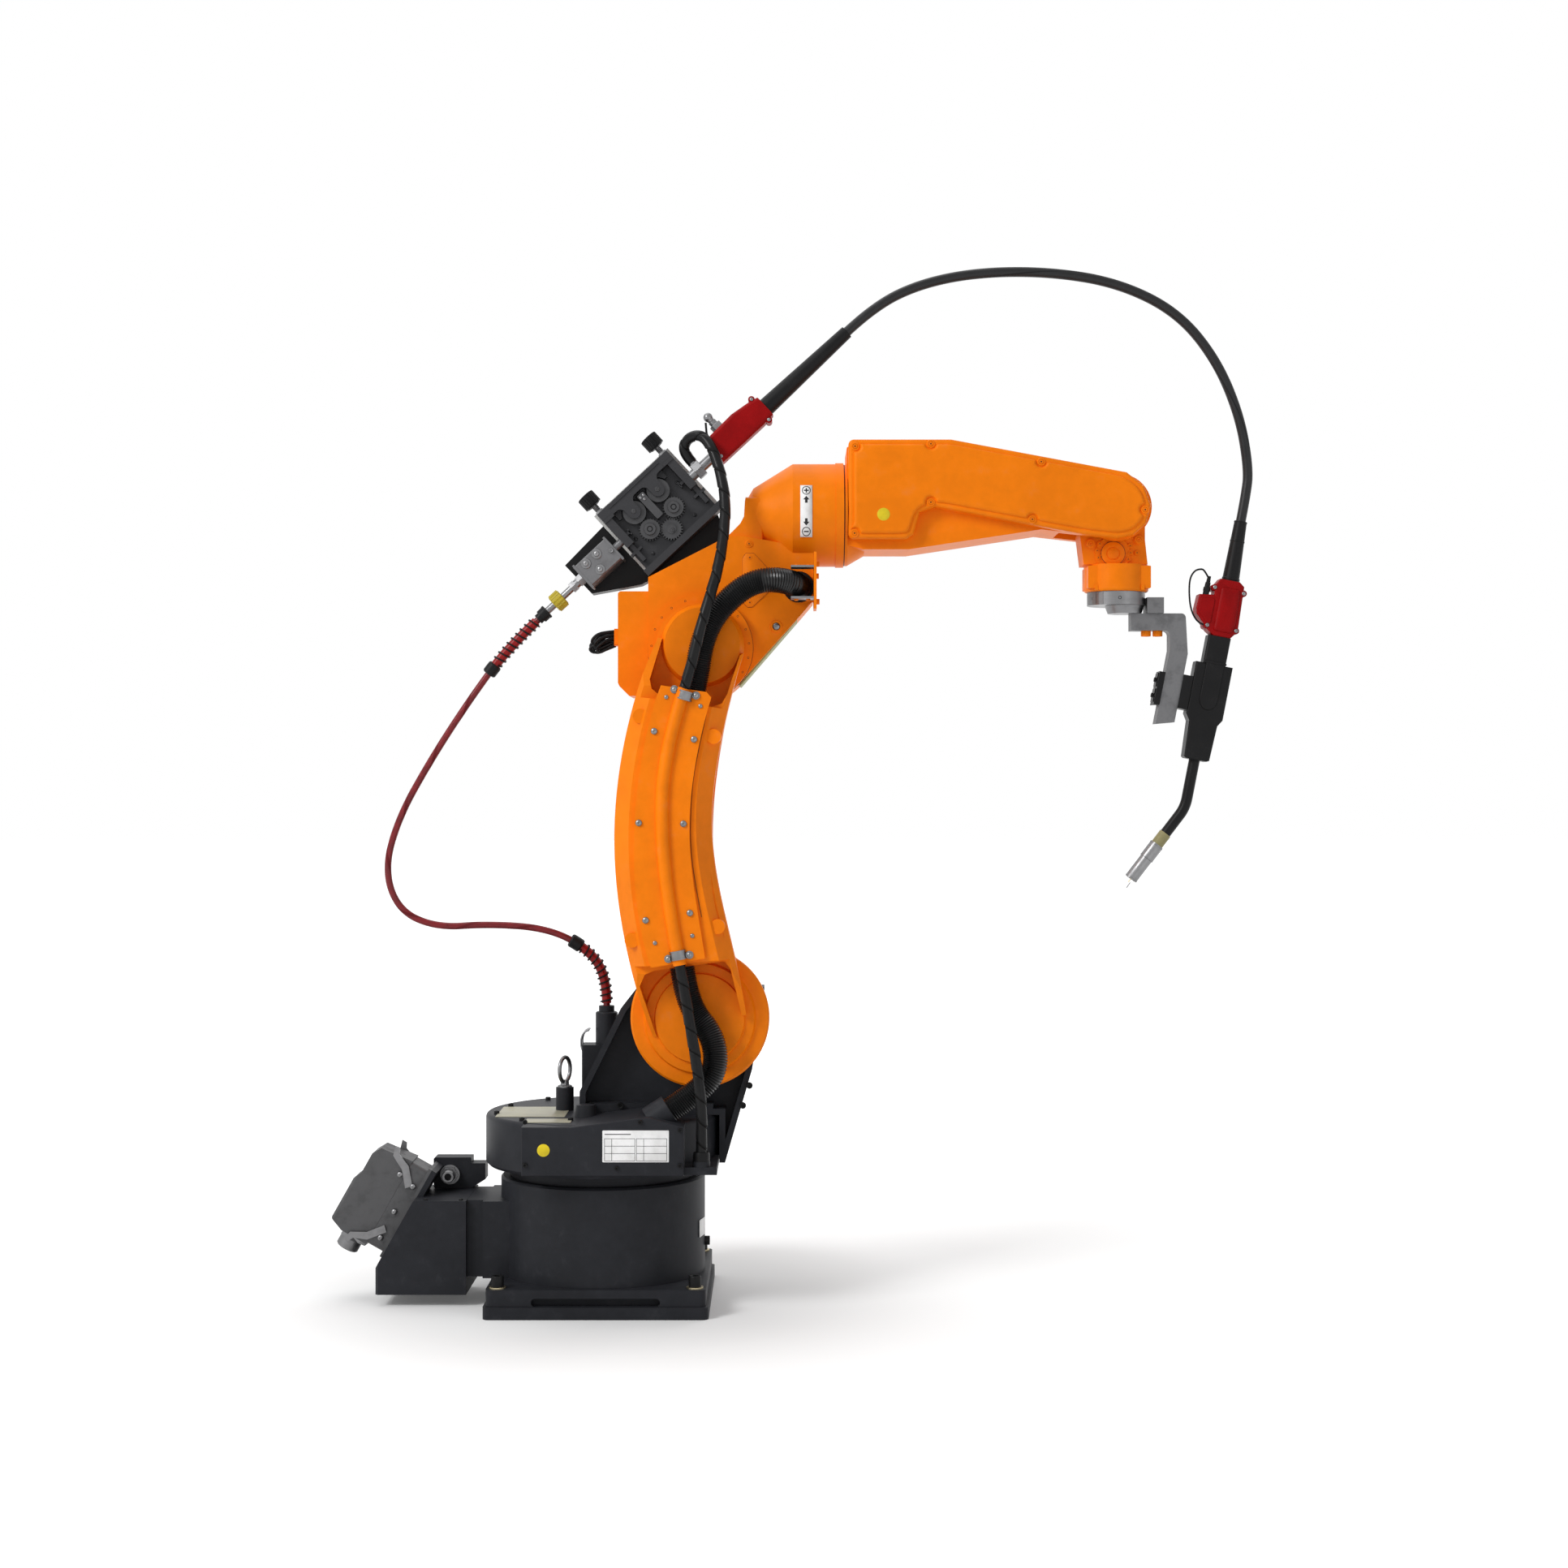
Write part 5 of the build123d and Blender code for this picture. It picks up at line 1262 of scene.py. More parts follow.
def arm_cords() -> list[Cord]:
    """List every hose and cable of the arm.

    Returns:
        The cords, ready to build.
    """
    return [
        Cord(
            "low_conduit", Finish.RIBBED, 0.019,
            [Span("low_conduit_tube", Body.ARM, Body.TURRET, stretch=(0.12, 0.9))],
            [
                (125, -115, 512.3), (132.7, -115, 455), (172, -122, 410), (176, -130, 358),
                (144, -134, 326), (108.2, -137, 303.2),
            ],
            **RIBS,
        ),
        Cord(
            "high_conduit", Finish.RIBBED, 0.019,
            [Span("high_conduit_tube", Body.ARM, Body.ELBOW, stretch=(0.08, 0.8))],
            [
                (138, -115, 904), (147.7, -115, 947.7), (153, -114, 988), (168, -115, 1026),
                (194, -115, 1057), (226, -114, 1081), (262, -116, 1087), (298, -91, 1080), (298, -48, 1080),
            ],
            **RIBS,
        ),
        Cord(
            "low_hose", Finish.HOSE, 0.0085,
            [Span("low_hose_tube", Body.ARM, Body.TURRET, stretch=(0.1, 0.9))],
            [
                (123, -148.5, 516.8), (130.4, -148.5, 477.5), (138, -152, 430), (147, -160, 380),
                (153, -167, 338), (156, -168, 298), (155, -160, 262), (155, -160, 232),
            ],
            **WRAP,
        ),
        Cord(
            "high_hose", Finish.HOSE, 0.0085,
            [Span("high_hose_tube", Body.ELBOW, Body.ARM, stretch=(0.35, 0.95))],
            [
                (137, -30, 1269.8), (122.3, -30, 1285.5), (128.4, -38, 1305.4), (148.7, -52, 1310),
                (165.1, -64, 1293.9), (180, -75, 1254), (189, -90, 1206), (187, -108, 1156),
                (179, -126, 1102), (165, -141, 1053), (151, -148.5, 1004), (141.3, -148.5, 961.6),
                (129.8, -148.5, 924),
            ],
            **WRAP,
        ),
        Cord(
            "liner_hose", Finish.LINER, 0.0052,
            [
                Span("liner_hose_upper", Body.ELBOW, Body.ARM, 0.5, (0.2, 1.0)),
                Span("liner_hose_lower", Body.ARM, Body.TURRET, stretch=(0.0, 0.75)),
            ],
            [
                (-96.6, -30, 1032), (-145, -30, 986.9), (-205, -26, 905), (-262, -20, 818),
                (-312, -12, 730), (-334, -5, 650), (-312, 3, 588), (-255, 11, 563), (-180, 18, 568),
                (-95, 27, 562), (-36, 35, 536), (2, 40, 492), (2, 40, 441),
            ],
            steps=16,
        ),
        Cord(
            "torch_cable", Finish.CABLE, 0.0075,
            [
                Span("torch_cable_rear", Body.ELBOW, Body.FOREARM, 0.4),
                Span("torch_cable_middle", Body.FOREARM, Body.WRIST, 0.72),
                Span("torch_cable_front", Body.WRIST, Body.TOOL, stretch=(0.0, 0.85)),
            ],
            [
                (370.9, -30, 1468), (412, -30, 1506.3), (480, -27, 1541), (570, -23, 1560),
                (680, -17, 1562), (785, -12, 1546), (875, -7, 1503), (935, -4, 1432),
                (972, -2, 1345), (986, 0, 1262), (981.2, 0, 1223.3), (973.6, 0, 1184),
            ],
        ),
    ]


CLAMP_EARS = ((831, 849.5), (857.5, 857), (823.5, 1181.5), (849.5, 1176.5))


def ring_spots(centre: Vector, radius: float, angles: Iterable[float], aim: Vector) -> Spots:
    """Return spots on an upright circle that all face one way."""
    rims = [polar(radius, angle) for angle in angles]
    return [(centre + Vector((rim.x, 0, rim.y)), aim) for rim in rims]


@dataclass
class Assembly:
    """A group of pieces that ride on one body."""

    shop: Workshop
    body: Body = Body.BASE

    def build(self) -> None:
        """Build every piece of the group."""
        raise NotImplementedError

    def add(self, name: str, finish: Finish, shape: Shape, smooth: float = 35) -> bpy.types.Object:
        """Dress a finished shape as a piece of this body."""
        return self.shop.dress(shape.piece(name, smooth), finish, self.body)

    def fix(self, name: str, head: Head, finish: Finish, radius: float, spots: Spots) -> None:
        """Put one kind of small part at spots of this body."""
        self.shop.fix(name, head, finish, radius, spots, self.body)

    def sheet(
        self,
        name: str,
        finish: Finish,
        place: Matrix,
        size: Point,
        radius: float = 0.0012,
        depth: float = 0.0006,
    ) -> None:
        """Add a thin plate with rounded corners and a softened edge."""
        self.add(name, finish, Shape().plate(place, size, radius, depth, depth * 0.3))


@dataclass
class BaseDetails(Assembly):
    """Anchor bolts, plates and fittings of the fixed base and its connector box."""

    body: Body = Body.BASE
    bolt_spacing: float = 290.0
    bolt_seat: float = 43.0
    bolt_radius: float = 0.0094
    washer_radius: float = 0.0125
    washer_bore: float = 0.0065
    washer_thickness: float = 2.2
    collar_height: float = 5.5

    def build(self) -> None:
        """Build every piece of the base."""
        self._anchors()
        out = Vector((*polar(1.0, math.radians(-12)), 0))
        self.sheet("drum_plate", Finish.LABEL, frame_at(out * 0.1552 + UP * 0.112, out), (0.034, 0.026))
        self.fix("drum_plug", Head.SOCKET, Finish.BLACK, 0.007, aimed(AHEAD, [(154.8, 0, 86)]))
        box = [(x, y, 158.5) for x in (-209, -262) for y in (-66, 66)]
        self.fix("box_screws", Head.PAN, Finish.BLACK, 0.0032, aimed(UP, box))
        self._fittings()

    def _anchors(self) -> None:
        """Make the four anchor bolts on their washers and collars."""
        half, rim, bore, reach = self.bolt_spacing / 2, self.washer_radius, self.washer_bore, self.bolt_radius
        corners = [(x, y) for x in (-half, half) for y in (-half, half)]
        seat = self.bolt_seat + self.washer_thickness
        top, height = self.washer_thickness * MM, (self.collar_height + 1) * MM
        washers, collars = Shape(), Shape()
        for x, y in corners:
            profile = [(bore, 0), (rim, 0), (rim, top), (bore, top), (bore, 0)]
            washers.lathe(at(x, y, self.bolt_seat), profile, 28)
            collars.lathe(at(x, y, seat), [(reach, 0), (reach, height), (0, height)], 28)
        self.add("anchor_washers", Finish.BRASS, washers)
        self.add("anchor_collars", Finish.BLACK, collars)
        spots = aimed(UP, [(x, y, seat + self.collar_height) for x, y in corners])
        self.fix("anchor_bolts", Head.SOCKET, Finish.BLACK, reach, spots)

    def _fittings(self) -> None:
        """Make the gas spigot, the gland's nut and the pivots of the hood's levers."""
        place = frame_at(mm(-239.5, 22, 180.5), NEAR)
        profile = [(0.0095, -0.001), (0.0095, 0.008), (0.0085, 0.0095)]
        profile += [(0.0055, 0.0095), (0.005, 0.003), (0, 0.003)]
        self.add("gas_spigot", Finish.STEEL, Shape().lathe(place, profile, 28))
        bore = [(0.0049, 0.0028), (0.0049, 0.0036), (0, 0.0036)]
        self.add("gas_bore", Finish.BLACK, Shape().lathe(place, bore, 20))
        high = mm(-374.6, 0, 96.4)
        place = frame_at(high, mm(-396.5, 0, 78.0) - high, NEAR) @ at(0, 0, -6)
        self.add("gland_nut", Finish.BRIGHT, Shape().prism(place, hexagon(0.0212), 0.012, 0.002))
        spots = []
        for side in (-1, 1):
            for spot, _ in near_spots(-34, (509, 1462), (486, 1493), (469, 1525), (493, 1447)):
                spots.append((Vector((spot.x, 0.0351 * side, spot.z)), -NEAR * side))
        self.fix("lever_pivots", Head.PAN, Finish.BRIGHT, 0.0042, spots)


@dataclass
class TurretDetails(Assembly):
    """Plates, screws and latches of the turret and its tower."""

    body: Body = Body.TURRET
    top: float = 285.0
    cover_face: float = -184.0
    latch_half: float = 0.0135
    wire: float = 0.0016

    def build(self) -> None:
        """Build every piece of the turret."""
        self._signs()
        pixels = ((647, 1382.5), (647, 1435.5), (760, 1439.5), (838, 1436), (838, 1392.5), (789, 1382.5))
        self.fix("cover_screws", Head.SOCKET, Finish.BLACK, 0.0034, near_spots(self.cover_face, *pixels))
        spots = ((-146, 40), (-158, -44), (-112, -118), (-40, -118), (-96, 118), (20, 150))
        top = aimed(UP, [(x, y, self.top) for x, y in spots])
        self.fix("turret_screws", Head.SOCKET, Finish.BLACK, 0.0042, top)
        self._latch()
        profile = [(0.0088, 0), (0.0122, 0), (0.0122, 0.01), (0.0112, 0.013), (0.0088, 0.013), (0.0088, 0)]
        self.add("shelf_collar", Finish.RUBBER, Shape().lathe(at(155, -160, 232), profile, 24))
        bolts = aimed(NEAR, [(x, -59.9, z) for x, z in ((-14, 300), (30, 300), (214, 300), (224, 330))])
        self.fix("tower_bolts", Head.SOCKET, Finish.BLACK, 0.0048, bolts)

    def _signs(self) -> None:
        """Make the plate with empty ruled boxes, the plain disc and the aged plates on top."""
        place = frame_at(seen(783.2, 1412.5, self.cover_face), NEAR)
        self.sheet("table_plate", Finish.LABEL, place, (0.0966, 0.0462))
        lines = []
        for centre in (-0.0232, 0.0232):
            lines += [(centre, 0.0112 - row * 0.0108, 0.044, 0.0006) for row in range(4)]
            lines += [(centre + column, -0.005, 0.0006, 0.033) for column in (-0.022, -0.0115, 0.022)]
        lines.append((-0.026, 0.0175, 0.038, 0.0012))
        self.add("table_plate_lines", Finish.LINE, Shape().bars(place @ at(0, 0, 0.6), lines, 0.00015))
        disc = [(0.0092, 0), (0.0092, 0.0004), (0.0088, 0.0006), (0, 0.0006)]
        place = frame_at(seen(669.5, 1417.5, self.cover_face), NEAR)
        self.add("cover_disc", Finish.YELLOW, Shape().lathe(place, disc))
        for name, x, y, size in (("large", -104, -24, (0.104, 0.112)), ("small", -72, -122, (0.068, 0.04))):
            self.sheet("top_plate_" + name, Finish.OLD_LABEL, at(x, y, self.top), size, 0.002, 0.0008)

    def _latch(self) -> None:
        """Make the wire latch on the plug of the liner hose."""
        hinge = mm(-24.0, 40, 385)
        angles = [math.radians(90 + 180 * step / 14) for step in range(15)]
        loop = [hinge + Vector((0.0115 * math.cos(a) - 0.001, 0, 0.019 * math.sin(a))) for a in angles]
        sides = [Vector((0, side, 0)) for side in (-self.latch_half, self.latch_half)]
        shape = Shape()
        for path in [[spot + side for spot in loop] for side in sides]:
            shape.tube(path, self.wire, 8)
        for spot in (loop[0], loop[-1]):
            shape.tube([spot + side for side in sides], self.wire, 8)
        self.add("plug_latch", Finish.BRIGHT, shape)


@dataclass
class ArmDetails(Assembly):
    """Screws, and the gasket line drawn as dark orange painted shade, of the upper arm."""

    body: Body = Body.ARM
    cover_face: float = -146.0
    gasket_depth: float = -140.5
    strap_face: float = -148.2
    large: Points = (
        (806, 901), (855, 911), (787, 1014), (842, 1015), (795.5, 1134), (850, 1125),
    )
    small: Points = ((821, 859), (863, 870), (807, 1162), (853, 1153))
    gasket: Points = (
        (868, 853), (871.5, 862), (870, 880), (862, 915), (853, 960), (850.5, 1000), (850, 1040),
        (855, 1085), (864, 1130),
    )

    def build(self) -> None:
        """Build every piece of the upper arm."""
        large, small = (near_spots(self.cover_face, *pixels) for pixels in (self.large, self.small))
        self.fix("cover_plate_screws", Head.PAN, Finish.STEEL, 0.0049, large)
        self.fix("cover_small_screws", Head.PAN, Finish.STEEL, 0.0032, small)
        self.fix("clamp_screws", Head.PAN, Finish.BRIGHT, 0.004, near_spots(self.strap_face, *CLAMP_EARS))
        route = line_points([seen(px + 0.6, py, self.gasket_depth) for px, py in self.gasket])
        # Thin dark orange line along the cover's edge: partly the gasket, partly painted shade under the
        # edge.
        self.add("cover_gasket", Finish.SEAM, Shape().tube(even_points(route, 0.004), 0.0005, 6))
        pits = ring_spots(mm(ELBOW_X, -60, ELBOW_Z), 0.05, turns(12, 0.5), -NEAR)
        self.fix("hub_pits", Head.PIT, Finish.BLACK, 0.0021, pits)


@dataclass
class ElbowDetails(Assembly):
    """Screw bosses, plates, the sign strip and the wire bundle of the elbow casting."""

    body: Body = Body.ELBOW
    face: float = -48.0
    ring_face: float = -59.7
    pit_angles: tuple[float, ...] = (158, 142, 126, 108, 40, 22, 5, -12, -30, -48, 178, 196, -66, 214)
    plate_corners: Points = (
        (919, 682), (929, 682), (957, 712), (957, 720), (927, 748), (921, 748), (915, 742), (915, 688),
    )
    strip_radius: float = 0.0783
    strip_size: tuple[float, float] = (0.018, 0.0772)

    def build(self) -> None:
        """Build every piece of the elbow."""
        self._bosses()
        self._ring_and_plate()
        self._sign_strip()
        low, high = seen(911, 845, 0), seen(981, 764, 0)
        run = high - low
        out = Vector((run.z, 0, -run.x)).normalized()
        middle = (low + high) / 2 + out * 0.0002
        middle.y = 0.007
        size = (0.088, run.length)
        self.sheet("belly_plate", Finish.GREEN, frame_at(middle, out, run.normalized()), size, 0.004, 0.0024)
        self._wire_bundle()
        collar = [(0.0195, 0), (0.0235, 0), (0.0235, 0.005), (0.0222, 0.007), (0.0195, 0.007), (0.0195, 0)]
        self.add("conduit_collar", Finish.RUBBER, Shape().lathe(frame_at(mm(298, -48, 1080), NEAR), collar))
        spots = aimed(AHEAD, [(324, -100, 1110), (324, -100, 1054), (324, -30, 1098)])
        self.fix("bracket_screws", Head.SOCKET, Finish.ORANGE, 0.0042, spots)
        clips = [(mm(x, -105, z), way) for x in (294, 312) for z, way in ((1057.5, -UP), (1106.5, UP))]
        self.fix("clip_screws", Head.PAN, Finish.ORANGE, 0.0034, clips)

    def _bosses(self) -> None:
        """Make the painted screw bosses and the one bright bolt, with painted shade in the bosses' pits and
        in a dark ring round the bolt's seat.
        """
        spots = near_spots(self.face, (923, 670), (924, 687), (924, 742.5)) + near_spots(-32, (924, 618))
        bolt = near_spots(self.face, (956.5, 772))
        self.fix("elbow_bosses", Head.BOSS, Finish.ORANGE, 0.0052, spots)
        # Dark orange painted shade: pits in the bosses' sockets, and a ring round the foot of the bolt's
        # seat.
        self.fix("elbow_boss_pits", Head.PIT, Finish.SEAM, 0.0022, raised(spots, 0.0019))
        self.fix("elbow_bolt_rim", Head.PIT, Finish.SEAM, 0.009, bolt)
        self.fix("elbow_bolt_seat", Head.BOSS, Finish.ORANGE, 0.0082, bolt)
        self.fix("elbow_bolt", Head.PAN, Finish.STEEL, 0.0052, raised(bolt, 0.0016))
        far = [(Vector((spot.x, 0.062, spot.z)), -NEAR) for spot, _ in spots[:3]]
        self.fix("elbow_far_bosses", Head.BOSS, Finish.ORANGE, 0.0052, far)

    def _ring_and_plate(self) -> None:
        """Make the painted shade line at the foot of the elbow's ring, the ring's pits, and the
        diamond-shaped plate with its painted shade outline.
        """
        foot = frame_at(mm(ELBOW_X, self.face, ELBOW_Z), NEAR)
        # A thin dark orange ring of painted shade at the foot of the elbow's ring.
        seam = [(0.0786, -0.0004), (0.0797, -0.0004), (0.0797, 0.0005), (0.0786, 0.0005)]
        self.add("elbow_ring_seam", Finish.SEAM, Shape().lathe(foot, seam, 88))
        centre = mm(ELBOW_X, self.ring_face, ELBOW_Z)
        pits = ring_spots(centre, 0.0735, map(math.radians, self.pit_angles), NEAR)
        self.fix("ring_pits", Head.PIT, Finish.BLACK, 0.0016, pits)
        flat = [seen(px, py, self.face) for px, py in self.plate_corners]
        place = frame_at(sum(flat, Vector()) / len(flat), NEAR)
        outline = [(place.inverted() @ spot).xy for spot in flat]
        self.add("elbow_side_plate", Finish.ORANGE, Shape().prism(place, outline, 0.0016, 0.0008))
        # A slightly wider dark orange sheet under the plate shows as a painted shade outline round it, partly
        # the joint line.
        wider = [spot + spot.normalized() * 0.0006 for spot in outline]
        self.add("elbow_plate_seam", Finish.SEAM, Shape().prism(place, wider, 0.0004))

    def _sign_strip(self) -> None:
        """Make the white strip with rings, plus, minus and arrows, bent round the roll housing."""
        centre = seen(993.5, 629, -78)
        width, height = self.strip_size

        def bend(u: float, v: float, lift: float) -> Vector:
            """Bend a flat point of the strip round the housing.

            Args:
                u: The point's place along the arm.
                v: Its place across the strip's middle.
                lift: Its height over the housing.

            Returns:
                The bent point.
            """
            angle = math.asin((centre.z - ROLL_Z * MM + v) / self.strip_radius)
            rim = polar(self.strip_radius + lift, angle)
            return Vector((centre.x + u, -rim.x, ROLL_Z * MM + rim.y))

        strip = Shape()
        rows = [height * (row / 24 - 0.5) for row in range(25)]
        grid = [strip.ring(bend(u, v, 0.0004) for u in (-width / 2, 0, width / 2)) for v in rows]
        for low, high in zip(grid, grid[1:]):
            for column in range(2):
                strip.work.faces.new((low[column], low[column + 1], high[column + 1], high[column]))
        piece = strip.piece("sign_strip")
        solid = piece.modifiers.new("thickness", "SOLIDIFY")
        solid.thickness = 0.0005
        solid.offset = 0
        self.shop.dress(piece, Finish.LABEL, self.body)
        marks = Shape()
        for patch in self._sign_patches():
            marks.skin([marks.ring(bend(u, v, lift) for u, v in patch) for lift in (0.00055, 0.00085)])
        self.add("sign_marks", Finish.LINE, marks)

    @staticmethod
    def _sign_patches() -> list[list[Point]]:
        """List the outlines of the strip's rings, plus, minus and arrows.

        Returns:
            The corners of each outline.
        """
        patches = []
        for middle, bars in ((0.0305, ((0.0072, 0.0018), (0.0018, 0.0072))), (-0.0305, ((0.0072, 0.0018),))):
            centre = Vector((0, middle))
            for start, stop in zip(turns(24), turns(24, 1)):
                ring = ((0.0066, start), (0.0066, stop), (0.0055, stop), (0.0055, start))
                patches.append([centre + polar(*corner) for corner in ring])
            patches += [[centre + corner for corner in rectangle(*bar)] for bar in bars]
        for way in (1, -1):
            foot, neck, tip = way * 0.0115, way * (0.0115 + 0.0055), way * (0.0115 + 0.0104)
            patches.append([(-0.0019, foot), (0.0019, foot), (0.0019, neck), (-0.0019, neck)])
            patches.append([(-0.0046, foot + way * 0.005), (0.0046, foot + way * 0.005), (0.0, tip)])
        return patches

    def _wire_bundle(self) -> None:
        """Make the short loops of black wires behind the motor housing."""
        shape = Shape()
        start = mm(18, -10, 1006)
        for turn in range(9):
            shift = (turn % 3 - 1) * 0.0062
            rise = (turn // 3 - 1) * 0.0052
            reach = 0.026 + 0.0035 * ((turn * 7) % 4)
            offsets = (
                (0.001, shift, rise + 0.004),
                (-0.01, shift * 1.3, rise + 0.003),
                (-reach * 0.8, shift * 1.7, rise * 1.5 - 0.003),
                (-reach * 1.1, shift * 1.6, rise - 0.012),
                (-reach * 0.85, shift * 1.2, rise - 0.019),
                (-0.012, shift * 0.9, rise - 0.012),
                (0.001, shift * 0.7, rise - 0.007),
            )
            shape.tube(line_points([start + Vector(offset) for offset in offsets]), 0.0022, 8)
        self.add("rear_wire_loops", Finish.RUBBER, shape)


@dataclass(frozen=True)
class TiltedFace:
    """A face that is turned in the side view, such as the feeder's or the torch's."""

    x: float
    z: float
    tilt: float

    @property
    def across(self) -> Vector:
        """Return the direction of the face's first axis."""
        turn = math.radians(self.tilt)
        return Vector((math.cos(turn), 0, math.sin(turn)))

    @property
    def along(self) -> Vector:
        """Return the direction of the face's second axis."""
        return NEAR.cross(self.across)

    def spot(self, u: float, v: float, depth: float) -> Vector:
        """Return the point at (u, v) of the face and a depth, all in millimetres."""
        return mm(self.x, depth, self.z) + self.across * (u * MM) + self.along * (v * MM)

    def spots(self, depth: float, *points: Point) -> Spots:
        """Return spots of the face that look to the near side."""
        return [(self.spot(u, v, depth), NEAR) for u, v in points]

    def stand(self, u: float, v: float, depth: float) -> Matrix:
        """Return a placement there, with z along the second axis."""
        return frame_at(self.spot(u, v, depth), self.along, NEAR)

    def place(self, u: float, v: float, depth: float) -> Matrix:
        """Return a placement there, with z toward the near side and y along the second axis."""
        return frame_at(self.spot(u, v, depth), NEAR, self.along)


FEEDER = TiltedFace(76, 1193, 43)
TORCH = TiltedFace(931, 965, -11)


@dataclass
class FeederDetails(Assembly):
    """Knobs, screws and fittings of the wire feeder and of the gun connector."""

    body: Body = Body.ELBOW
    knobs: tuple[float, float] = (-56.5, 73.5)
    wire: float = -30.0
    arm_face: float = -42.0
    plate_face: float = -18.0
    block_face: float = -44.0
    roll_spots: tuple[float, float] = (-18.7, 30.3)

    def build(self) -> None:
        """Build every piece of the feeder."""
        self._knobs()
        self._feed_screws()
        self._clips_and_block()
        place = frame_at(FEEDER.spot(-186.0, 0, self.wire), -FEEDER.across, NEAR)
        knurls = Shape().prism(place, ribbed_outline(0.0148, 0.0136, 16), 0.016, 0.0012)
        self.add("collar_knurls", Finish.OLIVE, knurls)
        place = frame_at(FEEDER.spot(-217.0, 0, self.wire), -FEEDER.across, NEAR)
        lip = [(0.01, -0.0002), (0.0112, 0.0006), (0.0112, 0.003), (0.0104, 0.0038), (0.0104, 0.012)]
        self.add("ferrule_lip", Finish.RUBBER, Shape().lathe(place, lip, 28))
        self._gun_parts()

    def _knobs(self) -> None:
        """Make the knurled grips and the bright stems of both tension knobs."""
        grips, stems = Shape(), Shape()
        levels = [0.004 + turn * 0.0022 for turn in range(5)]
        thread = [ring for level in levels for ring in ((0.005, level), (0.0043, level + 0.0011))]
        profile = [(0.0068, 0), (0.0068, 0.0035), *thread, (0.005, 0.0148)]
        for u in self.knobs:
            place = FEEDER.stand(u, 69.6, self.wire)
            grips.prism(place, ribbed_outline(0.014, 0.0129, 20), 0.0192, 0.0015)
            grips.lathe(place @ at(0, 0, -1.2), [(0.0104, 0), (0.0104, 0.0014)], 24)
            stems.lathe(FEEDER.stand(u, 54.2, self.wire), profile, 24)
        self.add("knob_grips", Finish.BLACK, grips)
        self.add("knob_stems", Finish.BRIGHT, stems)

    def _feed_screws(self) -> None:
        """Make the screws of the wire guide, the rolls and the plate."""
        guide = FEEDER.spots(self.arm_face, (2.8, 28.0), (8.6, 28.0), (5.8, 22.6))
        self.fix("guide_screws", Head.PAN, Finish.STEEL, 0.0022, guide)
        pins = FEEDER.spots(-28, (5.8, -39.3))
        pins += FEEDER.spots(self.arm_face, *((u, 20.5) for u in self.roll_spots))
        self.fix("feeder_pins", Head.BOSS, Finish.GEAR, 0.0034, pins)
        hubs = FEEDER.spots(-36, *((u, -15.5) for u in self.roll_spots))
        self.fix("drive_roll_hubs", Head.WASHER, Finish.GEAR, 0.0092, hubs)
        self.fix("drive_roll_bores", Head.PIT, Finish.BLACK, 0.0046, raised(hubs, 0.0018))
        plate = FEEDER.spots(self.plate_face, (-40, -44), (46, -44), (60, 10), (-44, -10))
        self.fix("plate_screws", Head.PAN, Finish.PLATE, 0.003, plate)

    def _clips_and_block(self) -> None:
        """Make the clips and caps of the pressure arms, and the fittings of the inlet block."""
        clips = [(x, 0.003, width, height) for x, width, height in (
            (-0.0465, 0.007, 0.0045), (-0.044, 0.0022, 0.01),
            (0.0635, 0.007, 0.0045), (0.06, 0.0022, 0.01),
        )]
        caps = [(-0.0535, 0.0375, 0.019, 0.005), (0.0705, 0.04, 0.019, 0.005)]
        caps.append((0.008, 0.0485, 0.102, 0.0016))
        for name, depth, boxes, height in (
            ("arm_clips", self.plate_face, clips, 0.014), ("arm_caps", self.arm_face, caps, 0.0022),
        ):
            self.add(name, Finish.PLATE, Shape().bars(FEEDER.place(0, 0, depth), boxes, height))
        ends = Shape()
        for u in (-79.2, -141.6):
            ends.plate(FEEDER.place(u, 0, 1.0), (0.0034, 0.0452), 0.0008, 0.0462)
        self.add("inlet_end_plates", Finish.CAST, ends)
        spots = near_spots(self.block_face, (735, 682.5), (722, 694.5), (739.5, 701.5))
        self.fix("inlet_washers", Head.WASHER, Finish.STEEL, 0.0078, spots)
        self.fix("inlet_screws", Head.PAN, Finish.BRIGHT, 0.0043, raised(spots, 0.0012))
        pin = near_spots(self.block_face, (753, 678.5))
        self.fix("inlet_pin", Head.SOCKET, Finish.STEEL, 0.0036, pin)

    def _gun_parts(self) -> None:
        """Make the lugs, the screws, the side nipple and the lever of the gun connector."""
        spots = [seen(px, py, self.wire) for px, py in ((926, 494), (947.5, 519), (875.5, 549.5), (889, 564))]
        lugs = Shape()
        profile = [(0.0042, 0), (0.005, 0.0008), (0.005, 0.0312), (0.0042, 0.032)]
        for spot in spots[:2]:
            lugs.lathe(frame_at(Vector((spot.x, -0.046, spot.z)), -NEAR), profile, 24)
        self.add("gun_lugs", Finish.RED, lugs)
        depths = (-0.0458, -0.0458, -0.0478, -0.0478)
        screws = [(Vector((spot.x, depth, spot.z)), NEAR) for spot, depth in zip(spots, depths)]
        self.fix("gun_screws", Head.PAN, Finish.BRIGHT, 0.0028, screws)
        foot = FEEDER.stand(161, 24, self.wire)
        profile = [(0.0062, 0.01), (0.0062, 0.016), (0.005, 0.017), (0.0056, 0.0196)]
        ball = [polar(0.0072, math.radians(-40 + 130 * step / 6)) for step in range(7)]
        profile += [(point.x, 0.0245 + point.y) for point in ball]
        nipple = Shape().prism(foot, hexagon(0.0092), 0.0105, 0.001).lathe(foot, profile, 28)
        self.add("gun_nipple", Finish.STEEL, nipple)
        lever = [seen(px, py, self.wire) for px, py in ((869.5, 521), (870.5, 533), (873.5, 546))]
        self.add("gun_lever", Finish.BLACK, Shape().tube(lever, 0.0017, 10))


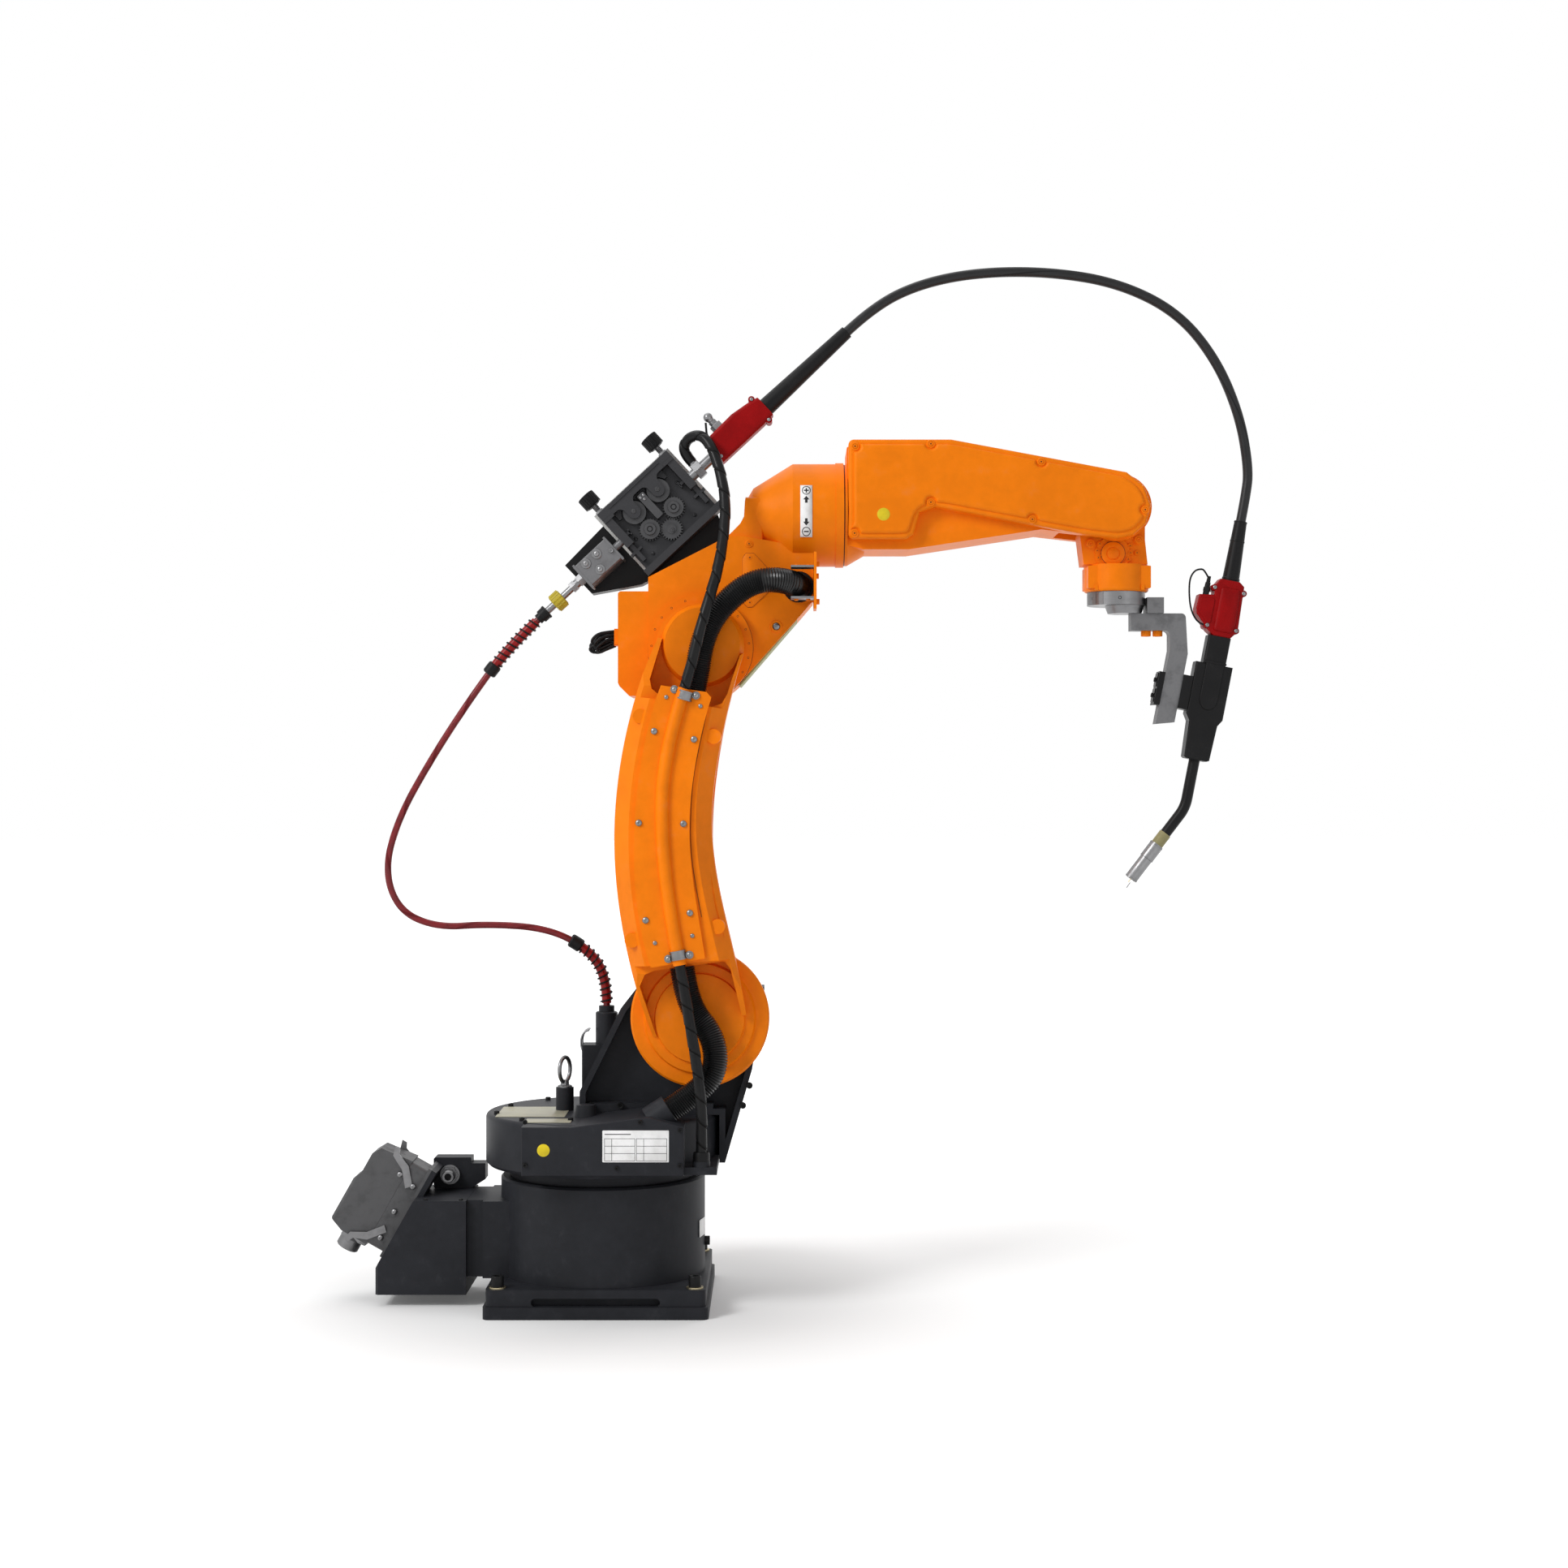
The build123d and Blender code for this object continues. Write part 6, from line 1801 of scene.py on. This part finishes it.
@dataclass
class LinerSleeve(Assembly):
    """A spring-wound sleeve with its ferrule at one end of the liner hose."""

    name: str = "feeder"
    path: Sequence[Vector] = ()
    start: float = 0.004
    middle: float = 0.094
    end: float = 0.112
    sleeve_radius: float = 0.0074
    spring_radius: float = 0.009
    spring_pitch: float = 0.0094
    spring_wire: float = 0.0013
    ferrule_radius: float = 0.0106

    def build(self) -> None:
        """Build the sleeve, its spring and its ferrule."""
        sleeve = Shape().tube(part_of_path(self.path, self.start, self.middle), self.sleeve_radius, 20)
        self.add(self.name + "_sleeve", Finish.BRIGHT_RED, sleeve)
        run = part_of_path(self.path, self.start + 0.002, self.middle - 0.001)
        spring = Shape().tube(coil(run, self.spring_radius, self.spring_pitch), self.spring_wire, 8)
        self.add(self.name + "_spring", Finish.BLACK, spring)
        run = part_of_path(self.path, self.middle, self.end)
        radii = [0.0092, *[self.ferrule_radius] * (len(run) - 2), 0.0088]
        self.add(self.name + "_ferrule", Finish.RUBBER, Shape().tube(run, radii, 24))


@dataclass
class ForearmDetails(Assembly):
    """The raised panel, its screws with painted shade in their pits, and the plain sign disc of the forearm
    cover.
    """

    body: Body = Body.FOREARM
    face: float = -78.0
    lip: float = 0.0075
    bulge: float = 0.0046
    bite: float = 0.0082
    corners: Points = (
        (372.3, -43), (459, -43), (470, -36), (479, -3), (503, 5), (723, -36), (775, -42), (799, -37),
        (818, -20), (825, 8), (815, 36), (789, 57), (526, 106), (372.3, 106),
    )
    screw_pixels: Points = (
        (1053.7, 550), (1147, 547), (1283, 569), (1411, 628), (1272, 640), (1147, 619), (1053, 657),
    )

    def build(self) -> None:
        """Build every piece of the forearm."""
        spots = near_spots(self.face, *self.screw_pixels)
        self.fix("forearm_bosses", Head.BOSS, Finish.ORANGE, 0.0056, spots)
        # Dark orange pits on the bosses are painted shade in the screws' sockets.
        self.fix("forearm_screws", Head.PIT, Finish.SEAM, 0.0024, raised(spots, 0.0019))
        outline = soften([(x * MM, z * MM) for x, z in self.corners], 0.016)
        inner = resample(inset(resample(outline, 0.002), self.lip), 0.0012)
        screws = [Vector((spot.x, spot.z - ROLL_Z * MM)) for spot, _ in spots]
        inner = eased(resample(scalloped(inner, screws, self.bite), 0.0014), 3)
        panel = Shape().pillow(frame_at(mm(0, self.face, ROLL_Z), NEAR), inner, self.bulge, 0.0052)
        self.add("forearm_panel", Finish.ORANGE, panel, 50)
        spot = seen(1088.5, 634, self.face) + NEAR * (self.bulge - 0.0001)
        disc = [(0.0096, 0), (0.0096, 0.0004), (0.0092, 0.0006), (0, 0.0006)]
        self.add("forearm_disc", Finish.YELLOW, Shape().lathe(frame_at(spot, NEAR), disc, 36))
        seam = [(0.0768, -0.0012), (0.0772, -0.0012), (0.0772, 0.0), (0.0768, 0.0), (0.0768, -0.0012)]
        place = frame_at(mm(366.3, 0, ROLL_Z), -AHEAD, UP)
        self.add("roll_seam", Finish.BLACK, Shape().lathe(place, seam, 72))


@dataclass
class WristDetails(Assembly):
    """The hub cap, ring screws and side pads of the wrist housing, with painted shade round the feet of the
    cap and lugs and in the ring screws' sockets.
    """

    body: Body = Body.WRIST
    neck_face: float = -29.0
    boss_face: float = -34.0
    hub: Point = (774.0, 1132.0)
    ring_pixels: Points = (
        (1355, 670), (1352, 678.5), (1353.5, 687), (1392.5, 672.5), (1393, 681), (1390, 689), (1401, 681),
    )
    flange: Points = ((0.0268, -0.0005), (0.0268, 0.0012), (0.0258, 0.0022), (0, 0.0022))
    cap: Points = (
        (0.0182, -0.001), (0.018, 0.0004), (0.0168, 0.0012), (0.0104, 0.0013), (0.0096, 0.0006),
        (0.009, 0.0006), (0.0088, 0.0018), (0.008, 0.0023), (0, 0.0023),
    )
    pads: Points = ((744.5, 748.5), (822.5, 818.5))
    low_reach: float = 0.04312
    low_turns: tuple[float, ...] = (0.6, 2.5, 3.8, 5.6)

    def build(self) -> None:
        """Build every piece of the wrist."""
        x, z = self.hub
        hub = Shape().lathe(frame_at(mm(x, self.neck_face, z), NEAR), self.flange, 56)
        hub.lathe(frame_at(mm(x, self.boss_face, z), NEAR), self.cap, 48)
        self.add("wrist_hub_cap", Finish.ORANGE, hub)
        ring = near_spots(self.neck_face - 2.4, *self.ring_pixels)
        self.fix("wrist_ring_screws", Head.BOSS, Finish.ORANGE, 0.0034, ring)
        # A dark orange disc under the hub cap: painted shade round its foot, partly a gap line.
        seat = aimed(NEAR, [(x, self.boss_face + 0.3, z)])
        self.fix("wrist_hub_seat", Head.PIT, Finish.SEAM, 0.0187, seat)
        lugs = aimed(NEAR, [(740, self.boss_face, 1147), (813, self.boss_face, 1153)])
        # Dark orange rings under the lug bosses are painted shade round their feet.
        self.fix("wrist_lug_seats", Head.PIT, Finish.SEAM, 0.006, lugs)
        self.fix("wrist_lug_bosses", Head.BOSS, Finish.ORANGE, 0.0054, lugs)
        # Black discs in the ring screws' sockets are painted shade.
        self.fix("wrist_ring_pits", Head.PIT, Finish.BLACK, 0.0014, raised(ring, 0.0009))
        pads = Shape()
        for middle, foot in self.pads:
            pads.plate(frame_at(mm(middle, -36.5, 1096.5), -NEAR), (0.017, 0.034), 0.0016, 0.073)
            pads.plate(frame_at(mm(foot, -38.0, 1080.5), -NEAR), (0.005, 0.008), 0.0008, 0.076)
        self.add("wrist_pads", Finish.ORANGE, pads)
        low = [mm(WRIST_X, 0, 1079.0) + polar(self.low_reach, turn).to_3d() for turn in self.low_turns]
        self.fix("wrist_low_screws", Head.SOCKET, Finish.ORANGE, 0.003, [(spot, -UP) for spot in low])


@dataclass
class TorchDetails(Assembly):
    """Screws, lugs, panel, plug and lead of the torch and its bracket."""

    body: Body = Body.TOOL
    face: float = -18.0
    lug_face: float = -0.0175
    nozzle_tilt: float = TORCH.tilt - 26.4
    flange_radius: float = 0.0437
    lug_pixels: Points = ((1497, 723.5), (1532.5, 731.5), (1487.5, 770), (1523.0, 777.5))
    side: Points = (
        (-0.0405, 0.0755), (-0.0245, 0.06), (-0.0185, 0.06), (-0.0185, 0.0985), (-0.0405, 0.0965),
    )
    barrel: Points = (
        (-0.013, 0.05), (0.015, 0.05), (0.0195, 0.06), (0.017, 0.118), (-0.013, 0.118),
    )
    lead: Points = (
        (921.7, 1096.7), (915.5, 1109), (909.4, 1110.3), (900.7, 1107.8), (893.3, 1096.1), (892.1, 1075.7),
        (893.9, 1053.5), (899.5, 1037.4), (908.1, 1027.5), (915.5, 1025.1),
    )
    plug: Points = (
        (0.0048, -0.004), (0.0048, 0.006), (0.0054, 0.007), (0.0054, 0.012), (0.0042, 0.0135),
        (0.004, 0.02), (0.0032, 0.021), (0.0026, 0.03),
    )

    def build(self) -> None:
        """Build every piece of the torch and of the tool flange."""
        self._body_panel()
        self._connector()
        lead = Shape().tube(line_points([mm(x, -15, z) for x, z in self.lead]), 0.0014, 10)
        lead.lathe(frame_at(mm(917.6, -12, 1070.0), TORCH.along + NEAR * 0.06, NEAR), self.plug, 24)
        self.add("sensor_lead", Finish.RUBBER, lead)
        self._rings()
        low = aimed(-UP, [(828.6, 0, 1016.7), (846.4, 0, 1016.7)])
        self.fix("bracket_low_screws", Head.SOCKET, Finish.ORANGE, 0.0076, low)
        jaw = [(TORCH.spot(-80.2, q, 0), -TORCH.across) for q in (-39, -63)]
        self.fix("clamp_side_screws", Head.SOCKET, Finish.BLACK, 0.0036, jaw)
        self._flange_marks()

    def _body_panel(self) -> None:
        """Make the raised panel on the torch body and the ribs of the clamp."""
        front = TORCH.place(0, 0, self.face)
        arch = [math.pi + math.pi * step / 12 for step in range(13)]
        outline = [Vector((-0.0135, 0.001)), Vector((-0.0135, -0.052))]
        outline += [Vector((0.0005 + 0.014 * math.cos(a), -0.052 + 0.019 * math.sin(a))) for a in arch]
        outline += [Vector((0.0145, -0.052)), Vector((0.0145, 0.001))]
        shape = Shape().pillow(front, resample(outline, 0.0012), 0.0022, 0.0022)
        for q in (-33, -45, -57, -69):
            shape.plate(TORCH.place(-80.0, q, -12), (0.003, 0.009), 0.001, -0.024)
        shape.plate(TORCH.place(0, 2.0, -17.9), (0.035, 0.003), 0.0008, 0.0012)
        self.add("torch_panel", Finish.BLACK, shape, 45)

    def _connector(self) -> None:
        """Make the screw lugs and the raised side panels of the red connector."""
        pairs = near_spots(self.face, *self.lug_pixels)
        spots = [Vector((spot.x, self.lug_face, spot.z)) for spot, _ in pairs]
        front = TORCH.place(0, 0, self.face)
        shape = Shape()
        for spot in spots:
            lug = [(0.0042, 0), (0.005, 0.0008), (0.005, 0.0342), (0.0042, 0.035)]
            shape.lathe(frame_at(spot, -NEAR), lug, 24)
        shape.pillow(front, resample(soften(self.side, 0.003), 0.001), 0.0014, 0.0016)
        shape.pillow(front, resample(soften(self.barrel, 0.005), 0.0012), 0.0044, 0.012)
        self.add("connector_lugs", Finish.RED, shape, 45)
        self.fix("connector_screws", Head.PAN, Finish.STEEL, 0.0031, [(spot, NEAR) for spot in spots])

    def _rings(self) -> None:
        """Make the stepped rings of the torch boot and the turned steps of the gas nozzle."""
        boot, nozzle = Shape(), Shape()
        for q, radius, length in ((131.5, 0.0136, 0.004), (190.5, 0.0112, 0.0032), (220.5, 0.0101, 0.0026)):
            place = TORCH.stand(2 * (223 - q) / 93, q, 0)
            inner, top = radius - 0.0006, length - 0.0006
            boot.lathe(place, [(inner, 0), (radius, 0.0006), (radius, top), (inner, length)], 36)
        self.add("boot_rings", Finish.RUBBER, boot)
        turn = math.radians(self.nozzle_tilt)
        down = Vector((math.sin(turn), 0, -math.cos(turn)))
        steps = ((72.0, 0.0114, 0.002), (95.8, 0.0113, 0.0022), (134.2, 0.0104, 0.0022))
        for distance, radius, length in steps:
            place = frame_at(TORCH.spot(0, -222, 0) + down * (distance * MM), down, NEAR)
            inner, top = radius - 0.0008, length - 0.0005
            nozzle.lathe(place, [(inner, 0), (radius, 0.0005), (radius, top), (inner, length)], 40)
        nozzle.tube([mm(804.6, 0, 632.5), mm(799.0, 0, 624.3)], 0.0008, 10)
        self.add("nozzle_rings", Finish.BRIGHT, nozzle)

    def _flange_marks(self) -> None:
        """Make the flat facets and the ring of small pits on the tool flange."""
        middle = mm(WRIST_X, 0, FLANGE_Z)
        facets = Shape()
        for degrees in (232, 214):
            out = polar(1.0, math.radians(degrees)).to_3d()
            facets.plate(frame_at(middle + out * self.flange_radius, out), (0.007, 0.019), 0.0006, 0.0006)
        self.add("flange_facets", Finish.STEEL, facets)
        aims = [polar(1.0, angle).to_3d() for angle in turns(6, 0.5)]
        pins = [(middle + out * (self.flange_radius + 0.0002), out) for out in aims]
        self.fix("flange_pins", Head.PIT, Finish.BLACK, 0.0026, pins)


@dataclass
class ClampDetails(Assembly):
    """The saddle clamps over the hose channel."""

    body: Body = Body.ARM
    cover_face: float = -146.0
    bore: float = 0.0102
    saddles: tuple = (((843.5, 857), (-0.276, 0, -0.961)), ((835.5, 1177), (0.173, 0, -0.985)))
    bands: Points = (
        (-0.0062, 0.0124, 0.0117), (-0.0068, 0.0022, 0.0123), (0.0046, 0.0022, 0.0123),
    )

    def build(self) -> None:
        """Build both clamps as one piece."""
        shape = Shape()
        for pixel, way in self.saddles:
            run = Vector(way)
            for start, length, outer in self.bands:
                place = frame_at(seen(*pixel, self.cover_face) + run * start, run, NEAR)
                shape.prism(place, half_ring(outer, self.bore), length, 0.0003)
        for spot, _ in near_spots(self.cover_face, *CLAMP_EARS):
            shape.lathe(frame_at(spot, NEAR), [(0.006, -0.0004), (0.006, 0.0016), (0.0055, 0.0021)], 28)
        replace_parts(self.add("saddle_clamps", Finish.STEEL, shape), "arm_clamps")


@dataclass
class LiftingEye(Assembly):
    """The lifting eye, turned as the photograph shows it."""

    body: Body = Body.TURRET
    turn: float = 24.0
    half_width: float = 0.0165
    bar: float = 0.0031
    foot_height: float = 0.0075
    spare: float = 0.0105
    steps: int = 40
    foot: Points = (
        (0.011, 0), (0.011, 0.0022), (0.0098, 0.0032), (0.0068, 0.0034), (0.0062, 0.0088), (0.0044, 0.0112),
    )

    def build(self) -> None:
        """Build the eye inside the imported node's box."""
        low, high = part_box("lifting_eye")
        middle = (Vector(low) + Vector(high)) / 2
        foot = Vector((middle.x, middle.y, low[2]))
        turn = math.radians(self.turn)
        across = Vector((math.sin(turn), math.cos(turn), 0))
        reach = (high[2] - low[2] - self.spare) / 2
        centre = foot + UP * (self.foot_height + reach)
        path = []
        for step in range(self.steps + 1):
            angle = math.tau * step / self.steps - math.pi / 2
            side = across * (self.half_width * math.cos(angle))
            path.append(centre + side + UP * ((reach - 0.0004) * math.sin(angle)))
        shape = Shape().tube(path, self.bar, 14).lathe(frame_at(foot, UP, NEAR), self.foot)
        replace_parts(self.add("turned_lifting_eye", Finish.STEEL, shape, 50), "lifting_eye")


@dataclass
class NeckDetails(Assembly):
    """The web between the elbow casting and the roll housing, and the housing's rim."""

    body: Body = Body.ELBOW
    face: float = -44.0
    depth: float = 0.09
    round: float = 0.007
    web: Points = (
        (892, 667), (895, 661.5), (912, 645), (918.4, 632), (918.6, 612), (940, 612), (940, 672), (892, 672),
    )
    rim: Points = (
        (0.0764, 0.0012), (0.0786, 0.0016), (0.0788, 0.01), (0.0772, 0.012), (0.076, 0.0122),
    )

    def build(self) -> None:
        """Build the web and the rim as one piece."""
        place = frame_at(mm(0, self.face, 0), NEAR)
        corners = near_spots(self.face, *reversed(self.web))
        outline = [(place.inverted() @ corner).xy for corner, _ in corners]
        web = Shape().prism(place @ Matrix.Translation((0, 0, -self.depth)), outline, self.depth, self.round)
        web.lathe(frame_at(mm(366, 0, ROLL_Z), -AHEAD, UP), self.rim, 88)
        self.add("neck_web", Finish.ORANGE, web, 40)


@dataclass
class FarCover(Assembly):
    """One raised cover on a far face, with screws inside its corners."""

    name: str = "far_cover"
    origin: tuple[float, float] = (0.0, 0.0)
    face: float = 0.0
    lip: float = 0.0
    height: float = 3.0
    corners: Points = ()
    corner_round: float = 0.014
    shoulder: float = 0.004
    screw_inset: float = 11.0
    screw_radius: float = 0.0042

    def build(self) -> None:
        """Build the cover and its screws."""
        x, z = self.origin
        outline = soften([(-u * MM, v * MM) for u, v in reversed(self.corners)], self.corner_round)
        inner = resample(inset(resample(outline, 0.002), self.lip * MM), 0.0022)
        place = frame_at(mm(x, self.face, z), -NEAR)
        cover = Shape().pillow(place, inner, self.height * MM, self.shoulder)
        self.add(self.name, Finish.ORANGE, cover, 50)
        corners = [Vector(corner) for corner in self.corners]
        middle = sum(corners, Vector((0, 0))) / len(corners)
        inward = self.lip + self.screw_inset
        spots = [corner + (middle - corner).normalized() * inward for corner in corners[::2]]
        screws = aimed(-NEAR, [(x + spot.x, self.face + self.height, z + spot.y) for spot in spots])
        self.fix(self.name + "_screws", Head.PAN, Finish.STEEL, self.screw_radius, screws)


@dataclass
class ElbowCap(Assembly):
    """The round cap with its screws on the elbow's far side."""

    body: Body = Body.ELBOW
    face: float = 64.0
    screw_face: float = 71.2
    screw_ring: float = 0.04
    screws: int = 8
    screw_radius: float = 0.0036
    profile: Points = (
        (0.052, -0.001), (0.052, 0.004), (0.049, 0.007), (0.03, 0.008), (0.029, 0.0065), (0.012, 0.0065),
    )

    def build(self) -> None:
        """Build the cap and its screws."""
        place = frame_at(mm(ELBOW_X, self.face, ELBOW_Z), -NEAR)
        self.add("elbow_far_cap", Finish.ORANGE, Shape().lathe(place, self.profile, 64))
        centre = mm(ELBOW_X, self.screw_face, ELBOW_Z)
        spots = ring_spots(centre, self.screw_ring, turns(self.screws, 0.5), -NEAR)
        self.fix("elbow_cap_screws", Head.SOCKET, Finish.STEEL, self.screw_radius, spots)


def assemblies(shop: Workshop, liner: Sequence[Vector]) -> list[Assembly]:
    """List the sub-assemblies in building order.

    Args:
        shop: The workshop that dresses their pieces.
        liner: Points of the liner hose, from the feeder to the turret.

    Returns:
        The sub-assemblies, not yet built.
    """
    back = list(reversed(liner))
    return [
        BaseDetails(shop),
        TurretDetails(shop),
        ArmDetails(shop),
        ElbowDetails(shop),
        FeederDetails(shop),
        LinerSleeve(shop, Body.ELBOW, "feeder", liner),
        LinerSleeve(shop, Body.TURRET, "socket", back, middle=0.104, end=0.124),
        ForearmDetails(shop),
        WristDetails(shop),
        TorchDetails(shop),
        ClampDetails(shop),
        LiftingEye(shop),
        NeckDetails(shop),
        FarCover(
            shop, Body.FOREARM, "forearm_far_cover", (0, ROLL_Z), 58, 9, 3,
            (
                (385, -43), (470, -40), (500, -8), (723, -30), (799, -30), (825, 8), (815, 36), (789, 57),
                (526, 106), (385, 106),
            ),
        ),
        FarCover(
            shop, Body.ELBOW, "elbow_far_cover", (ELBOW_X, ELBOW_Z), 62, 6, 3,
            (
                (62, -38), (150, 56), (160, 78), (160, 140), (70, 158), (38, 158), (-66, 100), (-66, 4),
                (-40, -46),
            ),
        ),
        FarCover(
            shop, Body.ARM, "arm_back_cover", (ELBOW_X, 433), -60, 2, 1.4,
            (
                (18, 94), (-2, 160), (-14, 250), (-6, 350), (6, 448), (-50, 448), (-70, 350), (-78, 250),
                (-66, 160), (-52, 94),
            ),
        ),
        ElbowCap(shop),
    ]


def main() -> None:
    """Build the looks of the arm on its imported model."""
    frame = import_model()
    Studio().build()
    shop = Workshop()
    cords = {cord.name: cord for cord in arm_cords()}
    for cord in cords.values():
        cord.build(shop)
    for finish, names in NODE_FINISH.items():
        for name in names.split():
            shop.coat(frame["nodes"][name], finish)
    for assembly in assemblies(shop, cords["liner_hose"].path):
        assembly.build()
    shop.clear()


if __name__ == "__main__":
    main()
